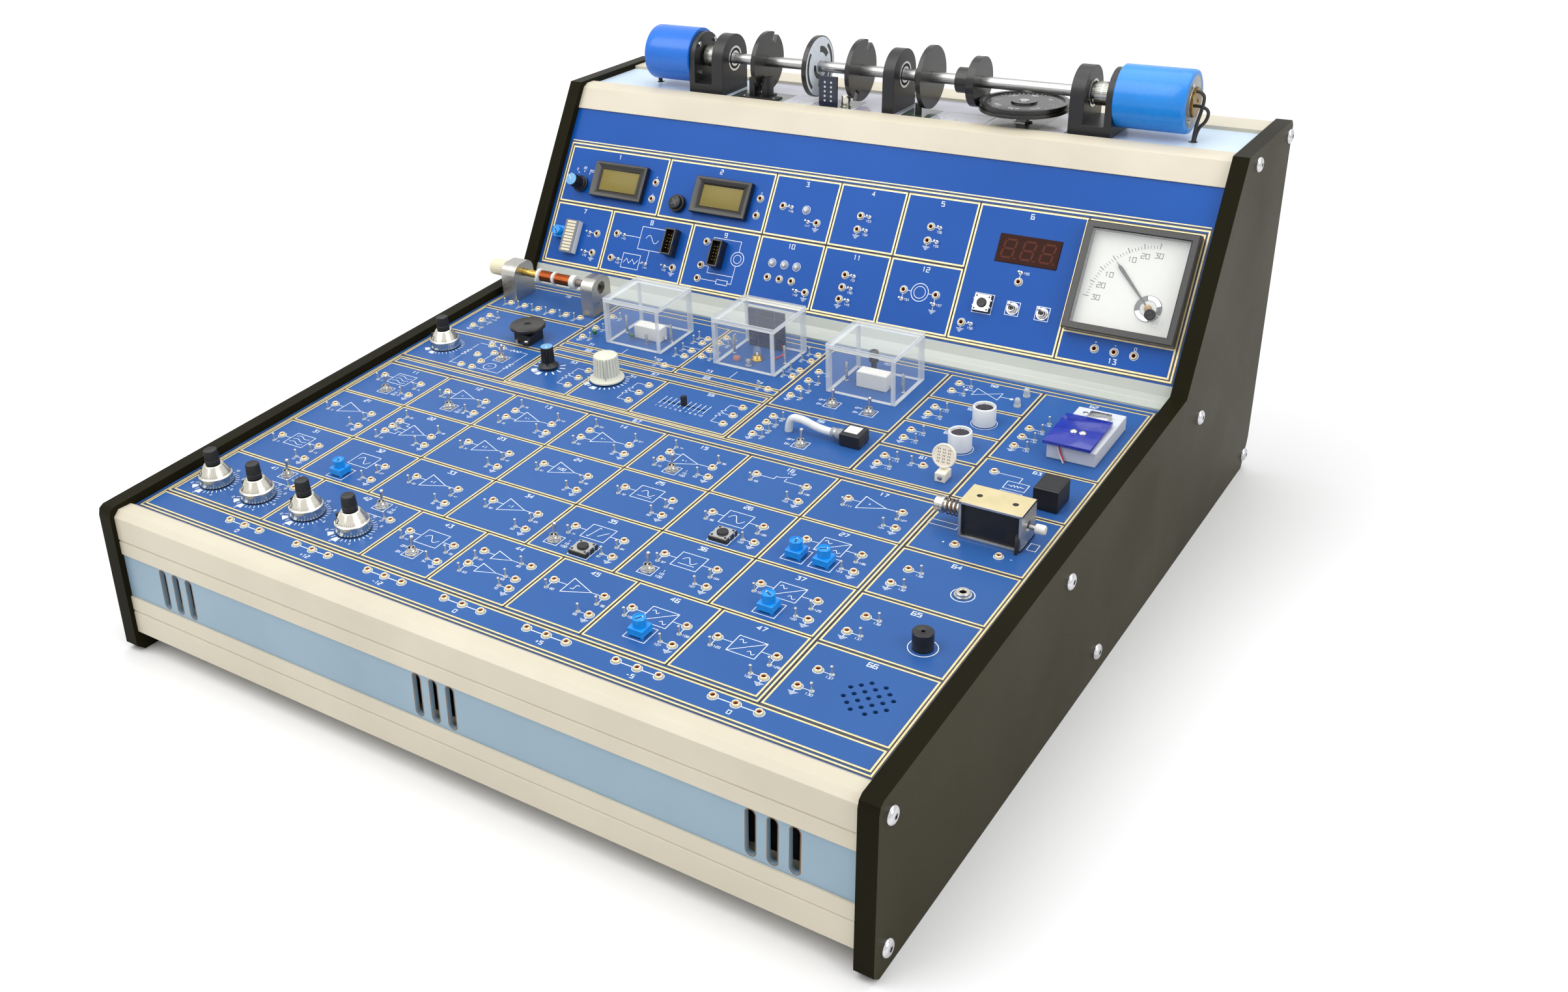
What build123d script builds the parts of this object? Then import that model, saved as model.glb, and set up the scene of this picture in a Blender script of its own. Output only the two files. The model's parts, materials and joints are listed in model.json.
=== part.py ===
# Sensor trainer: a teaching console with a gently sloping lower panel of sensors and circuits,
# a steep upper panel of instruments, and a motor shaft line with discs on its top deck.
# Millimetres, +Z up, origin at the middle of the base, X from left to right, Y from front to back.
import os
from math import cos, hypot, pi, radians, sin, sqrt, tan

from build123d import *

os.makedirs("parts", exist_ok=True)

# Case
case_depth = 608.0
case_height = 259.5
inner_width = 507.0
side_thickness = 10.5
side_proud = 6.0
foot_height = 14.5
rail_setback = 3.0
sheet = 2.0
wall = 2.5
fit = 0.05
seat_gap = 0.3

# Lower panel: its front gold line, tilt and length
lower_front_y = 22.0
lower_front_z = 98.8
lower_tilt = 3.0
lower_margin = 2.5
lower_length = 392.0
board_thickness = 1.6

# Upper panel: its bottom gold line, slope and length
upper_front_y = 431.4
upper_front_z = 130.7
upper_slope = 59.3
upper_margin = 2.5
upper_length = 129.3

# Top deck and the shaft line over it
deck_top = 255.0
deck_front_y = 517.0
deck_back_y = 577.0
deck_thickness = 2.5
top_rail_z = 257.5
shaft_y = 540.0
shaft_z = 281.0
shaft_radius = 4.0
stub_radius = 2.5
stub_gap = 1.0

# Front strip with its vent slots
strip_bottom = 40.6
strip_top = 71.7
strip_thickness = 3.0
strip_setback = 4.2
slot_width = 5.5
slot_height = 27.0
slot_pitch = 11.8
slot_group_x = (-205.7, 1.9, 209.1)
slots_in_group = 3

# Screws on the side panels, as distance from the front and height
screw_head_radius = 5.0
screw_head_height = 2.6
screw_shank_radius = 2.0
screw_reach = 4.0
screw_key_radius = 1.6
screw_key_depth = 1.5
nut_across = 7.0
nut_thickness = 3.0
screw_spots = ((11.7, 91.0), (12.0, 14.5), (226.0, 97.0), (286.0, 18.0),
               (457.0, 99.5), (598.5, 11.5), (523.8, 249.5), (600.0, 249.5))

# Sockets and test pins
socket_radius = 2.25
socket_height = 2.3
socket_bore = 1.05
socket_stem_radius = 1.5
socket_stem_length = 7.0
socket_depth = 6.0
pin_radius = 0.5
pin_base_radius = 1.1
pin_base_height = 0.5
pin_height = 5.4
pin_tail = 3.0

# Toggle switches
toggle_body = (8.0, 12.8, 9.5)
bushing_radius = 2.5
bushing_bore = 1.75
bushing_height = 4.0
nut_flats = 6.4
nut_height = 1.6
lever_ball_radius = 1.4
lever_pin_radius = 0.5
lever_pin_reach = 1.6
lever_pivot_height = 2.0
lever_length = 7.8
lever_root_radius = 0.8
lever_tip_radius = 1.35
lever_lean = 12.0

# Ten-turn dials
dial_base_radius = 10.75
dial_base_height = 6.5
dial_cone_radius = 5.6
dial_body_height = 13.5
dial_knob_radius = 4.7
dial_total_height = 23.5
dial_shaft_radius = 3.0
pot_body_radius = 11.0
pot_body_height = 19.0
pot_bushing_radius = 4.7
pot_shaft_depth = 7.0
pot_bore_depth = 8.0
dial_shoulder = 0.8
dial_flutes = 24
dial_flute_radius = 0.25
dial_flute_length = 8.0
brake_size = (3.6, 2.6, 6.0)
brake_height = 2.0

# Push buttons and trimmers
tact_size = 12.0
tact_height = 3.5
tact_floor = 0.8
button_radius = 3.4
button_height = 4.4
button_travel = 0.4
trimmer_size = 9.5
trimmer_body_height = 5.0
trimmer_knob_radius = 3.75
trimmer_total_height = 10.3
trimmer_slot = (1.0, 5.5, 1.0)

# Knobs
small_pot_radius = 8.0
small_pot_height = 9.0
small_bushing_radius = 3.4
small_bushing_height = 1.0
small_shaft_depth = 5.5
small_bore_depth = 6.0
knob_shaft_radius = 3.0
knob_rib_radius = 0.45
knob_ridge = 1.2
carbon_base_radius = 7.2
carbon_knob_radius = 4.8
carbon_height = 16.9
wound_base_radius = 12.0
wound_knob_radius = 9.2
wound_height = 19.0
range_base_radius = 6.6
range_knob_radius = 5.2
range_height = 15.5
small_knob_ribs = 18
small_knob_base = 1.2
wound_knob_ribs = 24
wound_knob_base = 1.4
track_pointer = -60.0
range_pointer = 133.0
capacitor_radius = 13.2
capacitor_thickness = 3.0
capacitor_top = 13.0
capacitor_body = (15.0, 15.0, 7.0)
capacitor_edge = 0.6
capacitor_dimple = (2.4, 0.8)
capacitor_shaft_depth = 4.5
fuse_radius = 6.8
fuse_cap_radius = 5.2
fuse_height = 7.0
fuse_ring_height = 4.0
fuse_wall = 1.0
fuse_floor = 2.0
fuse_stem_radius = 3.6
fuse_slot = (1.2, 7.4, 1.5)
fuse_body_length = 28.0

# Slide potentiometer
slide_centre = (-19.6, 263.2)
slide_slot = (36.0, 1.6)
slide_body = (44.0, 8.0, 6.5)
slide_floor = 1.0
slide_lever = (3.4, 2.6, 7.6)
slide_stem = (2.4, 1.1)
slide_stem_depth = 3.0
slide_lever_chamfer = 0.5

# Clear covers over the sensor groups: left, right, front and back edges on the lower panel
cover_height = 35.0
cover_wall = 3.0
cover_edges = {
    "temperature_cover": (-125.0, -77.2, 322.0, 365.6),
    "light_cover": (-36.3, 13.1, 326.2, 370.7),
    "airflow_cover": (53.7, 103.9, 322.5, 366.2),
}

# Linear transformer on the lower panel
lvdt_s = 364.7
lvdt_h = 20.5
lvdt_block_height = 28.5
lvdt_block_depth = 23.5
lvdt_left_block = (-245.2, -231.8)
lvdt_right_block = (-169.0, -158.0)
lvdt_former = (-217.0, -181.0)
lvdt_former_radius = 3.85
lvdt_sleeve_radius = 2.8
lvdt_tube_inset = 4.0
lvdt_block_corner = 8.0
lvdt_rod_radius = 1.5
lvdt_rod_end = -176.0
lvdt_knob = (-262.0, -246.0)
lvdt_knob_radius = 6.3
lvdt_knurls = 30
lvdt_knurl_radius = 0.3
lvdt_right_bore = 4.6
winding_wire = 0.3
winding_pitch = 1.1
winding_starts = (-213.0, -198.6)
winding_turns = (8, 10)

# Solenoid
solenoid_x = (201.8, 237.8)
solenoid_front = 198.3
solenoid_depth = 21.0
solenoid_height = 23.0
solenoid_wall = 1.5
coil_radius = 9.0
plunger_radius = 3.2
plunger_head_x = 190.5
plunger_head_radius = 5.0
plunger_cap_radius = 2.75
plunger_cap_length = 5.5
plunger_head_length = 3.0
plunger_collar = 2.0
plunger_rod_radius = 1.3
plunger_inset = 1.0
plunger_cap_gap = 4.0
plunger_tip = (1.2, 3.5)
spring_radius = 4.4
spring_wire = 0.45
spring_turns = 4

# Shaft line: discs as name, right face, radius and thickness
disc_thickness = 3.6
disc_faces = {"slotted": -102.0, "coded": -58.5, "notched": -22.9, "plain": 33.0}
disc_radius = 22.5
disc_hub_radius = 7.0
disc_hub_length = 8.0
roller_face = 70.7
roller_radius = 17.65
roller_thickness = 6.0
roller_hub_radius = 9.0
roller_hub_left = 52.8
servo_x = 101.5
servo_top = 271.0
servo_thickness = 6.0
servo_rim = 3.0
servo_boss_radius = 9.0
servo_recess = 1.2
servo_groove = (2.4, 1.2, 1.0)
servo_hex_radius = 7.0
servo_hex_height = 2.0
servo_bushing_height = 7.0
servo_body_depth = 12.0
motor_radius = 21.0
motor_ends = (-204.0, -163.0)
tacho_ends = (169.0, 215.7)
motor_plate_x = (-163.0, -158.0)
left_bearing_x = (-142.7, -132.7)
block_x = (2.0, 11.0)
right_bearing_x = (139.7, 149.7)
tacho_plate_x = (164.0, 169.0)
bracket_base_thickness = 8.0
bracket_half_width = 18.5
bearing_radius = 9.5
bearing_inner_radius = 6.0
bearing_race = 1.5
bearing_recess = 0.6
coupling_x = ((-156.5, -146.5), (152.0, 162.0))
coupling_radius = 8.0

# Upper panel fittings
meter_centre = (211.8, 57.4)
meter_size = 72.0
meter_depth = 9.0
meter_rim = 4.6
meter_floor = 2.0
meter_lip = 8.0
meter_body_depth = 22.0
meter_pivot = (225.9, 43.2)
spindle_radius = 0.8
spindle_depth = 3.0
spindle_length = 5.0
spindle_foot = -0.6
needle_length = 38.0
needle_hub_radius = 2.6
needle_widths = (0.7, 1.8)
needle_floor = 3.2
needle_thickness = 0.5
lcd_centres = ((-194.7, 71.6), (-100.6, 71.5))
lcd_size = (48.4, 28.0)
lcd_height = 6.0
lcd_window = (35.0, 16.5)
lcd_window_depth = 3.0
lcd_lip = 4.0
lcd_body_depth = 12.0
display_centre = (139.5, 68.1)
display_size = (43.2, 19.6)
display_depth = 8.0
display_proud = 0.6
bargraph_centre = (-226.3, 22.5)
bargraph_size = (12.0, 26.0, 7.0)
header_centres = ((-133.5, 31.5), (-91.3, 29.0))
header_size = (9.0, 20.3, 9.0)
header_wall = 1.2
header_floor = 2.0
header_pin = (0.7, 5.5)
header_pitch = 2.54

front_y = -case_depth / 2
outer_x = inner_width / 2 + side_thickness
tilt = radians(lower_tilt)
slope = radians(upper_slope)


def panel_plane(y, z, angle):
    origin = (0, front_y + y, z)
    return Plane(origin=origin, x_dir=(1, 0, 0), z_dir=(0, -sin(angle), cos(angle)))


lower = panel_plane(lower_front_y, lower_front_z, tilt)
upper = panel_plane(upper_front_y, upper_front_z, slope)
deck = Plane(origin=(0, front_y, deck_top), x_dir=(1, 0, 0), z_dir=(0, 0, 1))


def lower_yz(s, h=0.0):
    return (lower_front_y + s * cos(tilt) - h * sin(tilt), lower_front_z + s * sin(tilt) + h * cos(tilt))


def upper_yz(s, h=0.0):
    return (upper_front_y + s * cos(slope) - h * sin(slope), upper_front_z + s * sin(slope) + h * cos(slope))


def case_section(x):
    """Plane across the case at x: sketch x is the distance from the front, sketch y the height."""
    return Plane(origin=(x, front_y, 0), x_dir=(0, 1, 0), z_dir=(1, 0, 0))


def panel_section(panel, x):
    """Plane across a panel at x: sketch x runs up the panel, sketch y stands off it."""
    return Plane(origin=panel.from_local_coords((x, 0, 0)), x_dir=panel.y_dir, z_dir=(1, 0, 0))


def spot(panel, x, s, h=0.0):
    """The panel's plane moved to a point of the panel, h above it."""
    return Plane(origin=panel.from_local_coords((x, s, h)), x_dir=panel.x_dir, z_dir=panel.z_dir)


def write(part, label):
    part.label = label
    export_step(part, f"parts/{label}.step")


# Places of the sockets and pins on the lower panel
input_x = (-236.5, -177.5, -116.6, -54.8, 7.0, 68.8, 130.5)
first_row = 106.7
row_pitch = 50.1
output_step = 34.2
ground_step = 37.8
ground_drop = 16.8
ground_pin_step = 7.4
pin_drop = 7.3
lower_sockets = []
lower_pins = []
for row in range(3):
    for column, x in enumerate(input_x):
        s = first_row + row * row_pitch
        lower_sockets.append((x + ground_step, s - ground_drop))
        lower_pins.append((x + ground_step - ground_pin_step, s - ground_drop))
        if row == 2 and column in (2, 3, 4):
            lower_sockets += [(x, s - 1.3), (x, s - 11.1), (x + output_step, s - 5.9)]
            lower_pins += [(x, s + 6.3), (x, s - 18.8), (x + output_step, s + 1.6)]
        elif row == 1 and column == 1:
            lower_sockets += [(x, s + 1.1), (x, s - 6.0), (x, s - 13.5), (x + output_step, s - 6.0)]
            lower_pins += [(x, s + 8.6), (x + 5.5, s - 6.1), (x, s - 21.7), (x + output_step, s + 1.5)]
        else:
            lower_sockets.append((x + output_step, s))
            lower_pins.append((x + output_step, s - pin_drop))
            if not (row == 0 and column == 1):
                lower_sockets.append((x, s))
                lower_pins.append((x, s - pin_drop))

# Front row of circuits: single circuits as input x, output step, height of the pair and ground step
for x, step, s, ground in ((-76.4, 33.9, 56.0, 36.2), (29.9, 33.8, 56.0, 36.4),
                           (82.5, 34.3, 54.8, 36.8), (135.5, 34.4, 54.8, 37.1)):
    lower_sockets += [(x, s), (x + step, s), (x + ground, s - 17.5)]
    lower_pins += [(x, s - pin_drop), (x + step, s - pin_drop), (x + ground - ground_pin_step, s - 17.5)]
lower_sockets += [(-23.4, 60.3), (-23.4, 45.9), (10.6, 60.3), (10.6, 45.9), (13.1, 37.2)]
lower_pins += [(-23.4, 52.6), (-23.4, 38.2), (3.7, 60.3), (3.7, 45.9), (6.0, 37.2)]
amplifier_outputs = ((-176.8, 59.5), (-95.2, 59.5))
for x, s in amplifier_outputs:
    lower_sockets.append((x, s))
    lower_pins.append((x - 5.0, s))

# Power strip along the front edge
strip_s = 12.9
strip_group_pitch = 57.05
strip_socket_pitch = 12.9
for group in range(-3, 4):
    for step in (-1, 0, 1):
        lower_sockets.append((0.3 + group * strip_group_pitch + step * strip_socket_pitch, strip_s))

# Right column: speaker, buzzer, microphone, solenoid, relay and strain gauge
for s in (55.6, 106.5, 156.0):
    lower_sockets += [(192.6, s), (190.0, s - 16.0)]
    lower_pins += [(200.1, s), (197.7, s - 16.0)]
lower_sockets += [(203.8, 190.1), (229.0, 190.1), (191.5, 273.8)]
for s in (332.6, 320.7, 308.2):
    lower_sockets.append((189.6, s))
    lower_pins.append((197.8, s))
lower_pins.append((197.8, 344.3))

# Air valve, ultrasonic pair, humidity, pressure and air flow
for s in (370.9, 359.1, 333.4, 323.1, 298.8, 287.8, 261.9, 251.6):
    lower_sockets.append((126.4, s))
    lower_pins.append((134.7, s))
lower_sockets.append((152.0, 261.2))
lower_pins.append((144.5, 261.2))
for s in (276.0, 267.0, 258.0, 249.5):
    lower_sockets.append((40.7, s))
    lower_pins.append((48.1, s))
for s in (345.8, 331.1, 318.3, 306.8):
    lower_sockets.append((36.0, s))
    lower_pins.append((43.8, s))

# Light and temperature groups, with their lamp and heater strips
for s in (368.2, 358.0, 342.0, 331.8):
    lower_sockets.append((23.4, s))
    lower_pins.append((16.4, s))
for s in (365.0, 355.4, 342.0, 331.7):
    lower_sockets.append((-48.7, s))
    lower_pins.append((-41.5, s))
for s in (357.9, 350.3, 336.2, 326.6):
    lower_sockets.append((-60.3, s))
    lower_pins.append((-67.5, s))
for s in (360.4, 338.6, 322.0):
    lower_sockets.append((-146.0, s))
    lower_pins.append((-139.0, s))
for x in (18.3, -64.6):
    lower_sockets.append((x, 308.0))
    lower_pins.append((x - 7.5, 308.0))

# Track resistors, bridge, variable capacitor and linear transformer
for x in (-107.8, -56.9, 17.1):
    lower_sockets += [(x, 277.2), (x, 265.0), (x, 252.5)]
lower_sockets += [(-197.7, 280.2), (-187.8, 280.2), (-187.8, 270.6), (-197.8, 263.5), (-187.9, 255.4),
                  (-197.9, 245.5), (-188.0, 245.5)]
for s in (322.0, 312.2, 302.3):
    lower_sockets.append((-234.3, s))
    lower_pins.append((-225.9, s))
for step in range(6):
    lower_sockets.append((-234.7 + step * 13.36, 348.7))
    lower_pins.append((-237.7 + step * 13.36, 345.2))

# Places of the sockets and pins on the upper panel
upper_sockets = [(-163.1, 76.0), (-163.1, 63.0), (-69.5, 76.0), (-69.5, 63.0), (-49.4, 73.2), (-19.1, 64.4),
                 (138.2, 46.7), (106.5, 13.2), (198.5, 12.2), (211.3, 12.2), (224.1, 12.2),
                 (-204.7, 28.8), (-204.7, 13.2), (-186.2, 31.7), (-186.2, 12.2), (-128.8, 13.2),
                 (-105.0, 37.6), (-105.0, 19.4), (-105.0, 9.1), (-47.1, 19.4), (-37.1, 19.4), (-27.1, 19.4),
                 (-14.1, 13.2), (59.7, 28.2), (83.8, 28.2)]
upper_pins = [(-42.1, 73.2), (-26.2, 64.4), (138.2, 53.0), (113.3, 13.2), (-211.8, 28.8), (-211.8, 13.2),
              (-179.4, 31.7), (-179.4, 12.2), (-153.5, 12.2), (-136.2, 13.2), (-21.5, 13.2),
              (59.7, 21.6), (83.8, 21.6)]
for x, heights in ((13.5, (74.6, 64.6, 31.0, 22.0, 13.2)), (67.6, (74.6, 64.6))):
    for s in heights:
        upper_sockets.append((x, s))
        upper_pins.append((x + 6.8, s))

# Controls: switch name to panel, x and s
toggle_spots = {
    "bridge_toggle": (lower, -177.0, 265.5),
    "filter_toggle": (lower, -219.4, 189.5),
    "ac_amplifier_toggle": (lower, -161.1, 189.5),
    "amplifier_1_toggle": (lower, -192.9, 69.5),
    "amplifier_2_toggle": (lower, -111.4, 69.5),
    "alarm_toggle": (lower, -59.5, 38.9),
    "integrator_toggle": (lower, 4.6, 89.2),
    "differentiator_toggle": (lower, 69.2, 89.2),
    "comparator_toggle": (lower, 20.5, 187.5),
    "pressure_pump_toggle": (lower, 74.4, 251.0),
    "flow_pump_toggle": (lower, 66.4, 307.5),
    "flow_heater_toggle": (lower, 92.6, 307.5),
    "counter_toggle": (upper, 138.8, 28.4),
    "free_run_toggle": (upper, 159.4, 28.4),
}
dial_spots = {
    "offset_dial_1": (-227.9, 41.9),
    "gain_dial_1": (-189.7, 41.9),
    "offset_dial_2": (-146.8, 41.9),
    "gain_dial_2": (-108.4, 41.9),
    "bridge_dial": (-229.6, 265.1),
}
button_spots = {
    "integrator_button": (lower, 26.5, 87.5),
    "sample_button": (lower, 88.0, 137.0),
    "counter_button": (upper, 118.0, 28.4),
}
trimmer_spots = ((lower, -163.8, 87.7), (lower, 98.8, 38.5), (lower, 145.6, 89.1), (lower, 133.3, 140.2),
                 (lower, 150.4, 140.2), (upper, -238.0, 25.0))
carbon_spot = (-137.0, 269.2)
wound_spot = (-88.1, 271.9)
range_spot = (-231.9, 65.9)
capacitor_spot = (-179.0, 300.5)
fuse_spot = (-138.2, 62.4)
microphone_jack_spot = (227.2, 147.7)
microphone_jack_radius = 4.7
microphone_jack_lip = 1.0
microphone_jack_height = 2.6
microphone_jack_bore = 1.8
microphone_jack_depth = 12.0
buzzer_spot = (228.7, 96.6)
buzzer_size = (5.5, 10.3)
buzzer_hole = (1.0, 2.0)
speaker_spot = (223.5, 47.9)
speaker_radius = 20.0
speaker_wall = 2.0
speaker_depth = 12.0
speaker_cone_depth = 4.0
grille_hole = 1.3
grille_step = 3.75
grille_rows = {3: (-1, 1), 2: (-2, 0, 2), 1: (-3, -1, 1, 3), 0: (-2, 0, 2)}
grille_spots = []
for j in range(-3, 4):
    for i in grille_rows[abs(j)]:
        grille_spots.append((speaker_spot[0] + i * grille_step, speaker_spot[1] + j * grille_step))
tube_hole = (58.5, 264.2)
tube_radius = 2.6

lower_toggles = [(x, s) for panel, x, s in toggle_spots.values() if panel is lower]
upper_toggles = [(x, s) for panel, x, s in toggle_spots.values() if panel is upper]


# Side panels: one flat outline, proud of both boards, with screw holes
def side_outline():
    lower_start = lower_yz(-lower_front_y, side_proud)
    upper_end_y = upper_yz(0, side_proud)[0] + (case_height - upper_yz(0, side_proud)[1]) / tan(slope)
    lower_line = lower_yz(0, side_proud)
    upper_line = upper_yz(0, side_proud)
    rise = (upper_line[1] - lower_line[1] - (upper_line[0] - lower_line[0]) * tan(slope))
    bend_y = lower_line[0] + rise / (tan(tilt) - tan(slope))
    bend_z = lower_line[1] + (bend_y - lower_line[0]) * tan(tilt)
    return [(0, 5), (5.8, 0), (case_depth - 9.7, 0), (case_depth - 1.8, 17), (case_depth, 22),
            (case_depth, case_height - 4), (case_depth - 4, case_height), (upper_end_y, case_height),
            (bend_y, bend_z), (4.3, lower_start[1]), (1.2, lower_start[1] - 1.8), (0, lower_start[1] - 6)]


def side_panel(x):
    with BuildPart() as panel:
        with BuildSketch(case_section(x)):
            with BuildLine():
                Polyline(*side_outline(), close=True)
            make_face()
        extrude(amount=side_thickness)
        with BuildSketch(case_section(x)):
            with Locations(*screw_spots):
                Circle(screw_shank_radius + fit)
        extrude(amount=side_thickness, mode=Mode.SUBTRACT)
    return panel


side_panel_left = side_panel(-outer_x)
write(side_panel_left.part, "side_panel_left")
side_panel_right = side_panel(inner_width / 2)
write(side_panel_right.part, "side_panel_right")

# Dome screws that hold the side panels to the rails
with BuildPart() as panel_screws:
    for side in (-1, 1):
        face = Plane(origin=(side * outer_x, front_y, 0), x_dir=(0, side, 0), z_dir=(side, 0, 0))
        heads = [(side * y, z) for y, z in screw_spots]
        with BuildSketch(face):
            with Locations(*heads):
                Circle(screw_head_radius)
        extrude(amount=screw_head_height)
        with BuildSketch(face):
            with Locations(*heads):
                Circle(screw_shank_radius)
        extrude(amount=-side_thickness - screw_reach)
        with BuildSketch(face.offset(-side_thickness)):
            with Locations(*heads):
                RegularPolygon(nut_across / 2, 6, major_radius=False)
        extrude(amount=-nut_thickness)
    crowns = panel_screws.edges().filter_by(GeomType.CIRCLE).group_by(Axis.X)
    fillet(crowns[0] + crowns[-1], screw_head_height * 0.9)
    for side in (-1, 1):
        recess = Plane(origin=(side * (outer_x + screw_head_height), front_y, 0), x_dir=(0, side, 0),
                       z_dir=(side, 0, 0))
        with BuildSketch(recess):
            with Locations(*[(side * y, z) for y, z in screw_spots]):
                RegularPolygon(screw_key_radius, 6)
        extrude(amount=-screw_key_depth, mode=Mode.SUBTRACT)
write(panel_screws.part, "panel_screws")


def screw_pockets():
    """Room for the screw ends and their nuts, cut into whatever lies behind the side panels."""
    for side in (-1, 1):
        with BuildSketch(case_section(side * inner_width / 2)) as pockets:
            with Locations(*screw_spots):
                Circle(nut_across / sqrt(3) + fit)
        extrude(pockets.sketch, amount=-side * (screw_reach + fit), mode=Mode.SUBTRACT)


# Rails: aluminium sections that run between the side panels
def rail(*outlines):
    with BuildPart() as section:
        for outline in outlines:
            with BuildSketch(case_section(-inner_width / 2)):
                with BuildLine():
                    Polyline(*outline, close=True)
                make_face()
            extrude(amount=inner_width)
        screw_pockets()
    return section


ledge = 6.0
groove = 1.0
rail_back = rail_setback + 12.0
front_top_outline = [
    (rail_setback, strip_top - 0.6), (rail_setback, 80.0), (rail_setback + groove, 80.8),
    (rail_setback, 81.6), (rail_setback, 97.2), (rail_setback + 4, 101.0), (16.4, 100.8),
    lower_yz(-lower_margin), lower_yz(-lower_margin, -board_thickness),
    lower_yz(ledge, -board_thickness), lower_yz(ledge, -board_thickness - wall),
    (rail_back, 92.0), (rail_back, 82.0), (rail_back, strip_top - 0.6)]
front_bottom_outline = [
    (rail_setback, foot_height), (rail_setback, 29.3), (rail_setback + groove, 30.1),
    (rail_setback, 30.9), (rail_setback, strip_bottom), (rail_back, strip_bottom),
    (rail_back, foot_height)]
front_rails = rail(front_top_outline, front_bottom_outline)
write(front_rails.part, "front_rails")

lower_back = lower_length - lower_margin
middle_outline = [
    lower_yz(lower_back, 1.6), lower_yz(lower_back + 8.0, 1.6), lower_yz(lower_back + 8.6, 1.0),
    lower_yz(lower_back + 9.2, 1.6), (426.0, 122.6), upper_yz(-upper_margin, 1.4),
    upper_yz(-upper_margin, -board_thickness), upper_yz(ledge, -board_thickness),
    upper_yz(ledge, -board_thickness - wall), upper_yz(-upper_margin - 4, -board_thickness - wall),
    lower_yz(lower_back + 10, -board_thickness - wall), lower_yz(lower_back - ledge, -board_thickness - wall),
    lower_yz(lower_back - ledge, -board_thickness), lower_yz(lower_back, -board_thickness)]
middle_rail = rail(middle_outline)
write(middle_rail.part, "middle_rail")

upper_top = upper_length - upper_margin
top_front_outline = [
    upper_yz(upper_top, 0.0), upper_yz(upper_top, 1.2), upper_yz(upper_top + 17.0, 1.2),
    (508.6, top_rail_z), (deck_front_y, top_rail_z), (deck_front_y, deck_top - deck_thickness),
    (deck_front_y + ledge, deck_top - deck_thickness),
    (deck_front_y + ledge, deck_top - deck_thickness - wall),
    (deck_front_y - 3, deck_top - deck_thickness - wall), upper_yz(upper_top + 8, -board_thickness - wall),
    upper_yz(upper_top - ledge, -board_thickness - wall), upper_yz(upper_top - ledge, -board_thickness),
    upper_yz(upper_top, -board_thickness)]
rear_inner = case_depth - rail_setback - wall
top_rear_outline = [
    (deck_back_y, top_rail_z), (case_depth - rail_setback - 1, top_rail_z),
    (case_depth - rail_setback, top_rail_z - 1), (case_depth - rail_setback, 232.0), (rear_inner, 232.0),
    (rear_inner, deck_top - deck_thickness - wall), (deck_back_y - ledge, deck_top - deck_thickness - wall),
    (deck_back_y - ledge, deck_top - deck_thickness), (deck_back_y, deck_top - deck_thickness)]
top_rails = rail(top_front_outline, top_rear_outline)
write(top_rails.part, "top_rails")

# Light strip between the front rails, with rounded vent slots
slot_spots = [(centre + (k - (slots_in_group - 1) / 2) * slot_pitch, (strip_bottom + strip_top) / 2)
              for centre in slot_group_x for k in range(slots_in_group)]
with BuildPart() as vent_strip:
    strip_face = Plane(origin=(0, front_y + strip_setback, 0), x_dir=(1, 0, 0), z_dir=(0, -1, 0))
    with BuildSketch(strip_face):
        with Locations((0, (strip_bottom + strip_top - 0.6) / 2)):
            Rectangle(inner_width, strip_top - 0.6 - strip_bottom)
        with Locations(*slot_spots):
            SlotOverall(slot_height, slot_width, rotation=90, mode=Mode.SUBTRACT)
    extrude(amount=-strip_thickness)
write(vent_strip.part, "vent_strip")

# Lower panel: printed board with a hole for everything that passes through it
with BuildPart() as lower_panel:
    with BuildSketch(lower):
        with Locations((0, lower_length / 2 - lower_margin)):
            Rectangle(inner_width, lower_length)
    extrude(amount=-board_thickness)
    with BuildSketch(lower):
        with Locations(*lower_sockets):
            Circle(socket_stem_radius + fit)
        with Locations(*lower_pins):
            Circle(pin_radius + fit)
        with Locations(*lower_toggles):
            Circle(bushing_radius + fit)
        with Locations(*dial_spots.values()):
            Circle(pot_bushing_radius + fit)
        with Locations(carbon_spot, wound_spot, capacitor_spot):
            Circle(small_bushing_radius + fit)
        with Locations(*grille_spots):
            Circle(grille_hole)
        with Locations(microphone_jack_spot):
            Circle(microphone_jack_radius - microphone_jack_lip + fit)
        with Locations(tube_hole):
            Circle(tube_radius + fit)
        with Locations(slide_centre):
            Rectangle(*slide_slot)
    extrude(amount=-board_thickness, mode=Mode.SUBTRACT)
write(lower_panel.part, "lower_panel")

# Upper panel: printed board with the instruments' openings
with BuildPart() as upper_panel:
    with BuildSketch(upper):
        with Locations((0, upper_length / 2 - upper_margin)):
            Rectangle(inner_width, upper_length)
    extrude(amount=-board_thickness)
    with BuildSketch(upper):
        with Locations(*upper_sockets):
            Circle(socket_stem_radius + fit)
        with Locations(*upper_pins):
            Circle(pin_radius + fit)
        with Locations(*upper_toggles):
            Circle(bushing_radius + fit)
        with Locations(range_spot):
            Circle(small_bushing_radius + fit)
        with Locations(fuse_spot):
            Circle(fuse_radius - fuse_wall + fit)
        with Locations(*lcd_centres):
            Rectangle(lcd_size[0] - lcd_lip, lcd_size[1] - lcd_lip)
        with Locations(display_centre):
            Rectangle(display_size[0], display_size[1])
        with Locations(meter_centre):
            Rectangle(meter_size - meter_lip, meter_size - meter_lip)
    extrude(amount=-board_thickness, mode=Mode.SUBTRACT)
write(upper_panel.part, "upper_panel")

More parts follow.
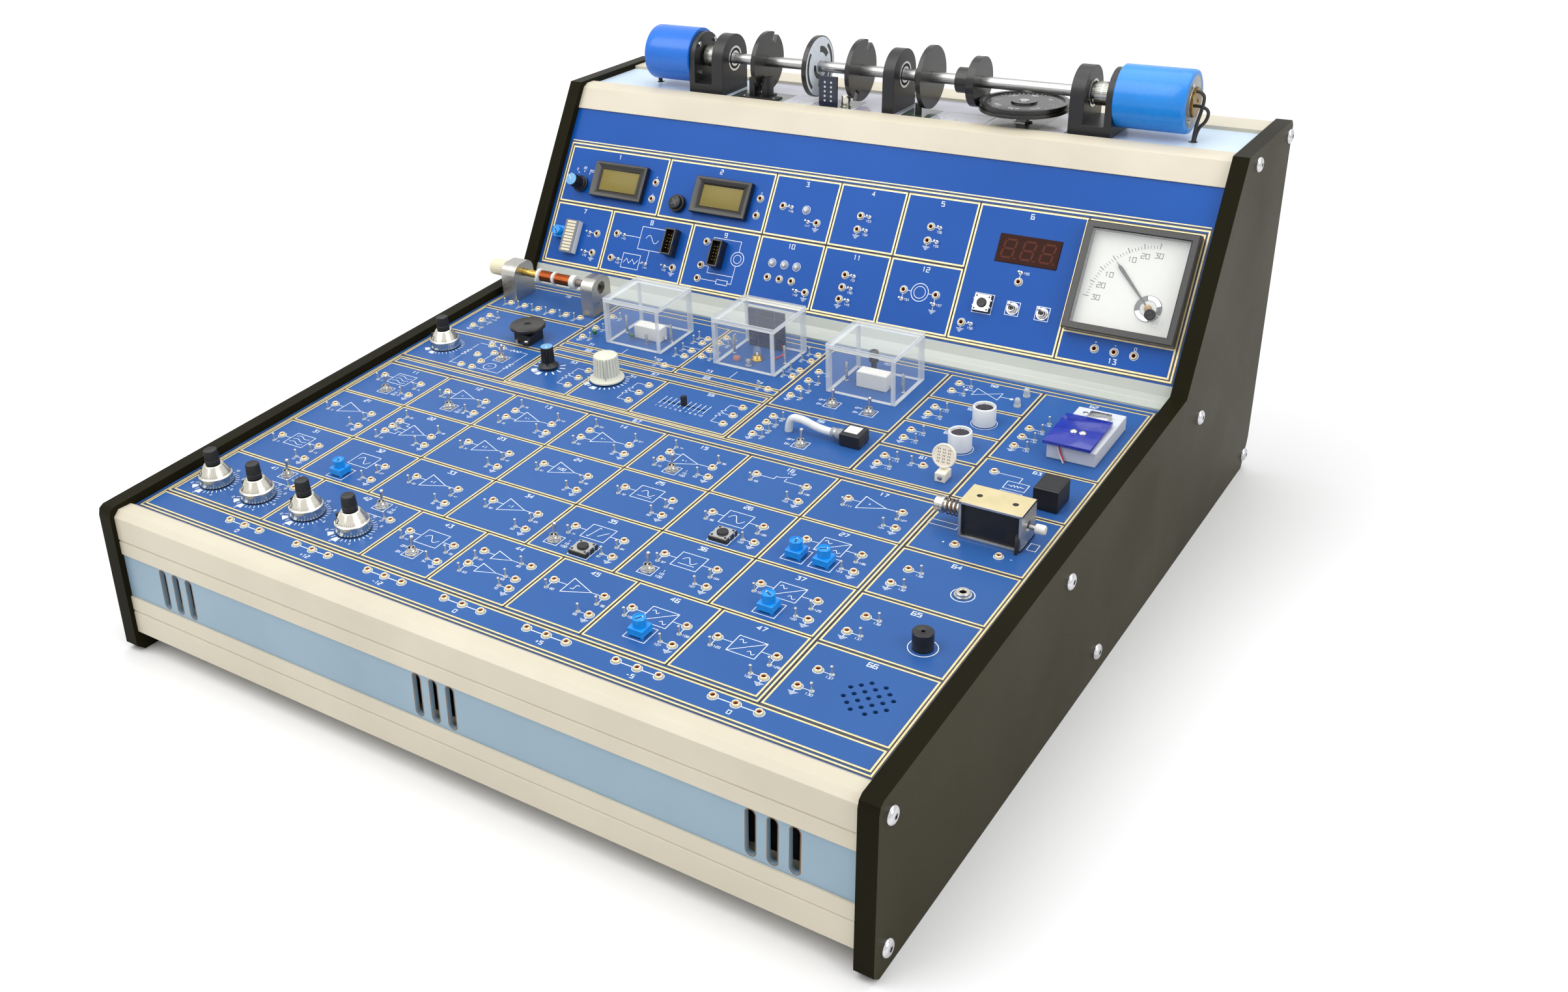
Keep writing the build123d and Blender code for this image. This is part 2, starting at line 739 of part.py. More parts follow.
# Top deck: flat sheet under the shaft line, with holes for the servo bushing and the motor leads
lead_holes = ((-206.2, 545.6), (218.0, 539.7))
lead_hole_radius = 3.0
with BuildPart() as top_deck:
    with BuildSketch(deck):
        with Locations((0, (deck_front_y + deck_back_y) / 2)):
            Rectangle(inner_width, deck_back_y - deck_front_y)
        with Locations((servo_x, shaft_y)):
            Circle(pot_bushing_radius + fit, mode=Mode.SUBTRACT)
        with Locations(*lead_holes):
            Circle(lead_hole_radius, mode=Mode.SUBTRACT)
    extrude(amount=-deck_thickness)
    screw_pockets()
write(top_deck.part, "top_deck")

# Chassis tray: base sheet and rear sheet in one bend, with the inlet cut-out and rear vents
inlet_spot = (-190.0, 60.0)
inlet_size = (27.5, 31.0)
rear_outer = case_depth - rail_setback - wall
tray_bottom = 7.0
tray_top = deck_top - deck_thickness - wall
rear_vent_pitch = 11.8
rear_vent_count = 16
rear_vent = (40.0, 4.0)
rear_vent_z = 180.0
tray_front = rail_setback + 12.0 + fit
flange_height = 18.0
with BuildPart() as chassis_tray:
    with BuildSketch(case_section(-inner_width / 2)):
        with BuildLine():
            Polyline((tray_front, tray_bottom), (rear_outer, tray_bottom),
                     (rear_outer, tray_top), (rear_outer - sheet, tray_top),
                     (rear_outer - sheet, tray_bottom + sheet), (tray_front + sheet, tray_bottom + sheet),
                     (tray_front + sheet, tray_bottom + flange_height),
                     (tray_front, tray_bottom + flange_height),
                     close=True)
        make_face()
    extrude(amount=inner_width)
    for side in (-1, 1):
        with BuildSketch(case_section(side * inner_width / 2)):
            with Locations(((tray_front + rear_outer) / 2, tray_bottom + flange_height / 2)):
                Rectangle(rear_outer - tray_front, flange_height)
        extrude(amount=-side * sheet)
    screw_pockets()
    rear_face = Plane(origin=(0, front_y + rear_outer, 0), x_dir=(-1, 0, 0), z_dir=(0, 1, 0))
    with BuildSketch(rear_face):
        with Locations((-inlet_spot[0], inlet_spot[1])):
            Rectangle(*inlet_size)
        for k in range(rear_vent_count):
            with Locations(((k - (rear_vent_count - 1) / 2) * rear_vent_pitch, rear_vent_z)):
                SlotOverall(*rear_vent, rotation=90)
    extrude(amount=-sheet, mode=Mode.SUBTRACT)
write(chassis_tray.part, "chassis_tray")

# Power supply on the base sheet, and the mains inlet in the rear sheet
supply_size = (160.0, 98.0, 42.0)
supply_spot = (-150.0, 500.0)
supply_vent = (60.0, 4.0)
supply_vent_pitch = 12.0
supply_vent_count = 11
supply_vent_depth = 3.0
inlet_body_depth = 24.0
inlet_flange = 5.0
inlet_cavity = (22.5, 16.0, 16.0)
inlet_rise = 4.0
inlet_contacts = (-7.0, 0.0, 7.0)
inlet_contact = (2.0, 4.0, 9.0)
with BuildPart() as power_supply:
    floor_plane = Plane(origin=(0, front_y, tray_bottom + sheet), x_dir=(1, 0, 0), z_dir=(0, 0, 1))
    with BuildSketch(floor_plane):
        with Locations(supply_spot):
            Rectangle(supply_size[0], supply_size[1])
    extrude(amount=supply_size[2])
    with BuildSketch(floor_plane.offset(supply_size[2])):
        with Locations(supply_spot):
            with GridLocations(supply_vent_pitch, supply_size[1], supply_vent_count, 1):
                SlotOverall(*supply_vent, rotation=90)
    extrude(amount=-supply_vent_depth, mode=Mode.SUBTRACT)
    inlet_face = Plane(origin=(0, front_y + rear_outer, 0), x_dir=(-1, 0, 0), z_dir=(0, 1, 0))
    with BuildSketch(inlet_face):
        with Locations((-inlet_spot[0], inlet_spot[1])):
            Rectangle(inlet_size[0] - 2 * fit, inlet_size[1] - 2 * fit)
    extrude(amount=-inlet_body_depth)
    with BuildSketch(inlet_face):
        with Locations((-inlet_spot[0], inlet_spot[1])):
            Rectangle(inlet_size[0] + inlet_flange, inlet_size[1] + inlet_flange)
    extrude(amount=wall)
    with BuildSketch(inlet_face.offset(wall)):
        with Locations((-inlet_spot[0], inlet_spot[1] + inlet_rise)):
            Rectangle(inlet_cavity[0], inlet_cavity[1])
    extrude(amount=-inlet_cavity[2], mode=Mode.SUBTRACT)
    for contact in inlet_contacts:
        with BuildSketch(inlet_face.offset(wall - inlet_cavity[2])):
            with Locations((-inlet_spot[0] + contact, inlet_spot[1] + inlet_rise)):
                Rectangle(inlet_contact[0], inlet_contact[1])
        extrude(amount=inlet_contact[2])
write(power_supply.part, "power_supply")

# Sockets and test pins: one turned brass socket and one wire pin, repeated on both panels
with BuildPart() as sockets_and_pins:
    for panel, sockets, pins in ((lower, lower_sockets, lower_pins), (upper, upper_sockets, upper_pins)):
        with BuildSketch(panel):
            with Locations(*sockets):
                Circle(socket_radius)
        extrude(amount=socket_height)
        with BuildSketch(panel):
            with Locations(*sockets):
                Circle(socket_stem_radius)
        extrude(amount=-socket_stem_length)
        with BuildSketch(panel.offset(socket_height)):
            with Locations(*sockets):
                Circle(socket_bore)
        extrude(amount=-socket_depth, mode=Mode.SUBTRACT)
        with BuildSketch(panel):
            with Locations(*pins):
                Circle(pin_base_radius)
        extrude(amount=pin_base_height)
        with BuildSketch(panel.offset(-pin_tail)):
            with Locations(*pins):
                Circle(pin_radius)
        extrude(amount=pin_height + pin_tail)
write(sockets_and_pins.part, "sockets_and_pins")

# Fixed bodies of the switches, buttons, dials and trimmers
with BuildPart() as control_bodies:
    for panel, toggles in ((lower, lower_toggles), (upper, upper_toggles)):
        back = panel.offset(-board_thickness)
        with BuildSketch(back):
            with Locations(*toggles):
                Rectangle(toggle_body[0], toggle_body[1])
        extrude(amount=-toggle_body[2])
        with BuildSketch(back):
            with Locations(*toggles):
                Circle(bushing_radius)
        extrude(amount=bushing_height + board_thickness)
        with BuildSketch(panel):
            with Locations(*toggles):
                RegularPolygon(nut_flats / 2, 6, major_radius=False)
        extrude(amount=nut_height)
        with BuildSketch(panel.offset(bushing_height)):
            with Locations(*toggles):
                Circle(bushing_bore)
        extrude(amount=-bushing_height - 0.6, mode=Mode.SUBTRACT)
    with BuildSketch(lower.offset(-board_thickness)):
        with Locations(*dial_spots.values()):
            Circle(pot_body_radius)
    extrude(amount=-pot_body_height)
    with BuildSketch(lower.offset(-board_thickness)):
        with Locations(*dial_spots.values()):
            Circle(pot_bushing_radius)
    extrude(amount=board_thickness)
    with BuildSketch(lower):
        with Locations(*dial_spots.values()):
            Circle(dial_base_radius)
    extrude(amount=dial_base_height)
    for x, s in dial_spots.values():
        with BuildSketch(spot(lower, x, s, dial_base_height)):
            Circle(dial_base_radius - dial_shoulder)
        with BuildSketch(spot(lower, x, s, dial_body_height)):
            Circle(dial_cone_radius)
        loft()
    with BuildSketch(lower.offset(brake_height)):
        with Locations(*[(x - dial_base_radius, s) for x, s in dial_spots.values()]):
            Rectangle(brake_size[0], brake_size[1])
    extrude(amount=brake_size[2])
    with BuildSketch(lower.offset(dial_body_height)):
        with Locations(*dial_spots.values()):
            Circle(dial_shaft_radius + fit)
    extrude(amount=-dial_body_height - board_thickness - pot_bore_depth, mode=Mode.SUBTRACT)
    for panel in (lower, upper):
        tacts = [(x, s) for where, x, s in button_spots.values() if where is panel]
        trimmers = [(x, s) for where, x, s in trimmer_spots if where is panel]
        with BuildSketch(panel):
            with Locations(*tacts):
                Rectangle(tact_size, tact_size)
        extrude(amount=tact_height)
        with BuildSketch(panel.offset(tact_height)):
            with Locations(*tacts):
                Circle(button_radius + fit)
        extrude(amount=-tact_height + tact_floor, mode=Mode.SUBTRACT)
        with BuildSketch(panel):
            with Locations(*trimmers):
                Rectangle(trimmer_size, trimmer_size)
        extrude(amount=trimmer_body_height)
        with BuildSketch(panel.offset(trimmer_body_height)):
            with Locations(*trimmers):
                Circle(trimmer_knob_radius)
        extrude(amount=trimmer_total_height - trimmer_body_height)
        with BuildSketch(panel.offset(trimmer_total_height)):
            with Locations(*trimmers):
                Rectangle(trimmer_slot[0], trimmer_slot[1])
        extrude(amount=-trimmer_slot[2], mode=Mode.SUBTRACT)
    pots = [(lower, *carbon_spot, small_pot_radius), (lower, *wound_spot, small_pot_radius),
            (lower, *capacitor_spot, small_pot_radius), (upper, *range_spot, small_pot_radius)]
    for panel, x, s, radius in pots:
        with BuildSketch(spot(panel, x, s, -board_thickness)):
            Circle(radius)
        extrude(amount=-small_pot_height)
        with BuildSketch(spot(panel, x, s, -board_thickness)):
            Circle(small_bushing_radius)
        extrude(amount=board_thickness + small_bushing_height)
        with BuildSketch(spot(panel, x, s, small_bushing_height)):
            Circle(knob_shaft_radius + fit)
        extrude(amount=-board_thickness - small_bore_depth, mode=Mode.SUBTRACT)
    with BuildSketch(spot(lower, *capacitor_spot)):
        Rectangle(capacitor_body[0], capacitor_body[1])
    extrude(amount=capacitor_body[2])
    with BuildSketch(spot(lower, *capacitor_spot, capacitor_body[2])):
        Circle(knob_shaft_radius + fit)
    extrude(amount=-capacitor_body[2] - board_thickness - small_bore_depth, mode=Mode.SUBTRACT)
    with BuildSketch(spot(lower, *slide_centre, -board_thickness)):
        Rectangle(slide_body[0], slide_body[1])
    extrude(amount=-slide_body[2])
    with BuildSketch(spot(lower, *slide_centre, -board_thickness)):
        Rectangle(*slide_slot)
    extrude(amount=-slide_body[2] + slide_floor, mode=Mode.SUBTRACT)
write(control_bodies.part, "control_bodies")


# Toggle levers: ball and cross pin in the bushing, tapering stem and rounded tip, leaning back
def toggle_lever(panel, x, s, label):
    lean = radians(lever_lean)
    pivot = panel.from_local_coords((x, s, lever_pivot_height))
    along = panel.z_dir * cos(lean) + panel.y_dir * sin(lean)
    with BuildPart(Plane(origin=pivot, x_dir=panel.x_dir, z_dir=along)) as lever:
        Sphere(lever_ball_radius)
        Cylinder(lever_pin_radius, 2 * lever_pin_reach, rotation=(0, 90, 0))
        with Locations((0, 0, lever_length / 2)):
            Cone(lever_root_radius, lever_tip_radius, lever_length)
        with Locations((0, 0, lever_length)):
            Sphere(lever_tip_radius)
    write(lever.part, label)


for label, (panel, x, s) in toggle_spots.items():
    toggle_lever(panel, x, s, label)


# Ten-turn dials: black fluted knob with its shaft down the chrome body
def ten_turn_dial(x, s, label):
    with BuildPart() as dial:
        with BuildSketch(spot(lower, x, s, dial_body_height + seat_gap)):
            Circle(dial_knob_radius)
        extrude(amount=dial_total_height - dial_body_height - seat_gap)
        fillet(dial.edges().filter_by(GeomType.CIRCLE).sort_by(Axis.Z)[-1], dial_shoulder)
        with BuildSketch(spot(lower, x, s, dial_total_height)):
            with PolarLocations(dial_knob_radius, dial_flutes):
                Circle(dial_flute_radius)
        extrude(amount=-dial_flute_length, mode=Mode.SUBTRACT)
        with BuildSketch(spot(lower, x, s, dial_body_height + seat_gap)):
            Circle(dial_shaft_radius)
        extrude(amount=-dial_body_height - board_thickness - pot_shaft_depth)
    write(dial.part, label)


for label, (x, s) in dial_spots.items():
    ten_turn_dial(x, s, label)


# Push buttons: round caps that sink into their square bodies
def push_button(panel, x, s, label):
    with BuildPart() as button:
        floor = tact_floor + button_travel + 2 * fit
        with BuildSketch(spot(panel, x, s, floor)):
            Circle(button_radius)
        extrude(amount=button_height - floor)
        fillet(button.edges().filter_by(GeomType.CIRCLE).group_by(SortBy.DISTANCE)[-1], seat_gap)
    write(button.part, label)


for label, (panel, x, s) in button_spots.items():
    push_button(panel, x, s, label)


# Knobs: flared base, ribbed barrel and a pointer ridge
knob_seat = small_bushing_height + seat_gap


def fluted_knob(panel, x, s, label, base_radius, barrel_radius, height, ribs, base_height, pointer):
    ridge = Location((barrel_radius * cos(radians(pointer)), barrel_radius * sin(radians(pointer))), pointer)
    with BuildPart() as knob:
        with BuildSketch(spot(panel, x, s, knob_seat)):
            Circle(base_radius)
        extrude(amount=base_height)
        with BuildSketch(spot(panel, x, s, knob_seat + base_height)):
            Circle(base_radius - knob_ridge / 2)
        with BuildSketch(spot(panel, x, s, knob_seat + 2 * base_height)):
            Circle(barrel_radius)
        loft()
        with BuildSketch(spot(panel, x, s, knob_seat + 2 * base_height)):
            Circle(barrel_radius)
            with PolarLocations(barrel_radius, ribs):
                Circle(knob_rib_radius, mode=Mode.SUBTRACT)
            with Locations(ridge):
                Rectangle(knob_ridge, knob_ridge)
        extrude(amount=height - knob_seat - 2 * base_height)
        with BuildSketch(spot(panel, x, s, knob_seat)):
            Circle(knob_shaft_radius)
        extrude(amount=-board_thickness - small_shaft_depth)
    write(knob.part, label)


fluted_knob(lower, *carbon_spot, "carbon_track_knob", carbon_base_radius, carbon_knob_radius,
            carbon_height, small_knob_ribs, small_knob_base, track_pointer)
fluted_knob(lower, *wound_spot, "wound_track_knob", wound_base_radius, wound_knob_radius,
            wound_height, wound_knob_ribs, wound_knob_base, track_pointer)
fluted_knob(upper, *range_spot, "range_knob", range_base_radius, range_knob_radius,
            range_height, small_knob_ribs, small_knob_base, range_pointer)

# Variable capacitor: broad black disc on a stem, over its body on the panel
with BuildPart() as capacitor_disc:
    with BuildSketch(spot(lower, *capacitor_spot, capacitor_top - capacitor_thickness)):
        Circle(capacitor_radius)
    extrude(amount=capacitor_thickness)
    fillet(capacitor_disc.edges().filter_by(GeomType.CIRCLE), capacitor_edge)
    with BuildSketch(spot(lower, *capacitor_spot, capacitor_top)):
        Circle(capacitor_dimple[0])
    extrude(amount=-capacitor_dimple[1], mode=Mode.SUBTRACT)
    with BuildSketch(spot(lower, *capacitor_spot, capacitor_top - capacitor_thickness)):
        Circle(knob_shaft_radius)
    extrude(amount=-capacitor_top + capacitor_thickness - board_thickness - capacitor_shaft_depth)
write(capacitor_disc.part, "capacitor_disc")

# Slide potentiometer lever
with BuildPart() as slide_knob:
    with BuildSketch(spot(lower, *slide_centre, -board_thickness - slide_stem_depth)):
        Rectangle(slide_stem[0], slide_stem[1])
    extrude(amount=board_thickness + slide_stem_depth + seat_gap)
    with BuildSketch(spot(lower, *slide_centre, seat_gap)):
        Rectangle(slide_lever[0], slide_lever[1])
    extrude(amount=slide_lever[2] - seat_gap)
    chamfer(slide_knob.edges().filter_by(Axis.X).group_by(Axis.Z)[-1], slide_lever_chamfer)
write(slide_knob.part, "slide_lever")


# Clear covers: five-sided boxes standing open side down on the lower panel
def clear_cover(label, left, right, front, back):
    centre = ((left + right) / 2, (front + back) / 2)
    with BuildPart() as cover:
        with BuildSketch(lower):
            with Locations(centre):
                Rectangle(right - left, back - front)
        extrude(amount=cover_height)
        with BuildSketch(lower):
            with Locations(centre):
                Rectangle(right - left - 2 * cover_wall, back - front - 2 * cover_wall)
        extrude(amount=cover_height - cover_wall, mode=Mode.SUBTRACT)
    write(cover.part, label)


for label, edges in cover_edges.items():
    clear_cover(label, *edges)


# Helix as a chain of arcs: each half turn is two arcs that share their tangent
def helix_path(origin, radius, pitch, turns):
    rise = pitch / (2 * pi)
    length = hypot(radius, rise)

    def point(angle):
        return origin + Vector(rise * angle, radius * cos(angle), radius * sin(angle))

    def heading(angle):
        return Vector(rise, -radius * sin(angle), radius * cos(angle)) / length

    for half in range(int(2 * turns)):
        a, b = half * pi, (half + 1) * pi
        p, q, u, v = point(a), point(b), heading(a), heading(b)
        chord = q - p
        spread = 2 * (1 - u.dot(v))
        reach = (-chord.dot(u + v) + sqrt(chord.dot(u + v) ** 2 + 2 * spread * chord.dot(chord) / 2)) / spread
        joint = (p + q + (u - v) * reach) / 2
        TangentArc(p, joint, tangent=u)
        TangentArc(joint, q, tangent=((q - v * reach) - (p + u * reach)).normalized())


def coil_gap(pitch, wire):
    return pitch - 2 * wire


# Linear transformer: two blocks, the stepped tube between them and two copper windings on it
lvdt_axis = Plane(origin=lower.from_local_coords((0, lvdt_s, lvdt_h)), x_dir=lower.y_dir, z_dir=(1, 0, 0))
with BuildPart() as lvdt_frame:
    for block_ends, bore in ((lvdt_left_block, lvdt_sleeve_radius + fit),
                             (lvdt_right_block, lvdt_right_bore)):
        left, right = block_ends
        with BuildSketch(panel_section(lower, left)):
            with Locations((lvdt_s, lvdt_block_height / 2)):
                Rectangle(lvdt_block_depth, lvdt_block_height)
        extrude(amount=right - left)
        with BuildSketch(lvdt_axis.offset(left)):
            Circle(bore)
        extrude(amount=right - left, mode=Mode.SUBTRACT)
    crests = lvdt_frame.edges().filter_by(Axis.X).group_by(Axis.Z)
    fillet(crests[-1] + crests[-2], lvdt_block_corner)
    with BuildSketch(lvdt_axis.offset(lvdt_left_block[0])):
        Circle(lvdt_sleeve_radius)
    extrude(amount=lvdt_right_block[1] - lvdt_left_block[0] - lvdt_tube_inset)
    with BuildSketch(lvdt_axis.offset(lvdt_former[0])):
        Circle(lvdt_former_radius)
    extrude(amount=lvdt_former[1] - lvdt_former[0])
    with BuildSketch(lvdt_axis.offset(lvdt_left_block[0])):
        Circle(lvdt_rod_radius + fit)
    extrude(amount=lvdt_right_block[1] - lvdt_left_block[0], mode=Mode.SUBTRACT)
    # Copper windings, each one wire wound round the tube as a single helix
    winding_radius = lvdt_former_radius + winding_wire + fit
    for start, turns in zip(winding_starts, winding_turns):
        with BuildLine() as path:
            centre = lower.from_local_coords((start, lvdt_s, lvdt_h))
            helix_path(centre, winding_radius, winding_pitch, turns)
        with BuildSketch(Plane(origin=path.line @ 0, z_dir=path.line % 0)):
            Circle(winding_wire)
        sweep()
        print("winding: wire radius", winding_wire, "turn radius", round(winding_radius, 2),
              "gap between turns", round(coil_gap(winding_pitch, winding_wire), 2))
write(lvdt_frame.part, "lvdt_frame")

# Moving core of the transformer: knurled knob and the thin rod that runs inside the tube
with BuildPart() as lvdt_core:
    with BuildSketch(lvdt_axis.offset(lvdt_knob[0])):
        Circle(lvdt_knob_radius)
        with PolarLocations(lvdt_knob_radius, lvdt_knurls):
            Circle(lvdt_knurl_radius, mode=Mode.SUBTRACT)
    extrude(amount=lvdt_knob[1] - lvdt_knob[0])
    with BuildSketch(lvdt_axis.offset(lvdt_knob[0])):
        Circle(lvdt_rod_radius)
    extrude(amount=lvdt_rod_end - lvdt_knob[0])
write(lvdt_core.part, "lvdt_core")

# Solenoid: folded steel frame, wound coil in black tape and a rubber stop at the right
solenoid_h = solenoid_height / 2
solenoid_s = solenoid_front + solenoid_depth / 2
solenoid_middle = (solenoid_x[0] + solenoid_x[1]) / 2
solenoid_axis = Plane(origin=lower.from_local_coords((0, solenoid_s, solenoid_h)),
                      x_dir=lower.y_dir, z_dir=(1, 0, 0))
with BuildPart() as solenoid_body:
    with BuildSketch(spot(lower, solenoid_middle, solenoid_s)):
        Rectangle(solenoid_x[1] - solenoid_x[0], solenoid_depth)
    extrude(amount=solenoid_height)
    with BuildSketch(Plane(origin=lower.from_local_coords((solenoid_middle, solenoid_front, solenoid_h)),
                           x_dir=(1, 0, 0), z_dir=-lower.y_dir)):
        Rectangle(solenoid_x[1] - solenoid_x[0] - 2 * solenoid_wall, solenoid_height - 2 * solenoid_wall)
    extrude(amount=-solenoid_depth, mode=Mode.SUBTRACT)
    with BuildSketch(solenoid_axis.offset(solenoid_x[0] + solenoid_wall)):
        Circle(coil_radius)
    extrude(amount=solenoid_x[1] - solenoid_x[0] - 2 * solenoid_wall)
    with BuildSketch(solenoid_axis.offset(solenoid_x[0])):
        Circle(plunger_radius + fit)
    extrude(amount=solenoid_x[1] - solenoid_x[0], mode=Mode.SUBTRACT)
write(solenoid_body.part, "solenoid_body")

with BuildPart() as solenoid_plunger:
    head_left = plunger_head_x - plunger_head_length
    cap_left = solenoid_x[1] + plunger_cap_gap
    with BuildSketch(solenoid_axis.offset(head_left)):
        Circle(plunger_head_radius)
    extrude(amount=plunger_collar)
    with BuildSketch(solenoid_axis.offset(head_left)):
        Circle(plunger_radius)
    extrude(amount=solenoid_x[1] - plunger_inset - head_left)
    with BuildSketch(solenoid_axis.offset(head_left)):
        Circle(plunger_rod_radius)
    extrude(amount=cap_left + plunger_inset - head_left)
    with BuildSketch(solenoid_axis.offset(cap_left)):
        Circle(plunger_cap_radius)
    extrude(amount=plunger_cap_length)
    with BuildSketch(solenoid_axis.offset(head_left)):
        Circle(plunger_tip[0])
    extrude(amount=-plunger_tip[1])
write(solenoid_plunger.part, "solenoid_plunger")

# Return spring round the plunger, one wire with flat space at both ends
spring_left = head_left + plunger_collar + spring_wire + fit
spring_pitch = (solenoid_x[0] - spring_left - 2 * spring_wire) / spring_turns
with BuildPart() as solenoid_spring:
    with BuildLine() as path:
        helix_path(lower.from_local_coords((spring_left, solenoid_s, solenoid_h)), spring_radius,
                   spring_pitch, spring_turns)
    with BuildSketch(Plane(origin=path.line @ 0, z_dir=path.line % 0)):
        Circle(spring_wire)
    sweep()
print("spring: wire radius", spring_wire, "turn radius", spring_radius,
      "gap between turns", round(coil_gap(spring_pitch, spring_wire), 2))
write(solenoid_spring.part, "solenoid_spring")

# Shaft line: main shaft with couplings, stub shafts of the motor and the generator
shaft_axis = Plane(origin=(0, front_y + shaft_y, shaft_z), x_dir=(0, 1, 0), z_dir=(1, 0, 0))
stub_depth = 8.0


def shaft_cylinder(start, end, radius, mode=Mode.ADD):
    with BuildSketch(shaft_axis.offset(start)) as profile:
        Circle(radius)
    extrude(profile.sketch, amount=end - start, mode=mode)


with BuildPart() as drive_shaft:
    shaft_cylinder(coupling_x[0][0], coupling_x[1][1], shaft_radius)
    for left, right in coupling_x:
        shaft_cylinder(left, right, coupling_radius)
    shaft_cylinder(motor_ends[1] - stub_depth, coupling_x[0][0], stub_radius)
    shaft_cylinder(coupling_x[1][1], tacho_ends[0] + stub_depth, stub_radius)
write(drive_shaft.part, "drive_shaft")

# Discs on the shaft: slotted, coded, notched and plain, and the friction roller at the right
notch_depth = 7.0
notch_width = 6.0
notch_angle = 60.0
with BuildPart() as shaft_discs:
    for name, face in disc_faces.items():
        shaft_cylinder(face - disc_thickness, face, disc_radius)
        shaft_cylinder(face - disc_thickness - disc_hub_length, face, disc_hub_radius)
    shaft_cylinder(roller_face - roller_thickness, roller_face, roller_radius)
    shaft_cylinder(roller_hub_left, roller_face, roller_hub_radius)
    first_hub = disc_faces["slotted"] - disc_thickness - disc_hub_length
    shaft_cylinder(first_hub, roller_face, shaft_radius + fit, Mode.SUBTRACT)
    for name in ("slotted", "notched"):
        with BuildSketch(shaft_axis.offset(disc_faces[name])):
            with PolarLocations(disc_radius, 2, start_angle=notch_angle):
                Rectangle(2 * notch_depth, notch_width)
        extrude(amount=-disc_thickness, mode=Mode.SUBTRACT)
write(shaft_discs.part, "shaft_discs")

# Horizontal servo disc: its grooved rim runs against the roller's flat face
servo_radius = servo_x - roller_face - 2 * fit
with BuildPart() as servo_disc:
    servo_plane = Plane(origin=(servo_x, front_y + shaft_y, servo_top), x_dir=(1, 0, 0), z_dir=(0, 0, 1))
    with BuildSketch(servo_plane):
        Circle(servo_radius)
    extrude(amount=-servo_thickness)
    with BuildSketch(servo_plane):
        Circle(servo_radius - servo_rim)
        Circle(servo_boss_radius, mode=Mode.SUBTRACT)
    extrude(amount=-servo_recess, mode=Mode.SUBTRACT)
    with BuildSketch(servo_plane.offset(-servo_groove[0])):
        Circle(servo_radius)
        Circle(servo_radius - servo_groove[2], mode=Mode.SUBTRACT)
    extrude(amount=-servo_groove[1], mode=Mode.SUBTRACT)
    with BuildSketch(servo_plane):
        Circle(knob_shaft_radius)
    extrude(amount=deck_top - deck_thickness - small_shaft_depth - servo_top)
write(servo_disc.part, "servo_disc")


# Shaft supports: two brackets, each with a plate for its machine and a bearing plate, and a bearing block
def arch_plate(left, right, bore):
    with BuildSketch(shaft_axis.offset(left)) as profile:
        Circle(bracket_half_width)
        with Locations((0, (deck_top - shaft_z) / 2)):
            Rectangle(2 * bracket_half_width, shaft_z - deck_top)
        Circle(bore, mode=Mode.SUBTRACT)
    extrude(profile.sketch, amount=right - left)


def bearing_ring(face, depth):
    """A shallow ring sunk in a plate's face, between the races of its bearing."""
    with BuildSketch(shaft_axis.offset(face)) as profile:
        Circle(bearing_radius - bearing_race)
        Circle(bearing_inner_radius, mode=Mode.SUBTRACT)
    extrude(profile.sketch, amount=depth, mode=Mode.SUBTRACT)


with BuildPart() as shaft_supports:
    bearing_bore = shaft_radius + fit
    stub_clearance = stub_radius + stub_gap
    for plate in (motor_plate_x, tacho_plate_x):
        arch_plate(*plate, stub_clearance)
    for plate in (left_bearing_x, block_x, right_bearing_x):
        arch_plate(*plate, bearing_bore)
        bearing_ring(plate[0], bearing_recess)
        bearing_ring(plate[1], -bearing_recess)
    for left, right in ((motor_plate_x[1], left_bearing_x[0]), (right_bearing_x[1], tacho_plate_x[0])):
        with BuildSketch(Plane(origin=((left + right) / 2, front_y + shaft_y, deck_top),
                               x_dir=(1, 0, 0), z_dir=(0, 0, 1))):
            Rectangle(right - left, 2 * bracket_half_width)
        extrude(amount=bracket_base_thickness)
write(shaft_supports.part, "shaft_supports")

# Motor and tachogenerator, each with a boss on its free end and two leads that go down into the deck
boss_radius = 10.0
boss_length = 2.0
lead_radius = 1.1
lead_spacing = 2.5
lead_bend = 3.3
lead_height = 3.0
lead_step = 5.0
lead_bulge = 6.5
lead_bulge_step = 1.5
lead_shift = 1.0
lead_drop = 9.0
lead_entry = 7.0
lead_depth = 10.0
machine_rim = 2.0


def machine_lead(end, outward, hole, side):
    """One lead: out of the boss, round and down through the hole in the deck."""
    x, y = hole[0], hole[1] + side * lead_spacing / 2
    y += front_y
    start_z = shaft_z + lead_height - side * lead_step
    face = end + outward * boss_length
    bulge = face + outward * (lead_bulge + side * lead_bulge_step)
    corners = [Vector(face - outward, y - 2 * lead_shift, start_z),
               Vector(bulge, y - 2 * lead_shift, start_z),
               Vector(bulge, y - lead_shift, start_z - lead_drop),
               Vector(x, y, deck_top + lead_entry), Vector(x, y, deck_top - lead_depth)]
    with BuildLine() as path:
        FilletPolyline(*corners, radius=lead_bend)
    with BuildSketch(Plane(origin=corners[0], z_dir=(outward, 0, 0))) as profile:
        Circle(lead_radius)
    sweep(profile.sketch, path=path.line)


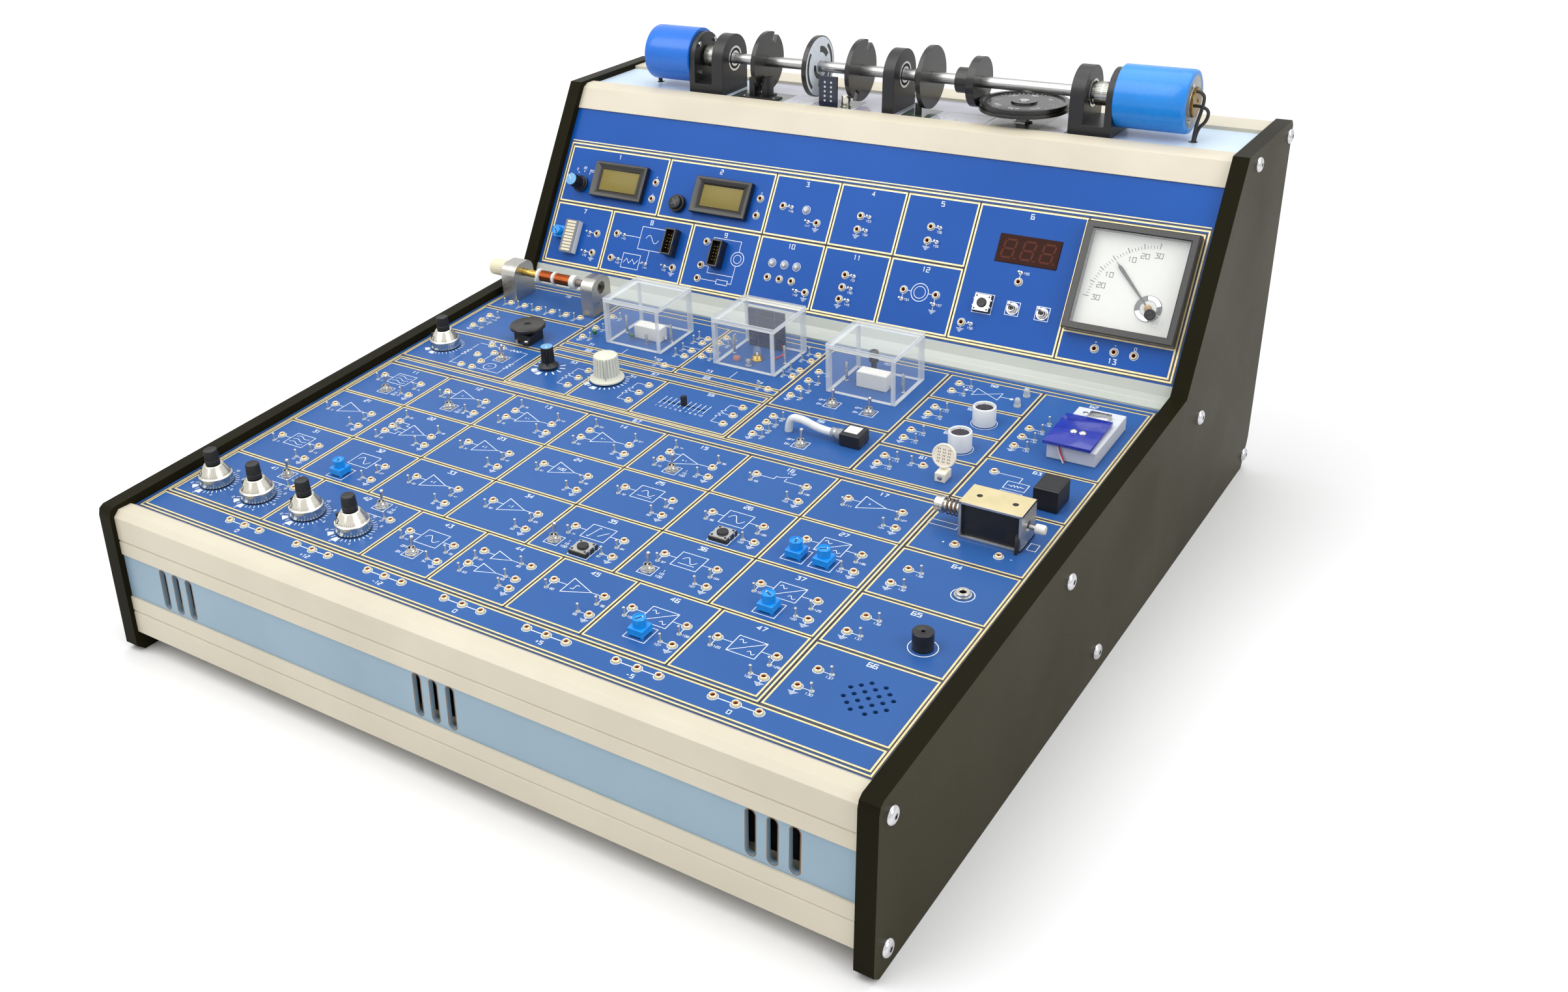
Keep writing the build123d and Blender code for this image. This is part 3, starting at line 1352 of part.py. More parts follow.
with BuildPart() as shaft_machines:
    shaft_cylinder(*motor_ends, motor_radius)
    shaft_cylinder(motor_ends[0] - boss_length, motor_ends[0], boss_radius)
    shaft_cylinder(*tacho_ends, motor_radius)
    shaft_cylinder(tacho_ends[1], tacho_ends[1] + boss_length, boss_radius)
    bore_depth = stub_depth + seat_gap
    shaft_cylinder(motor_ends[1] - bore_depth, motor_ends[1], stub_radius + fit, Mode.SUBTRACT)
    shaft_cylinder(tacho_ends[0], tacho_ends[0] + bore_depth, stub_radius + fit, Mode.SUBTRACT)
    for x in (motor_ends[0], tacho_ends[1]):
        rim = shaft_machines.edges().filter_by(GeomType.CIRCLE).filter_by_position(Axis.X, x - 0.01, x + 0.01)
        fillet(rim.sort_by(SortBy.LENGTH)[-1], machine_rim)
    for side in (-1, 1):
        machine_lead(motor_ends[0], -1, lead_holes[0], side)
        machine_lead(tacho_ends[1], 1, lead_holes[1], side)
write(shaft_machines.part, "shaft_machines")


# Blocks and posts that stand on a panel, h above it
def block(panel, x, s, width, depth, height, h=0.0):
    with BuildSketch(spot(panel, x, s, h)) as profile:
        Rectangle(width, depth)
    extrude(profile.sketch, amount=height)


def post(panel, x, s, radius, height, h=0.0, mode=Mode.ADD):
    with BuildSketch(spot(panel, x, s, h)) as profile:
        Circle(radius)
    extrude(profile.sketch, amount=height, mode=mode)


# Sensors on the deck: sensor board, slotted fork, reflective board, inductive, hall and servo bushing
sensor_board_x = (-128.0, 137.0)
sensor_board_y = (518.0, 575.0)
sensor_board_thickness = 1.0
fork_base = (32.0, 10.0, 2.0)
fork_base_spot = (-102.0, 527.0)
fork_arm = (5.0, 10.0, 16.0)
fork_gap = 6.0
fork_arm_y = 531.0
fork_foot_y = 536.0
reflective_x = -43.2
reflective_board = (15.0, 1.6, 23.0)
reflective_board_y = 525.0
reflective_foot = (6.0, 6.4, 3.0)
reflective_foot_y = 529.0
reflective_eye = (6.0, 5.0, 4.0)
reflective_eye_height = 18.0
probe_y = 530.0
probe_height = 9.0
inductive_probe = (-31.0, 4.0)
hall_probe = (27.0, 2.4)
with BuildPart() as deck_sensors:
    with BuildSketch(deck):
        with Locations((sum(sensor_board_x) / 2, sum(sensor_board_y) / 2)):
            Rectangle(sensor_board_x[1] - sensor_board_x[0], sensor_board_y[1] - sensor_board_y[0])
        with Locations((sum(block_x) / 2, shaft_y)):
            Rectangle(block_x[1] - block_x[0] + 2 * fit, 2 * bracket_half_width + 2 * fit, mode=Mode.SUBTRACT)
    extrude(amount=sensor_board_thickness)
    fork_centre = disc_faces["slotted"] - disc_thickness / 2
    block(deck, *fork_base_spot, *fork_base)
    for side in (-1, 1):
        arm_x = fork_centre + side * (fork_gap + fork_arm[0]) / 2
        block(deck, arm_x, fork_arm_y, *fork_arm)
        block(deck, arm_x, fork_foot_y, fork_arm[0], fork_arm[1], fork_base[2])
    block(deck, reflective_x, reflective_board_y, *reflective_board)
    block(deck, reflective_x, reflective_foot_y, *reflective_foot)
    eye = Plane(origin=(reflective_x, front_y + reflective_board_y + reflective_board[1] / 2,
                        deck_top + reflective_eye_height), x_dir=(1, 0, 0), z_dir=(0, 1, 0))
    with BuildSketch(eye):
        Rectangle(reflective_eye[0], reflective_eye[1])
    extrude(amount=reflective_eye[2])
    for x, radius in (inductive_probe, hall_probe):
        post(deck, x, probe_y, radius, probe_height)
    post(deck, servo_x, shaft_y, pot_bushing_radius, deck_thickness + servo_bushing_height, -deck_thickness)
    post(deck, servo_x, shaft_y, pot_body_radius, -servo_body_depth, -deck_thickness)
    with BuildSketch(spot(deck, servo_x, shaft_y)):
        RegularPolygon(servo_hex_radius, 6)
    extrude(amount=servo_hex_height)
    servo_bore = servo_bushing_height + deck_thickness + pot_bore_depth
    post(deck, servo_x, shaft_y, knob_shaft_radius + fit, -servo_bore, servo_bushing_height, Mode.SUBTRACT)
write(deck_sensors.part, "deck_sensors")

# Parts under the clear covers: heaters, sensors, lamp, solar cell and guide posts, as x, s and sizes
guide_radius = 1.0
guide_height = 14.0
guide_inset = 1.5
heaters = ((-99.0, 342.0, 22.0, 9.0, 10.6), (79.0, 342.5, 21.5, 9.0, 11.5))
thermistors = ((-109.9, 333.5, 2.2, 5.5), (-138.1, 326.5, 2.2, 5.5))
platinum_sensor = (-96.4, 332.8, 1.3, 7.4)
temperature_chip = (-105.0, 356.0, 4.5, 3.5, 5.1)
flow_sensor = (73.0, 354.0, 3.2, 20.5)
lamp_base = (-11.2, 344.0, 3.9, 4.0)
lamp_bulb = (-11.2, 344.0, 3.0, 10.5)
light_resistor = (-24.7, 338.8, 2.6, 2.2)
light_transistor = (-12.0, 333.5, 2.4, 5.6)
solar_cell = (-14.8, 364.4, 29.0, 1.8, 29.0)
with BuildPart() as box_sensors:
    for left, right, front, back in cover_edges.values():
        for x in (left + cover_wall + guide_inset, right - cover_wall - guide_inset):
            post(lower, x, (front + back) / 2 - guide_radius, guide_radius, guide_height)
    for spot_and_size in (*heaters, temperature_chip, solar_cell):
        block(lower, *spot_and_size)
    for spot_and_size in (*thermistors, platinum_sensor, flow_sensor, lamp_base, lamp_bulb, light_resistor,
                          light_transistor):
        post(lower, *spot_and_size)
write(box_sensors.part, "box_sensors")

# Sensors in the open: pressure sensor and its tube, ultrasonic pair, humidity disc, strain gauge,
# relay, valve lamps, microphone jack, buzzer and speaker
pressure_x = (96.0, 109.6)
pressure_s = 267.5
pressure_size = (13.6, 13.5, 8.6)
collar_s = 265.5
collar_h = 5.4
collar_radius = 3.6
collar_length = 7.5
tube_route = ((80.0, 265.6, 5.4), (68.0, 265.0, 10.0), (*tube_hole, 9.5), (*tube_hole, -4.0))
tube_bends = (9.0, 6.0, 4.0)
ultrasonic_spots = ((162.3, 327.0), (162.3, 290.5))
ultrasonic_size = (7.25, 12.5)
humidity_foot = (168.5, 252.5, 6.5, 9.0, 6.0)
humidity_leg = (168.3, 254.0, 3.0, 1.4, 5.0, 5.0)
humidity_spot = (168.3, 253.4, 15.0)
humidity_lean = 0.25
humidity_disc = (7.5, 1.4)
strain_base = (226.0, 330.5, 29.4, 53.2, 9.7)
strain_clamp = (228.0, 345.0, 13.0, 9.0, 3.0, 9.7)
strain_plate = (223.8, 320.5, 29.0, 39.0, 2.5, 10.6)
strain_spacer = (228.0, 337.0, 13.0, 3.0, 0.9, 9.7)
strain_screws = ((222.0, 318.0, 2.2, 1.6, 13.1), (227.5, 318.0, 2.2, 1.6, 13.1))
relay = (233.2, 254.3, 14.5, 18.5, 14.3)
valve_lamps = ((171.5, 373.3, 2.4, 6.0), (171.5, 357.8, 2.4, 6.0))
with BuildPart() as board_sensors:
    block(lower, sum(pressure_x) / 2, pressure_s, *pressure_size)
    collar_left = pressure_x[0] - collar_length
    with BuildSketch(panel_section(lower, collar_left)):
        with Locations((collar_s, collar_h)):
            Circle(collar_radius)
    extrude(amount=collar_length)
    with BuildLine() as path:
        tube_start = lower.from_local_coords((collar_left, collar_s, collar_h))
        FilletPolyline(tube_start, *[lower.from_local_coords(p) for p in tube_route], radius=tube_bends)
    with BuildSketch(Plane(origin=tube_start, z_dir=(-1, 0, 0))):
        Circle(tube_radius)
    sweep()
    for x, s in ultrasonic_spots:
        post(lower, x, s, *ultrasonic_size)
    block(lower, *humidity_foot)
    block(lower, *humidity_leg)
    disc_plane = Plane(origin=lower.from_local_coords(humidity_spot), x_dir=(1, 0, 0),
                       z_dir=-lower.y_dir * cos(humidity_lean) + lower.z_dir * sin(humidity_lean))
    with BuildSketch(disc_plane):
        Circle(humidity_disc[0])
    extrude(amount=-humidity_disc[1])
    for spot_and_size in (strain_base, strain_clamp, strain_plate, strain_spacer, relay):
        block(lower, *spot_and_size)
    for spot_and_size in (*strain_screws, *valve_lamps):
        post(lower, *spot_and_size)
    post(lower, *microphone_jack_spot, microphone_jack_radius, microphone_jack_height)
    post(lower, *microphone_jack_spot, microphone_jack_radius - microphone_jack_lip,
         -board_thickness - microphone_jack_depth)
    post(lower, *microphone_jack_spot, microphone_jack_bore, -microphone_jack_depth, microphone_jack_height,
         Mode.SUBTRACT)
    post(lower, *buzzer_spot, *buzzer_size)
    post(lower, *buzzer_spot, buzzer_hole[0], -buzzer_hole[1], buzzer_size[1], Mode.SUBTRACT)
    post(lower, *speaker_spot, speaker_radius, -speaker_depth, -board_thickness)
    post(lower, *speaker_spot, speaker_radius - speaker_wall, -speaker_cone_depth, -board_thickness,
         Mode.SUBTRACT)
write(board_sensors.part, "board_sensors")

# Instruments of the upper panel: two digital meters, bar display, digit window, headers, lamps, fuse body
lamp_spots = ((-29.9, 72.8), (-46.2, 30.5), (-36.1, 30.5), (-25.9, 30.5))
lamp_size = (2.4, 3.4)
with BuildPart() as panel_instruments:
    for centre in lcd_centres:
        inner = [size - lcd_lip - 2 * fit for size in lcd_size]
        block(upper, *centre, *lcd_size, lcd_height)
        block(upper, *centre, *inner, -lcd_body_depth)
        with BuildSketch(spot(upper, *centre, lcd_height)):
            Rectangle(*lcd_window)
        extrude(amount=-lcd_window_depth, mode=Mode.SUBTRACT)
    block(upper, *bargraph_centre, *bargraph_size)
    block(upper, *display_centre, *[size - 2 * fit for size in display_size], -display_depth, display_proud)
    for centre in header_centres:
        block(upper, *centre, *header_size)
        with BuildSketch(spot(upper, *centre, header_size[2])):
            Rectangle(header_size[0] - 2 * header_wall, header_size[1] - 2 * header_wall)
        extrude(amount=-header_size[2] + header_floor, mode=Mode.SUBTRACT)
        with BuildSketch(spot(upper, *centre, header_floor)):
            with GridLocations(header_pitch, header_pitch, 2, 5):
                Rectangle(header_pin[0], header_pin[0])
        extrude(amount=header_pin[1])
    for x, s in lamp_spots:
        post(upper, x, s, *lamp_size)
    with BuildSketch(spot(upper, *fuse_spot)):
        Circle(fuse_radius)
        Circle(fuse_cap_radius + fit, mode=Mode.SUBTRACT)
    extrude(amount=fuse_ring_height)
    with BuildSketch(spot(upper, *fuse_spot)):
        Circle(fuse_radius - fuse_wall)
        Circle(fuse_cap_radius + fit, mode=Mode.SUBTRACT)
    extrude(amount=-fuse_body_length)
    post(upper, *fuse_spot, fuse_radius - fuse_wall, -fuse_floor, -fuse_body_length)
    # Moving-coil meter: square case with a deep rim, dial floor and its movement behind the panel
    meter_body = meter_size - meter_lip - 2 * fit
    block(upper, *meter_centre, meter_size, meter_size, meter_depth)
    with BuildSketch(spot(upper, *meter_centre, meter_depth)):
        Rectangle(meter_size - 2 * meter_rim, meter_size - 2 * meter_rim)
    extrude(amount=-meter_depth + meter_floor, mode=Mode.SUBTRACT)
    block(upper, *meter_centre, meter_body, meter_body, -board_thickness - meter_body_depth)
    post(upper, *meter_pivot, spindle_radius + fit, -spindle_depth, meter_floor, Mode.SUBTRACT)
write(panel_instruments.part, "panel_instruments")

# Meter needle: spindle in the case, thin pointer to the zero at the middle of the scale
needle_angle = 135.0
needle_tail = 8.0
needle_way = Vector(cos(radians(needle_angle)), sin(radians(needle_angle)))
with BuildPart() as meter_needle:
    post(upper, *meter_pivot, spindle_radius, spindle_length, spindle_foot)
    with BuildSketch(spot(upper, *meter_pivot, needle_floor)):
        Circle(needle_hub_radius)
        with Locations(Location(needle_way * needle_length / 2, needle_angle)):
            Rectangle(needle_length, needle_widths[0])
        with Locations(Location(needle_way * -needle_tail / 2, needle_angle)):
            Rectangle(needle_tail, needle_widths[1])
    extrude(amount=needle_thickness)
write(meter_needle.part, "meter_needle")

# Fuse cap: round cap with a screwdriver slot, holding the fuse in its body
with BuildPart() as fuse_cap:
    post(upper, *fuse_spot, fuse_cap_radius, fuse_height)
    post(upper, *fuse_spot, fuse_stem_radius, -fuse_body_length + fuse_floor)
    with BuildSketch(spot(upper, *fuse_spot, fuse_height)):
        Rectangle(fuse_slot[0], fuse_slot[1])
    extrude(amount=-fuse_slot[2], mode=Mode.SUBTRACT)
write(fuse_cap.part, "fuse_cap")
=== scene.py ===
import json
from math import atan2, copysign, cos, hypot, pi, radians, sin

import bmesh
import bpy
from mathutils import Matrix, Vector

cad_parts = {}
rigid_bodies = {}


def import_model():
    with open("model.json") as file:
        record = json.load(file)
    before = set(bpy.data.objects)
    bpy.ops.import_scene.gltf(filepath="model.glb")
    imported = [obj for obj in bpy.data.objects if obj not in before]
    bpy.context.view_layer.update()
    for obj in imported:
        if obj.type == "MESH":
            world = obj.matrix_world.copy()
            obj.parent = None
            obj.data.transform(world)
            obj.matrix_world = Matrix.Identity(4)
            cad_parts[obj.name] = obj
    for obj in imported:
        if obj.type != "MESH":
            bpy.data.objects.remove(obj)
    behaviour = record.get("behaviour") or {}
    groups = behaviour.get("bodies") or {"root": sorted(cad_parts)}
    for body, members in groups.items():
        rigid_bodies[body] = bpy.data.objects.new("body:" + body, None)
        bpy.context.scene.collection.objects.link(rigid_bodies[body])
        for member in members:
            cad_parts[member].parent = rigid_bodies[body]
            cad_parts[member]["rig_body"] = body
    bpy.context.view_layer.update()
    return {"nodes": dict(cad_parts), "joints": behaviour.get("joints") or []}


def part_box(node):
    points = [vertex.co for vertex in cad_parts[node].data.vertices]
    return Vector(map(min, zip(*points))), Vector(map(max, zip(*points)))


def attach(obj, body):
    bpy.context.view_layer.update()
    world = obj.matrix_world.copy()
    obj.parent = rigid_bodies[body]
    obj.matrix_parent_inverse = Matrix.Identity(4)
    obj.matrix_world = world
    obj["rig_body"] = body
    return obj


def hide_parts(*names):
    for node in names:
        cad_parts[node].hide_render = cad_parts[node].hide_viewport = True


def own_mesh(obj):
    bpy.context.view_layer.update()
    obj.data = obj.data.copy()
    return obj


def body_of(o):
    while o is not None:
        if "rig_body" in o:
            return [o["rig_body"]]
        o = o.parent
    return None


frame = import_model()
mm = 0.001


# A screen colour as the linear colour that shaders take
def tone(color):
    return tuple(((v / 255 + 0.055) / 1.055) ** 2.4 if v > 10 else v / 255 / 12.92 for v in color)


# Camera
view = dict(location=(0.485513, -0.776457, 0.531508), turn=(64.728, 2.733, 35.414), lens=34.821,
            shift=(0.10927, -0.0469))
camera = bpy.data.objects.new("camera", bpy.data.cameras.new("camera"))
bpy.context.scene.collection.objects.link(camera)
camera.location = view["location"]
camera.rotation_euler = [radians(a) for a in view["turn"]]
camera.data.lens = view["lens"]
camera.data.shift_x, camera.data.shift_y = view["shift"]
bpy.context.scene.camera = camera
bpy.context.scene.view_settings.view_transform = "Standard"


# Node graphs: a socket that takes arithmetic, and a graph that makes nodes
class Wire:
    def __init__(self, graph, socket):
        self.graph = graph
        self.socket = socket

    def math(self, operation, *others):
        return self.graph.node("ShaderNodeMath", self, *others, operation=operation)

    def __add__(self, other):
        return self.math("ADD", other)

    def __sub__(self, other):
        return self.math("SUBTRACT", other)

    def __mul__(self, other):
        return self.math("MULTIPLY", other)

    def __rsub__(self, other):
        return self.graph.node("ShaderNodeMath", other, self, operation="SUBTRACT")

    __radd__ = __add__
    __rmul__ = __mul__


class Graph:
    def __init__(self, owner):
        self.owner = owner
        owner.use_nodes = True
        self.tree = owner.node_tree
        self.shader = self.tree.nodes.get("Principled BSDF") or self.tree.nodes["Background"]

    def put(self, socket, value):
        if isinstance(value, Wire):
            self.tree.links.new(value.socket, socket)
        else:
            socket.default_value = value

    def node(self, kind, *values, output=0, inputs=None, **settings):
        made = self.tree.nodes.new(kind)
        for key, value in settings.items():
            setattr(made, key, value)
        for index, value in enumerate(values):
            self.put(made.inputs[index], value)
        for key, value in (inputs or {}).items():
            self.put(made.inputs[key], value)
        return Wire(self, made.outputs[output])

    def place(self, stretch=(1, 1, 1)):
        coordinates = self.node("ShaderNodeTexCoord", output="Object")
        return self.node("ShaderNodeMapping", inputs={"Vector": coordinates, "Scale": stretch})

    def noise(self, scale, detail=3.0, stretch=(1, 1, 1)):
        return self.node("ShaderNodeTexNoise", output="Fac",
                         inputs={"Vector": self.place(stretch), "Scale": scale, "Detail": detail})

    def mix(self, factor, first, second):
        return self.node("ShaderNodeMix", output=2, data_type="RGBA",
                         inputs={0: factor, 6: (*first, 1) if isinstance(first, tuple) else first,
                                 7: (*second, 1) if isinstance(second, tuple) else second})

    def span(self, value, low, high):
        return self.node("ShaderNodeMapRange", value, 0.3, 0.7, low, high)


grainHeight = 0.0002


# A finish whose colour drifts in patches, with a fine grain in its roughness and bump
def finish(name, color, other=None, rough=0.5, roughSpan=0.08, metal=0.0, patch=14.0, grain=900.0, bump=0.06,
           stretch=(1, 1, 1), coat=0.0, coatRough=0.08, alpha=1.0, ior=1.46):
    graph = Graph(bpy.data.materials.new(name))
    color = tone(color)
    other = tone(other) if other else tuple(c * 0.82 for c in color)
    patches = graph.noise(patch, 4.0)
    grains = graph.noise(grain, 2.0, stretch)
    texture = graph.span(grains + patches * 0.5 - 0.25, rough - roughSpan, rough + roughSpan)
    bumps = graph.node("ShaderNodeBump", inputs={"Strength": bump, "Distance": grainHeight, "Height": grains})
    for socket, value in (("Base Color", graph.mix(graph.span(patches, 0.0, 1.0), color, other)),
                          ("Roughness", texture), ("Normal", bumps), ("Metallic", metal), ("Coat Weight", coat),
                          ("Coat Roughness", coatRough), ("IOR", ior), ("Alpha", alpha)):
        graph.put(graph.shader.inputs[socket], value)
    return graph.owner


finishes = {
    "floor": dict(color=(238.6, 238.6, 238.6), other=(236.15, 236.15, 236.15), rough=0.6, patch=2.0, bump=0.01),
    "side": dict(color=(48, 44, 22), other=(44, 40, 19), rough=0.4, patch=9.0, grain=1500.0, ior=1.12),
    # painted shade: a darker copy of the side finish for the inner faces and edges of the side panels
    "sidePaintedShade": dict(color=(30, 28, 15), other=(25, 23, 12), rough=0.36, patch=9.0, grain=1500.0, ior=1.1),
    "rail": dict(color=(206, 198, 178), other=(196, 188, 168), rough=0.42, stretch=(0.04, 1, 1), coat=0.1),
    "railCool": dict(color=(186, 190, 182), other=(176, 181, 174), rough=0.42, stretch=(0.04, 1, 1), coat=0.1),
    "strip": dict(color=(142, 166, 182), other=(134, 158, 175), rough=0.4, grain=2200.0),
    "deck": dict(color=(202, 220, 234), other=(194, 212, 228), rough=0.38, grain=2200.0),
    "board": dict(color=(44, 90, 154), other=(40, 84, 146), rough=0.36, patch=6.0, coat=0.04, coatRough=0.2,
                  ior=1.3),
    "boardUpper": dict(color=(12, 80, 164), other=(10, 74, 154), rough=0.36, patch=6.0, coat=0.02,
                       coatRough=0.2, ior=1.26),
    "gold": dict(color=(236, 220, 170), other=(222, 204, 146), rough=0.34, metal=0.25, patch=300.0),
    "lineGap": dict(color=(58, 60, 74), other=(44, 46, 60), rough=0.4, patch=300.0),
    "print": dict(color=(230, 236, 242), other=(214, 224, 234), rough=0.55, patch=400.0),
    "brass": dict(color=(250, 238, 204), other=(240, 222, 176), rough=0.3, metal=0.5, patch=240.0),
    "pinSilver": dict(color=(206, 206, 200), other=(188, 188, 182), rough=0.3, metal=0.7, patch=240.0),
    "brassWarm": dict(color=(224, 190, 104), other=(200, 162, 76), rough=0.26, metal=1.0, patch=240.0),
    "brassDark": dict(color=(150, 120, 66), other=(124, 98, 52), rough=0.3, metal=1.0, patch=240.0),
    "socketHeart": dict(color=(132, 48, 28), rough=0.6, patch=300.0),
    "chrome": dict(color=(214, 214, 216), other=(198, 198, 202), rough=0.12, roughSpan=0.05, metal=1.0,
                   bump=0.01),
    "chromeWarm": dict(color=(222, 218, 206), other=(206, 202, 190), rough=0.2, roughSpan=0.05, metal=1.0,
                       bump=0.02),
    "nickel": dict(color=(206, 204, 198), other=(186, 184, 178), rough=0.24, metal=1.0, bump=0.03),
    "steel": dict(color=(186, 186, 184), other=(168, 168, 166), rough=0.3, metal=1.0, stretch=(0.05, 1, 1)),
    "steelBright": dict(color=(210, 210, 208), other=(190, 190, 190), rough=0.24, metal=1.0, bump=0.02),
    "rearSheet": dict(color=(186, 188, 190), other=(178, 180, 183), rough=0.4, metal=0.3, patch=8.0),
    "zinc": dict(color=(176, 178, 180), other=(150, 152, 156), rough=0.42, metal=0.9, patch=60.0),
    "zincBright": dict(color=(206, 206, 204), other=(184, 184, 184), rough=0.34, metal=0.9, patch=60.0),
    "zincWarm": dict(color=(226, 212, 168), other=(210, 196, 152), rough=0.4, metal=0.6, patch=80.0),
    "goldPin": dict(color=(226, 190, 100), rough=0.24, metal=1.0),
    "alloy": dict(color=(198, 196, 190), other=(182, 180, 174), rough=0.34, metal=1.0, grain=700.0,
                  stretch=(1, 0.06, 1), bump=0.12),
    "olive": dict(color=(140, 138, 112), other=(120, 118, 94), rough=0.36, metal=0.7),
    "greyBrown": dict(color=(132, 124, 112), other=(112, 104, 94), rough=0.4, metal=0.4),
    "black": dict(color=(30, 30, 31), other=(24, 24, 25), rough=0.42, grain=2600.0, bump=0.1),
    "blackSheen": dict(color=(30, 27, 25), other=(24, 22, 20), rough=0.28, grain=2600.0, bump=0.03, coat=0.2),
    "blackSatin": dict(color=(34, 32, 30), other=(26, 25, 24), rough=0.34, grain=2600.0, bump=0.05),
    "blackRubber": dict(color=(34, 32, 31), rough=0.6, bump=0.15),
    "blackGloss": dict(color=(22, 22, 23), rough=0.18, coat=0.4, bump=0.01),
    "blackMetal": dict(color=(34, 34, 36), other=(26, 26, 28), rough=0.34, grain=1800.0, bump=0.1),
    "slotDark": dict(color=(16, 15, 15), rough=0.6),
    "needleBlack": dict(color=(20, 20, 22), rough=0.4),
    "ink": dict(color=(30, 30, 32), rough=0.5, patch=300.0),
    "paper": dict(color=(236, 236, 230), other=(228, 228, 222), rough=0.6),
    "grey": dict(color=(214, 214, 198), other=(202, 202, 186), rough=0.46),
    "bronze": dict(color=(126, 98, 70), other=(104, 80, 58), rough=0.36, metal=0.5),
    "greySoft": dict(color=(150, 152, 156), other=(136, 138, 142), rough=0.4),
    "barGrey": dict(color=(120, 122, 128), other=(106, 108, 114), rough=0.36),
    "skyCap": dict(color=(110, 170, 214), rough=0.4),
    "bluePlastic": dict(color=(34, 88, 178), other=(28, 74, 160), rough=0.36, coat=0.2),
    "trimBlue": dict(color=(10, 150, 236), other=(8, 136, 222), rough=0.34, coat=0.2),
    "blueDark": dict(color=(14, 40, 96), rough=0.4),
    "blueMetal": dict(color=(18, 136, 222), other=(14, 122, 208), rough=0.3, coat=0.2, patch=20.0),
    "blueMotor": dict(color=(10, 112, 212), other=(8, 98, 198), rough=0.3, coat=0.2, patch=20.0),
    "creamBright": dict(color=(244, 236, 218), other=(236, 227, 208), rough=0.5),
    "cream": dict(color=(226, 218, 190), other=(214, 204, 176), rough=0.5),
    "white": dict(color=(232, 232, 228), other=(220, 220, 216), rough=0.45),
    "ceramic": dict(color=(240, 238, 230), other=(230, 227, 217), rough=0.55, patch=80.0, bump=0.2),
    "lilac": dict(color=(232, 235, 236), other=(222, 225, 227), rough=0.4, metal=0.2),
    "mesh": dict(color=(58, 54, 60), other=(30, 28, 32), rough=0.5, patch=1400.0, bump=0.5),
    "meshWire": dict(color=(128, 122, 128), other=(104, 100, 106), rough=0.34, metal=0.8),
    "copper": dict(color=(184, 104, 58), other=(150, 78, 40), rough=0.3, metal=1.0),
    "tape": dict(color=(34, 33, 34), other=(26, 25, 26), rough=0.36, grain=1200.0, bump=0.25),
    "frosted": dict(color=(224, 227, 234), other=(214, 218, 226), rough=0.5, alpha=0.84),
    "clear": dict(color=(236, 242, 244), other=(226, 234, 238), rough=0.06, roughSpan=0.03, alpha=0.07,
                  coat=0.6, bump=0.005),
    "glass": dict(color=(236, 240, 240), rough=0.05, roughSpan=0.02, alpha=0.1, coat=0.8, bump=0.002),
    "milky": dict(color=(234, 238, 238), rough=0.35, alpha=0.66),
    "blueClear": dict(color=(38, 56, 176), other=(32, 48, 160), rough=0.14, alpha=0.8, coat=0.4),
    "tube": dict(color=(236, 240, 240), rough=0.3, alpha=0.82, coat=0.3),
    "lens": dict(color=(130, 116, 54), other=(122, 109, 50), rough=0.3, ior=1.3, bump=0.01),
    "lensLine": dict(color=(98, 90, 58), rough=0.3),
    "redWindow": dict(color=(58, 26, 16), other=(48, 20, 12), rough=0.24, ior=1.16),
    "redDim": dict(color=(92, 46, 34), rough=0.24, ior=1.16),
    "solderRed": dict(color=(148, 70, 56), rough=0.4),
    "lampClear": dict(color=(218, 222, 220), rough=0.08, roughSpan=0.03, alpha=0.55, coat=0.8),
    "green": dict(color=(44, 110, 66), rough=0.3, coat=0.5),
    "pink": dict(color=(196, 132, 120), rough=0.4),
    "boardLilac": dict(color=(178, 178, 192), other=(164, 165, 182), rough=0.2, patch=30.0, coat=0.5),
    "boardGreen": dict(color=(40, 66, 54), other=(32, 54, 44), rough=0.24, coat=0.5),
    "boardDark": dict(color=(28, 34, 58), other=(22, 27, 48), rough=0.3, coat=0.3),
    "solar": dict(color=(38, 44, 74), other=(30, 34, 58), rough=0.2, coat=0.5, patch=120.0),
    "solarLine": dict(color=(120, 126, 150), rough=0.3, metal=0.5),
    "redWire": dict(color=(196, 38, 34), rough=0.4),
    "pinkWire": dict(color=(206, 62, 96), rough=0.4),
    "whiteWire": dict(color=(228, 226, 220), rough=0.45),
    "rubber": dict(color=(60, 56, 52), rough=0.7, bump=0.2),
}
made = {name: finish(name, **settings) for name, settings in finishes.items()}

# The floor stays white to the horizon: seen by the camera, it glows more the farther it lies from the object
glowStart, glowEnd, glowColor = 0.7, 2.6, (0.55, 0.55, 0.55)
floorGraph = Graph(made["floor"])
spot = floorGraph.node("ShaderNodeTexCoord", output="Object")
distance = floorGraph.node("ShaderNodeVectorMath", spot, output="Value", operation="LENGTH")
seen = floorGraph.node("ShaderNodeLightPath", output="Is Camera Ray")
glow = floorGraph.node("ShaderNodeMapRange", distance, glowStart, glowEnd, 0.0, 1.0) * seen
floorGraph.put(floorGraph.shader.inputs["Emission Color"], floorGraph.mix(glow, (0.0, 0.0, 0.0), glowColor))
floorGraph.put(floorGraph.shader.inputs["Emission Strength"], 1.0)
print("finishes", len(made))


# Frames of the panels: sketch x across, y up the panel, z off it, in millimetres
def panelFrame(y, z, angle):
    turn = Matrix.Rotation(radians(angle), 4, "X")
    return Matrix.Translation((0, y * mm, z * mm)) @ turn @ Matrix.Scale(mm, 4)


lower = panelFrame(-282.0, 98.8, 3.0)
upper = panelFrame(127.4, 130.7, 59.3)
deck = panelFrame(-304.0, 255.0, 0.0)


def at(panel, x, s, h=0.0, turn=0.0):
    return panel @ Matrix.Translation((x, s, h)) @ Matrix.Rotation(radians(turn), 4, "Z")
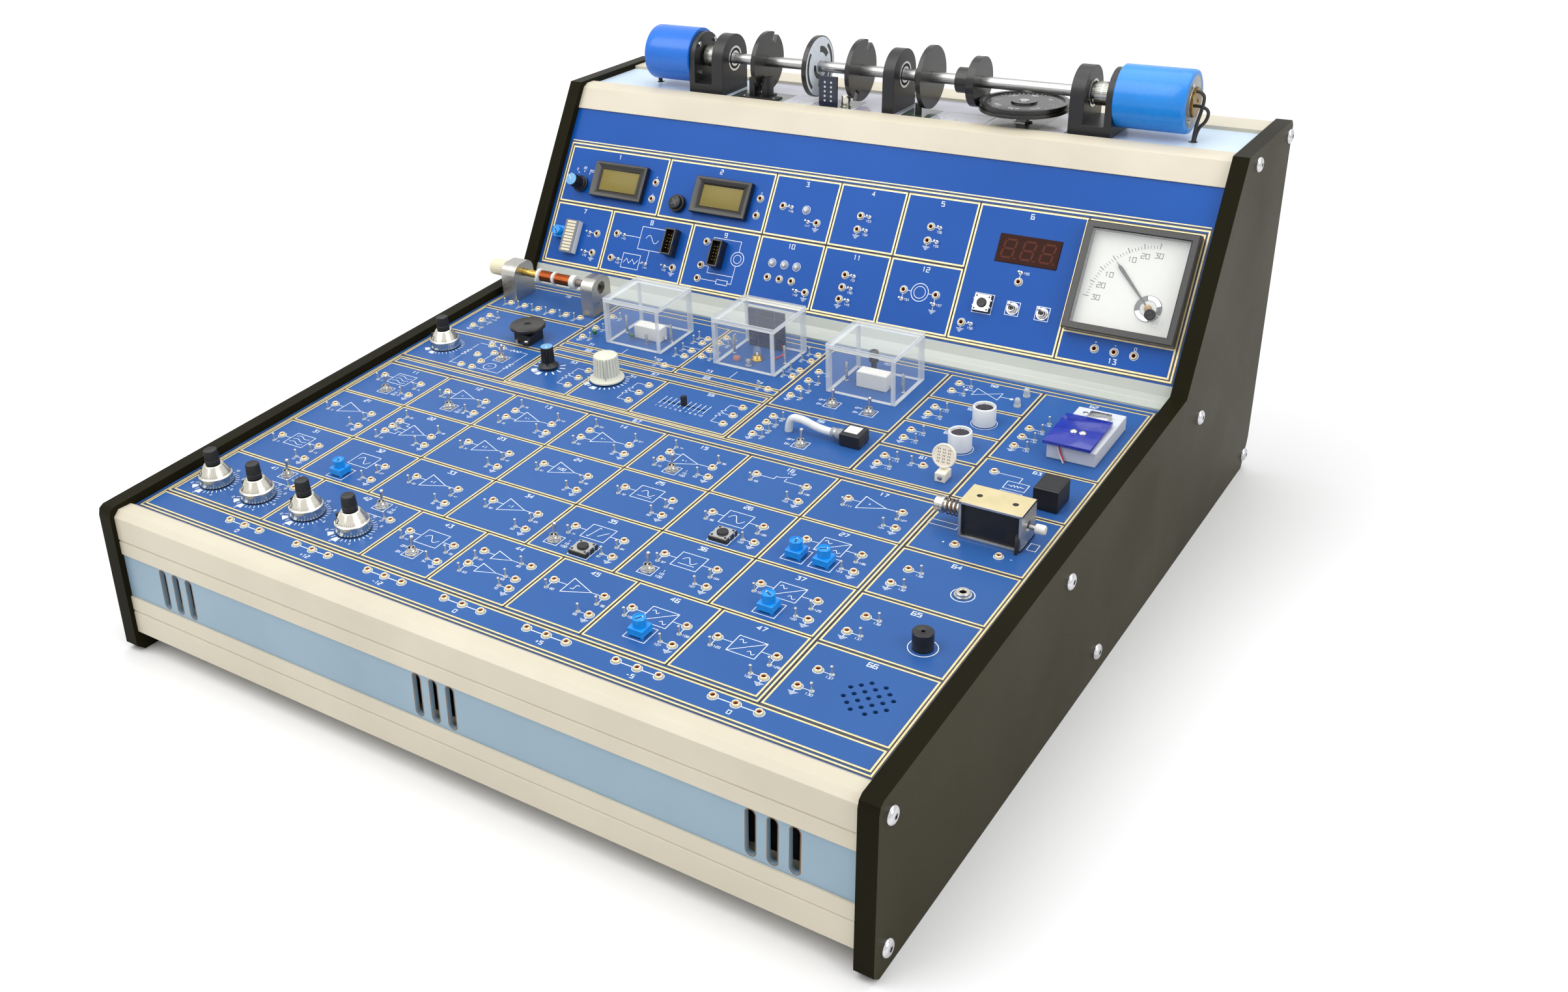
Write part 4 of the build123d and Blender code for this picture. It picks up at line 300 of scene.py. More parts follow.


# A round cord through the points, attached to the console in place of its CAD node
def cord(name, points, length, diameter, hue, node):
    curve = bpy.data.curves.new(name, "CURVE")
    curve.dimensions = "3D"
    curve.resolution_u = 10
    curve.bevel_resolution = 4
    curve.bevel_depth = diameter / 2
    curve.use_fill_caps = True
    spline = curve.splines.new("NURBS")
    spline.points.add(len(points) - 1)
    for point, place in zip(spline.points, points):
        point.co = (*place, 1)
    spline.order_u = 3
    spline.use_endpoint_u = True
    curve.materials.append(made[hue])
    thing = bpy.data.objects.new(name, curve)
    bpy.context.scene.collection.objects.link(thing)
    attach(thing, "console")
    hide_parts(node)
    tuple(points[0])


# Leads of the two machines and the pressure tube, along the routes of the solids
leads = {
    "tacho_lead_front": dict(start=(216.7, 232.45, 289.0), out=6.0, inward=1.3, length=0.0485),
    "tacho_lead_rear": dict(start=(216.7, 234.95, 279.0), out=9.0, inward=1.3, length=0.0426),
    "motor_lead_front": dict(start=(-205.0, 238.35, 289.0), out=-6.0, inward=-1.2, length=0.0485),
    "motor_lead_rear": dict(start=(-205.0, 240.85, 279.0), out=-9.0, inward=-1.2, length=0.0426),
}
for name, lead in leads.items():
    x, y, z = lead["start"]
    out, hole = x + lead["out"], x + lead["inward"]
    route = ((x, y, z), (out, y, z), (out, y + 1.0, z - 9.0), (hole, y + 2.0, 262.0), (hole, y + 2.0, 245.0))
    cord(name, [Vector(p) * mm for p in route], lead["length"], 0.0022, "rubber",
         "shaft_machines")
tubeRoute = ((88.5, 265.5, 5.4), (80.0, 265.6, 5.4), (68.0, 265.0, 10.0), (58.5, 264.2, 9.5),
             (58.5, 264.2, -4.0))
cord("pressure_tube", [lower @ Vector(p) for p in tubeRoute], 0.0415, 0.0052, "tube",
     "board_sensors")
print("cords")


# Mesh building: operators make each small solid, and one Form gathers them with their finishes, in millimetres
class Form:
    def __init__(self):
        self.bm = bmesh.new()
        self.flat = self.bm.faces.layers.int.new("flat")
        self.names = []

    def finishIndex(self, name):
        if name not in self.names:
            self.names.append(name)
        return self.names.index(name)

    # Copies a small solid into the form, at its place
    def take(self, part, place, name, flat=0):
        index = self.finishIndex(name)
        copies = {v: self.bm.verts.new(place @ v.co) for v in part.verts}
        faces = [self.bm.faces.new([copies[v] for v in face.verts]) for face in part.faces]
        for face in faces:
            face.material_index = index
            face[self.flat] = flat
        part.free()
        return faces

    # Turns a profile of (radius, height) points round the place's z; points marked 1 are fluted
    def lathe(self, place, profile, name, steps=32, start=0.0, sweep=2 * pi, flute=0.0):
        part = bmesh.new()
        closed = int(profile[0] == profile[-1])
        verts = [part.verts.new((point[0], 0, point[1])) for point in profile[:len(profile) - closed]]
        edges = [part.edges.new(pair) for pair in zip(verts, verts[1:] + verts[:closed])]
        bmesh.ops.spin(part, geom=verts + edges, axis=(0, 0, 1), angle=sweep, steps=steps,
                       use_merge=sweep == 2 * pi)
        bmesh.ops.remove_doubles(part, verts=part.verts, dist=1e-4)
        for radius, height, *ribbed in profile:
            for v in part.verts if ribbed else ():
                step = round(atan2(v.co.y, v.co.x) / (2 * pi) * steps) % 4
                if step > 1 and abs(v.co.z - height) < 1e-3 and abs(hypot(v.co.x, v.co.y) - radius) < 1e-3:
                    v.co.xy = v.co.xy * (radius - flute) / radius
        return self.take(part, place @ Matrix.Rotation(start, 4, "Z"), name)

    # A cuboid with rounded edges, standing on the place's origin or round it
    def box(self, place, size, name, bevel=0.2, segments=2, base=True):
        part = bmesh.new()
        lift = Matrix.Translation((0, 0, size[2] / 2 if base else 0))
        bmesh.ops.create_cube(part, size=1.0, matrix=lift @ Matrix.Diagonal((*size, 1)))
        self.rounded(part, bevel, segments)
        return self.take(part, place, name)

    # Softens every edge of a solid
    def rounded(self, part, bevel, segments=2):
        if bevel:
            bmesh.ops.bevel(part, geom=part.edges, offset=bevel, segments=segments, profile=0.5, affect="EDGES",
                            material=-1)

    # Pulls a face out of the solid and gives the new one, whose points keep their order
    def pull(self, part, face):
        pulled = bmesh.ops.extrude_face_region(part, geom=[face, *face.edges])["geom"]
        return next(item for item in pulled if isinstance(item, bmesh.types.BMFace))

    # Rectangles one above the other, joined; each is half width, half depth and height
    def tiers(self, place, layers, name):
        part = bmesh.new()
        bmesh.ops.create_grid(part, x_segments=1, y_segments=1, size=1.0)
        face = next(iter(part.faces))
        for k, (halfX, halfY, height) in enumerate(layers):
            face = self.pull(part, face) if k else face
            for v in face.verts:
                v.co = (copysign(halfX, v.co.x), copysign(halfY, v.co.y), height)
        return self.take(part, place, name)

    # A rectangular plate with a round hole
    def plate(self, place, half, hole, low, high, name, steps=32):
        part = bmesh.new()
        for v in bmesh.ops.create_circle(part, segments=steps, radius=1.0)["verts"]:
            v.co = Vector((v.co.x * half[0], v.co.y * half[1], 0)) / max(abs(v.co.x), abs(v.co.y))
        bmesh.ops.create_circle(part, segments=steps, radius=hole)
        bmesh.ops.bridge_loops(part, edges=part.edges)
        bottom = list(part.verts)
        bmesh.ops.extrude_face_region(part, geom=list(part.faces))
        for v in part.verts:
            v.co.z = low if v in bottom else high
        return self.take(part, place, name)

    # A round wire along the points, which are rounded off where they are few
    def tube(self, place, points, radius, name, sides=8):
        way = [Vector(p) for p in points]
        if len(way) < 9:
            ends = [way[0], *way, way[-1]]
            way = []
            for a, b, c, d in zip(ends, ends[1:], ends[2:], ends[3:]):
                for t in (0.0, 0.2, 0.4, 0.6, 0.8):
                    way.append(0.5 * (2 * b + (c - a) * t + (2 * a - 5 * b + 4 * c - d) * t ** 2
                                      + (3 * b - a - 3 * c + d) * t ** 3))
            way.append(ends[-1])
        part = bmesh.new()
        bmesh.ops.create_circle(part, cap_ends=True, segments=sides, radius=radius,
                                matrix=Matrix.Rotation(-pi / 2, 4, "Z"))
        face = next(iter(part.faces))
        corners = [v.co.copy() for v in face.verts]
        side = (way[1] - way[0]).orthogonal()
        for k, point in enumerate(way):
            ahead = (way[min(k + 1, len(way) - 1)] - way[max(k - 1, 0)]).normalized()
            side = (side - ahead * side.dot(ahead)).normalized()
            turn = Matrix((side, ahead.cross(side), ahead)).transposed()
            face = self.pull(part, face) if k else face
            for v, corner in zip(face.verts, corners):
                v.co = point + turn @ corner
        return self.take(part, place, name)

    # A clear slab round the place, with milky narrow faces
    def pane(self, place, size):
        faces = self.box(place, size, "clear", 0.25, 1, False)
        milky = self.finishIndex("milky")
        wide = sorted(size)[1] * sorted(size)[2] * mm * mm
        for face in faces:
            if face.calc_area() < 0.5 * wide:
                face.material_index = milky

    # A flat outline pulled up from low to high
    def prism(self, place, outline, low, high, name, bevel=0.0):
        part = bmesh.new()
        for v in self.pull(part, part.faces.new([part.verts.new((x, y, low)) for x, y in outline])).verts:
            v.co.z = high
        self.rounded(part, bevel)
        return self.take(part, place, name)

    # A flat printed line through the points
    def ribbon(self, place, points, width, name, height=0.06, loop=False):
        part = bmesh.new()
        count = len(points)
        sides = []
        for k, point in enumerate(points):
            before = points[k - 1] if k or loop else point
            after = points[(k + 1) % count] if k < count - 1 or loop else point
            steps = [Vector(b) - Vector(a) for a, b in ((before, point), (point, after))]
            steps = [step.normalized() for step in steps if step.length > 1e-6]
            along = sum(steps, Vector((0, 0))).normalized()
            normal = Vector((-along.y, along.x))
            half = normal * width / 2 / max(0.5, abs(normal.dot((-steps[0].y, steps[0].x))))
            sides.append([part.verts.new((*(Vector(point) + end * half), height)) for end in (1, -1)])
        for a, b in zip(sides, sides[1:] + sides[:int(loop)]):
            part.faces.new((a[1], b[1], b[0], a[0]))
        return self.take(part, place, name, 1)

    # The same line as a circle or a part of one
    def ring(self, place, x, y, radius, width, name, height=0.06, steps=28, start=0.0, sweep=2 * pi):
        loop = sweep == 2 * pi
        turns = [start + sweep * k / steps for k in range(steps + (not loop))]
        return self.ribbon(place, [(x + radius * cos(a), y + radius * sin(a)) for a in turns], width, name,
                           height, loop)

    # A flat printed area
    def patch(self, place, outline, name, height=0.05):
        part = bmesh.new()
        part.faces.new([part.verts.new((x, y, height)) for x, y in outline])
        return self.take(part, place, name, 1)

    # Makes the object, with its faces outward and its sharp edges marked
    def piece(self, name, body="console", slot=None, replaces=(), sharp=35.0):
        bmesh.ops.recalc_face_normals(self.bm, faces=[f for f in self.bm.faces if not f[self.flat]])
        for face in self.bm.faces:
            face.smooth = True
        for edge in self.bm.edges:
            if len(edge.link_faces) == 2 and edge.calc_face_angle() > radians(sharp):
                edge.smooth = False
        mesh = bpy.data.meshes.new(name)
        self.bm.to_mesh(mesh)
        self.bm.free()
        for finishName in self.names:
            mesh.materials.append(made[finishName])
        thing = bpy.data.objects.new(name, mesh)
        bpy.context.scene.collection.objects.link(thing)
        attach(thing, body)
        if replaces:
            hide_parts(*replaces)
        return thing


# The separate solids of a mesh, as lists of vertices
def islands(bm):
    left = set(bm.verts)
    while left:
        heap = [left.pop()]
        found = []
        while heap:
            v = heap.pop()
            found.append(v)
            for e in v.link_edges:
                other = e.other_vert(v)
                if other in left:
                    left.remove(other)
                    heap.append(other)
        yield found


# The CAD node's own shape with softened edges; rule gives the finish of each solid or is its name
def dressed(node, rule, bevel=0.3, segments=2, slot=None):
    source = frame["nodes"][node]
    form = Form()
    form.bm.from_mesh(source.data)
    form.flat = form.bm.faces.layers.int.get("flat") or form.bm.faces.layers.int.new("flat")
    bmesh.ops.remove_doubles(form.bm, verts=form.bm.verts, dist=1e-6)
    bmesh.ops.dissolve_limit(form.bm, angle_limit=radians(0.5), verts=form.bm.verts, edges=form.bm.edges)
    for verts in list(islands(form.bm)):
        co = [v.co for v in verts]
        centre = sum(co, Vector()) / len(co)
        faces = list({f for v in verts for f in v.link_faces})
        chosen = rule if isinstance(rule, str) else rule(centre, co)
        if chosen is None:
            bmesh.ops.delete(form.bm, geom=verts, context="VERTS")
            continue
        index = form.finishIndex(chosen)
        for face in faces:
            face.material_index = index
    if bevel:
        edges = [e for e in form.bm.edges if len(e.link_faces) == 2 and e.calc_face_angle() > radians(28)]
        bmesh.ops.bevel(form.bm, geom=edges, offset=bevel * mm, segments=segments, profile=0.5,
                        affect="EDGES", clamp_overlap=True, material=-1)
    thing = form.piece(node + "_form", body_of(source)[0], slot, (node,))
    if bevel:
        evened = thing.modifiers.new("evened", "WEIGHTED_NORMAL")
        evened.keep_sharp = True
    return thing


# Stage: pale floor, soft light from above and from both sides
floorForm = Form()
floorForm.box(Matrix.Translation((0, 0, -0.02)) @ Matrix.Scale(mm, 4), (9000.0, 9000.0, 20.0), "floor", 0)
floor = floorForm.piece("floor")

# White behind the object for the camera and in reflections, plain light for everything else
plainLight = 0.62
sky = Graph(bpy.data.worlds.new("world"))
seen = sky.node("ShaderNodeLightPath", output="Is Camera Ray")
mirrored = sky.node("ShaderNodeLightPath", output="Is Glossy Ray")
sky.put(sky.shader.inputs["Color"], (1.0, 1.0, 1.0, 1))
sky.put(sky.shader.inputs["Strength"],
        sky.node("ShaderNodeMapRange", seen.math("MAXIMUM", mirrored), 0.0, 1.0, plainLight, 1.0))
bpy.context.scene.world = sky.owner
lights = {
    "keyLight": dict(place=(-0.7, -0.9, 1.6), size=1.5, power=20.0),
    "topLight": dict(place=(0.2, 0.4, 2.2), size=2.0, power=24.0),
    "rightLight": dict(place=(1.9, -0.4, 1.5), size=1.2, power=15.0),
}
lightAim = Vector((0, 0, 0.1))
for name, lamp in lights.items():
    light = bpy.data.objects.new(name, bpy.data.lights.new(name, "AREA"))
    light.data.size = lamp["size"]
    light.data.energy = lamp["power"]
    light.location = lamp["place"]
    light.rotation_euler = (lightAim - Vector(lamp["place"])).to_track_quat("-Z", "Y").to_euler()
    bpy.context.scene.collection.objects.link(light)
print("stage")

# Case
for node, outward in (("side_panel_left", -1), ("side_panel_right", 1)):
    panelSide = dressed(node, "side", 0.8, 3, "black_side")
    # Inner faces and edges take the darker copy of the side finish, painted shade; outer faces keep the side
    # finish
    panelSide.data.materials.append(made["sidePaintedShade"])
    for face in panelSide.data.polygons:
        face.material_index = 0 if face.normal.x * outward > 0.5 else 1
caseLooks = {
    "front_rails": ("rail", 0.4, 2, "rail"), "middle_rail": ("railCool", 0.4, 2, "rail"),
    "top_rails": ("rail", 0.4, 2, "rail"), "vent_strip": ("strip", 0.3, 2, "strip"),
    "top_deck": ("deck", 0.3, 2, "deck"),
    "lower_panel": ("board", 0.0, 1, "board"), "upper_panel": ("boardUpper", 0.0, 1, "board"),
    "chassis_tray": ("rearSheet", 0.0, 1, "steel_sheet"), "power_supply": ("zinc", 0.3, 2, "steel_sheet"),
    "panel_screws": ("chrome", 0.0, 1, "screw"),
}
for node, look in caseLooks.items():
    dressed(node, *look)
print("case")

# Bronze lips of the vent slots: each the outline of a half round, a straight side and the other half
lips = dict(centres=(-205.7, 1.9, 209.1), pitch=11.8, middle=56.15, straight=10.75, round=2.95, width=0.6)
slotLips = Form()
stripFace = Matrix.Translation((0, -0.2998, 0)) @ Matrix.Rotation(pi / 2, 4, "X") @ Matrix.Scale(mm, 4)
for group in lips["centres"]:
    for k in (-1, 0, 1):
        around = []
        for side, start in ((1, 0), (-1, 180)):
            for a in range(start, start + 180, 20):
                around.append((group + lips["pitch"] * k + lips["round"] * cos(radians(a)),
                               lips["middle"] + side * lips["straight"] + lips["round"] * sin(radians(a))))
        slotLips.ribbon(stripFace, around, lips["width"], "bronze", 0.05, True)
slotLips.piece("slot_lips", slot="strip")

# Sockets and pins: read off the CAD solids, each as a turned ring or a wire pin
sockets = Form()
source = bmesh.new()
source.from_mesh(frame["nodes"]["sockets_and_pins"].data)
bmesh.ops.remove_doubles(source, verts=source.verts, dist=1e-6)
panelSpots = {"lower": [], "upper": []}
for verts in islands(source):
    middle = sum((v.co for v in verts), Vector()) / len(verts)
    panelName = "upper" if (upper.inverted() @ middle).y > -3 else "lower"
    panel = upper if panelName == "upper" else lower
    local = [panel.inverted() @ v.co for v in verts]
    x = (min(p.x for p in local) + max(p.x for p in local)) / 2
    s = (min(p.y for p in local) + max(p.y for p in local)) / 2
    wide = max(p.x for p in local) - min(p.x for p in local)
    isSocket = wide > 3
    panelSpots[panelName].append((x, s, isSocket))
    here = at(panel, x, s)
    if isSocket:
        sockets.lathe(here, ((1.5, -7.0), (1.5, 0.0), (2.35, 0.0), (2.35, 0.5), (2.1, 1.3), (1.8, 1.6),
                             (1.45, 1.45), (1.3, 0.7)), "brass", 16)
        sockets.lathe(here, ((1.35, 0.8), (1.1, 0.65), (0.9, -3.0), (0.0, -3.2)), "socketHeart", 12)
    else:
        sockets.lathe(here, ((0.0, -3.0), (0.5, -3.0), (0.5, 0.0), (1.2, 0.0), (1.1, 0.5), (0.5, 0.6),
                             (0.5, 4.3), (0.8, 4.6), (0.8, 5.1), (0.45, 5.4), (0.0, 5.4)), "pinSilver", 8)
source.free()
sockets.piece("sockets_and_pins_form", slot="brass_plate", replaces=("sockets_and_pins",))
print("sockets", len(panelSpots["lower"]), len(panelSpots["upper"]))

# Printed lines: gold borders and white circuit symbols, as thin ribbons on the boards
strokes = {
    "0": ((0, 0), (4, 0), (4, 6), (0, 6), (0, 0)),
    "1": ((0.8, 4.8), (2, 6), (2, 0)),
    "2": ((0, 6), (4, 6), (4, 3), (0, 3), (0, 0), (4, 0)),
    "3": ((0, 6), (4, 6), (2, 3.4), (4, 3), (4, 0), (0, 0)),
    "4": ((3, 0), (3, 6), (0, 2), (4, 2)),
    "5": ((4, 6), (0, 6), (0, 3.4), (4, 3.4), (4, 0), (0, 0)),
    "6": ((4, 6), (0, 6), (0, 0), (4, 0), (4, 3), (0, 3)),
    "7": ((0, 6), (4, 6), (1.5, 0)),
    "8": ((0, 3), (0, 6), (4, 6), (4, 0), (0, 0), (0, 3), (4, 3)),
    "9": ((4, 3), (0, 3), (0, 6), (4, 6), (4, 0), (0, 0)),
    "-": ((0.5, 3), (3.5, 3)),
    "O": ((0, 0), (4, 0), (4, 6), (0, 6), (0, 0)),
    "N": ((0, 0), (0, 6), (4, 0), (4, 6)),
    "F": ((0, 0), (0, 6), (4, 6)),
}
crossings = {"+": ((2, 1), (2, 5)), "F": ((0, 3.2), (3, 3.2))}


# Plain numbers, signs and ON or OFF, centred at x, s
def label(form, panel, text, x, s, height=2.6, name="print", width=None, lift=0.06):
    unit = height / 6
    step = 5.6 * unit
    start = -(len(text) * step - 1.6 * unit) / 2
    here = at(panel, x, s)
    for k, letter in enumerate(text):
        origin = start + k * step
        for stroke in (strokes.get("-" if letter == "+" else letter), crossings.get(letter)):
            if stroke:
                form.ribbon(here, [(origin + u * unit, v * unit - height / 2) for u, v in stroke],
                            width or height * 0.17, name, lift)


def outline(form, panel, left, right, bottom, top, width=1.05):
    for grow, wide, name, lift in ((0.0, width, "gold", 0.06), (1.0, 1.0, "lineGap", 0.04)):
        form.ribbon(panel, [(left - grow, bottom - grow), (right + grow, bottom - grow),
                            (right + grow, top + grow), (left - grow, top + grow)], wide, name, lift, True)


lowerGold = Form()
for edges in (
        (-250.0, 249.3, -0.6, 385.2), (-248.3, 247.5, 2.2, 17.6), (-248.4, 179.0, 20.2, 236.3),
        (-246.2, 176.7, 227.8, 233.9), (-248.4, -155.3, 337.3, 381.0), (-248.4, -155.3, 290.5, 334.1),
        (-248.4, -155.3, 240.2, 287.3), (-152.3, 26.4, 237.9, 299.3), (-150.2, 24.4, 290.2, 296.6),
        (-150.2, -101.6, 240.2, 287.3), (-99.4, -49.7, 240.2, 287.3), (-47.4, 24.4, 240.2, 287.3),
        (29.1, 114.4, 238.6, 287.3), (29.1, 114.4, 290.5, 380.8), (117.1, 178.8, 346.9, 380.8),
        (117.1, 178.8, 311.3, 344.3), (117.1, 178.8, 276.9, 308.9), (117.1, 178.8, 238.6, 273.6),
        (-152.1, -55.0, 310.3, 378.8), (-152.1, -55.0, 302.0, 307.9), (-52.6, 25.8, 310.3, 378.8),
        (-52.6, 25.8, 302.0, 307.9), (181.5, 247.4, 289.5, 380.8), (181.5, 247.4, 237.7, 287.0),
        (181.5, 247.4, 177.1, 235.1), (181.5, 247.4, 127.5, 174.2), (181.5, 247.4, 78.2, 124.8),
        (181.5, 247.4, 20.6, 75.3)):
    outline(lowerGold, lower, *edges)
inset = 1.1
columns = (-247.4, -190.7, -130.7, -69.2, -7.5, 54.0, 115.5, 177.7)
rows = (77.5, 126.7, 176.3, 225.6)
frontColumns = (-247.4, -166.9, -85.2, -34.4, 20.9, 71.9, 125.0, 177.7)
for left, right in zip(columns, columns[1:]):
    for bottom, top in zip(rows, rows[1:]):
        outline(lowerGold, lower, left + inset, right - inset, bottom + inset, top - inset)
for left, right in zip(frontColumns, frontColumns[1:]):
    outline(lowerGold, lower, left + inset, right - inset, 23.2, rows[0] - inset)
lowerGold.piece("lower_gold_lines", slot="board")

upperGold = Form()
upperLine = 1.1
upperColumns = (-249.0, -154.7, -60.6, -7.2, 45.0, 98.7, 174.3, 249.0)
lowerColumns = (-249.0, -194.7, -119.7, -60.6, -7.2, 45.0, 98.7)
outline(upperGold, upper, -250.2, 250.2, 0.0, 98.3, upperLine)
for left, right in zip(upperColumns[:6], upperColumns[1:6]):
    outline(upperGold, upper, left + inset, right - inset, 51.2, 95.4, upperLine)
for left, right in zip(lowerColumns, lowerColumns[1:]):
    outline(upperGold, upper, left + inset, right - inset, 2.0, 48.6, upperLine)
for left, right in zip(upperColumns[5:], upperColumns[6:]):
    outline(upperGold, upper, left + inset, right - inset, 2.0, 95.4, upperLine)
upperGold.ribbon(upper, [(-250.8, 100.6), (250.8, 100.6)], 0.7, "gold", 0.05)
upperGold.ribbon(upper, [(175.4, 20.6), (247.9, 20.6)], upperLine, "gold", 0.05)
upperGold.piece("upper_gold_lines", slot="board")


# White symbols of the circuits, and the spots that prints and fittings share
art = Form()
dialColumns, dialRow = (-227.9, -189.7, -146.8, -108.4), 41.9
lampSpots = ((-29.9, 72.8), (-46.2, 30.5), (-36.1, 30.5), (-25.9, 30.5))
trimmerSpots = ((lower, -163.8, 87.7, 20), (lower, 98.8, 38.5, -30), (lower, 145.6, 89.1, 60),
                (lower, 133.3, 140.2, 10), (lower, 150.4, 140.2, -50), (upper, -238.0, 25.0, 35))


def wire(panel, *points, width=0.42):
    art.ribbon(panel, list(points), width, "print")


def frameBox(panel, x, s, width, height=None):
    height = height or width
    art.ribbon(panel, [(x - width / 2, s - height / 2), (x + width / 2, s - height / 2),
                       (x + width / 2, s + height / 2), (x - width / 2, s + height / 2)], 0.45, "print", 0.06,
               True)


def ground(panel, x, s, drop=4.6):
    wire(panel, (x, s - 2.0), (x, s - drop))
    for k, half in enumerate((2.7, 2.0, 1.3, 0.6)):
        wire(panel, (x - half, s - drop - 0.75 * k), (x + half, s - drop - 0.75 * k), width=0.34)


def triangle(panel, x, s, length=16.0, half=7.0, text=""):
    art.ribbon(panel, [(x, s - half), (x + length, s), (x, s + half)], 0.5, "print", 0.06, True)
    if text:
        label(art, panel, text, x + 5.6, s, 2.4)


def wave(panel, x, s, width, height, slope=0.0):
    wire(panel, *[(x + width * (k / 12 - 0.5), s + height / 2 * sin(2 * pi * k / 12) + slope * (k / 12 - 0.5))
                  for k in range(13)], width=0.4)


def zigzag(panel, x, s, length, upright=True, half=1.5):
    points = [(0, -length / 2 - 2)] + [(0, -length / 2)]
    points += [((1 if k % 2 else -1) * half, -length / 2 + (k + 0.5) * length / 6) for k in range(6)]
    points += [(0, length / 2), (0, length / 2 + 2)]
    wire(panel, *[(x + u, s + v) if upright else (x + v, s + u) for u, v in points])


def ticks(panel, x, s, inner, outer, start, sweep, count, width=0.6, name="print"):
    for k in range(count):
        a = radians(start + sweep * k / (count - 1))
        wedge = [(x + inner * cos(a), s + inner * sin(a)), (x + outer * cos(a), s + outer * sin(a))]
        art.ribbon(panel, wedge, width, name)


# Lines from each pin to its socket, a ring under each socket and a plain number beside each pin
pinNumber = 0
for panelName, panel in (("lower", lower), ("upper", upper)):
    rings = [(x, s) for x, s, isSocket in panelSpots[panelName] if isSocket]
    for x, s in rings:
        art.ring(panel, x, s, 2.75, 0.4, "print", 0.05, 16)
    for x, s, isSocket in sorted(panelSpots[panelName]):
        if isSocket:
            continue
        near = min(rings, key=lambda p: hypot(p[0] - x, p[1] - s))
        distance = hypot(near[0] - x, near[1] - s)
        if distance < 10:
            wire(panel, (x, s), (near[0] + (x - near[0]) * 2.4 / distance,
                                 near[1] + (s - near[1]) * 2.4 / distance))
        art.ring(panel, x, s, 1.25, 0.3, "print", 0.05, 10)
        pinNumber += 1
        label(art, panel, str(pinNumber), x + (3.8 if abs(near[0] - x) < 3 else 0),
              s - (0 if abs(near[0] - x) < 3 else 2.9), 1.5)

# Circuits of the lower panel, by column and row
inputs = (-236.5, -177.5, -116.6, -54.8, 7.0, 68.8, 130.5)
inputRows = (106.7, 156.8, 206.9)
reach = 34.2
for row, s in enumerate(inputRows):
    for column, x in enumerate(inputs):
        label(art, lower, str(10 * (3 - row) + column + 1), (columns[column] + columns[column + 1]) / 2,
              rows[row + 1] - 5.4, 3.2)
        ground(lower, x + 37.8, s - 16.8)
        single = not (row == 2 and column in (2, 3, 4)) and not (row == 1 and column == 1)
        if single and (row, column) != (0, 1):
            wire(lower, (x + 2.5, s), (x + 8.0, s))
        if single:
            wire(lower, (x + 24.0, s), (x + reach - 2.5, s))
for column, row, kind in ((0, 2, "filter"), (0, 0, "filter"), (1, 0, "sine"), (4, 1, "box"), (5, 1, "sample"),
                          (6, 1, "slash"), (4, 0, "curve"), (5, 0, "box"), (6, 0, "slash")):
    x, s = inputs[column], inputRows[row]
    frameBox(lower, x + 16.2, s, 16.4, 14.0)
    if kind == "filter":
        for k in (-1, 0, 1):
            wave(lower, x + 16.2, s + 3.6 * k, 12.0, 2.4)
    elif kind in ("sine", "sample"):
        wave(lower, x + 16.2, s, 11.0, 7.0)
    elif kind == "slash":
        wire(lower, (x + 8.0, s - 7.0), (x + 24.4, s + 7.0))
        wave(lower, x + 12.0, s + 3.4, 4.6, 2.6)
        wave(lower, x + 20.4, s - 3.4, 4.6, 2.6)
    elif kind == "curve":
        wire(lower, (x + 11.0, s - 4.5), (x + 12.2, s - 5.2), (x + 13.2, s), (x + 14.2, s + 5.2),
             (x + 15.4, s + 4.5))
        wire(lower, (x + 17.4, s - 3.0), (x + 22.0, s + 3.0))
    else:
        wave(lower, x + 16.2, s + 0.6, 9.5, 5.4)
        wire(lower, (x + 11.0, s - 3.6), (x + 21.4, s - 3.6))
for column, row, text in ((1, 2, "+"), (6, 2, "+"), (0, 1, ""), (2, 1, "+1"), (3, 1, "100"), (2, 0, "+1"),
                          (3, 0, "-1")):
    triangle(lower, inputs[column] + 8.0, inputRows[row], text=text)
for column in (2, 3, 4):
    x = inputs[column]
    triangle(lower, x + 8.4, 200.8, 15.4, 7.0, "+-")
    wire(lower, (x + 2.5, 205.6), (x + 8.4, 205.6))
    wire(lower, (x + 2.5, 195.8), (x + 8.4, 195.8))
    wire(lower, (x + 23.8, 201.0), (x + reach - 2.5, 201.0))
summing = inputs[1]
triangle(lower, summing + 12.4, 150.8, 16.0, 7.6, "+")
for step in (1.1, -6.0, -13.5):
    wire(lower, (summing + 2.5, 156.8 + step), (summing + 8.8, 156.8 + step),
         (summing + 8.8, 150.8 + (step + 6.0) * 0.55), (summing + 12.4, 150.8 + (step + 6.0) * 0.55))
wire(lower, (summing + 28.4, 150.8), (summing + reach - 2.5, 150.8))
switch = inputs[5]
wire(lower, (switch + 8.0, 206.9), (switch + 12.0, 206.9), (switch + 12.0, 210.0), (switch + 14.5, 210.0))
wire(lower, (switch + 14.5, 210.0), (switch + 21.0, 213.2))
wire(lower, (switch + 24.0, 206.9), (switch + 19.0, 206.9), (switch + 19.0, 210.5))
label(art, lower, "+12", switch + 18.5, 216.6, 2.0)
onOffSpots = ((74.4, 251.0), (66.4, 307.5), (92.6, 307.5), (-59.5, 38.9))
rangeSpots = ((-219.4, 189.5), (-161.1, 189.5), (20.5, 187.5), (4.6, 89.2), (69.2, 89.2), (-192.9, 69.5),
              (-111.4, 69.5))
for x, s in (*onOffSpots, *rangeSpots, (-177.0, 265.5)):
    frameBox(lower, x, s, 9.2)
for x, s in onOffSpots:
    label(art, lower, "OFF", x - 8.6, s + 3.2, 1.9)
    label(art, lower, "ON", x - 8.2, s - 2.6, 1.9)
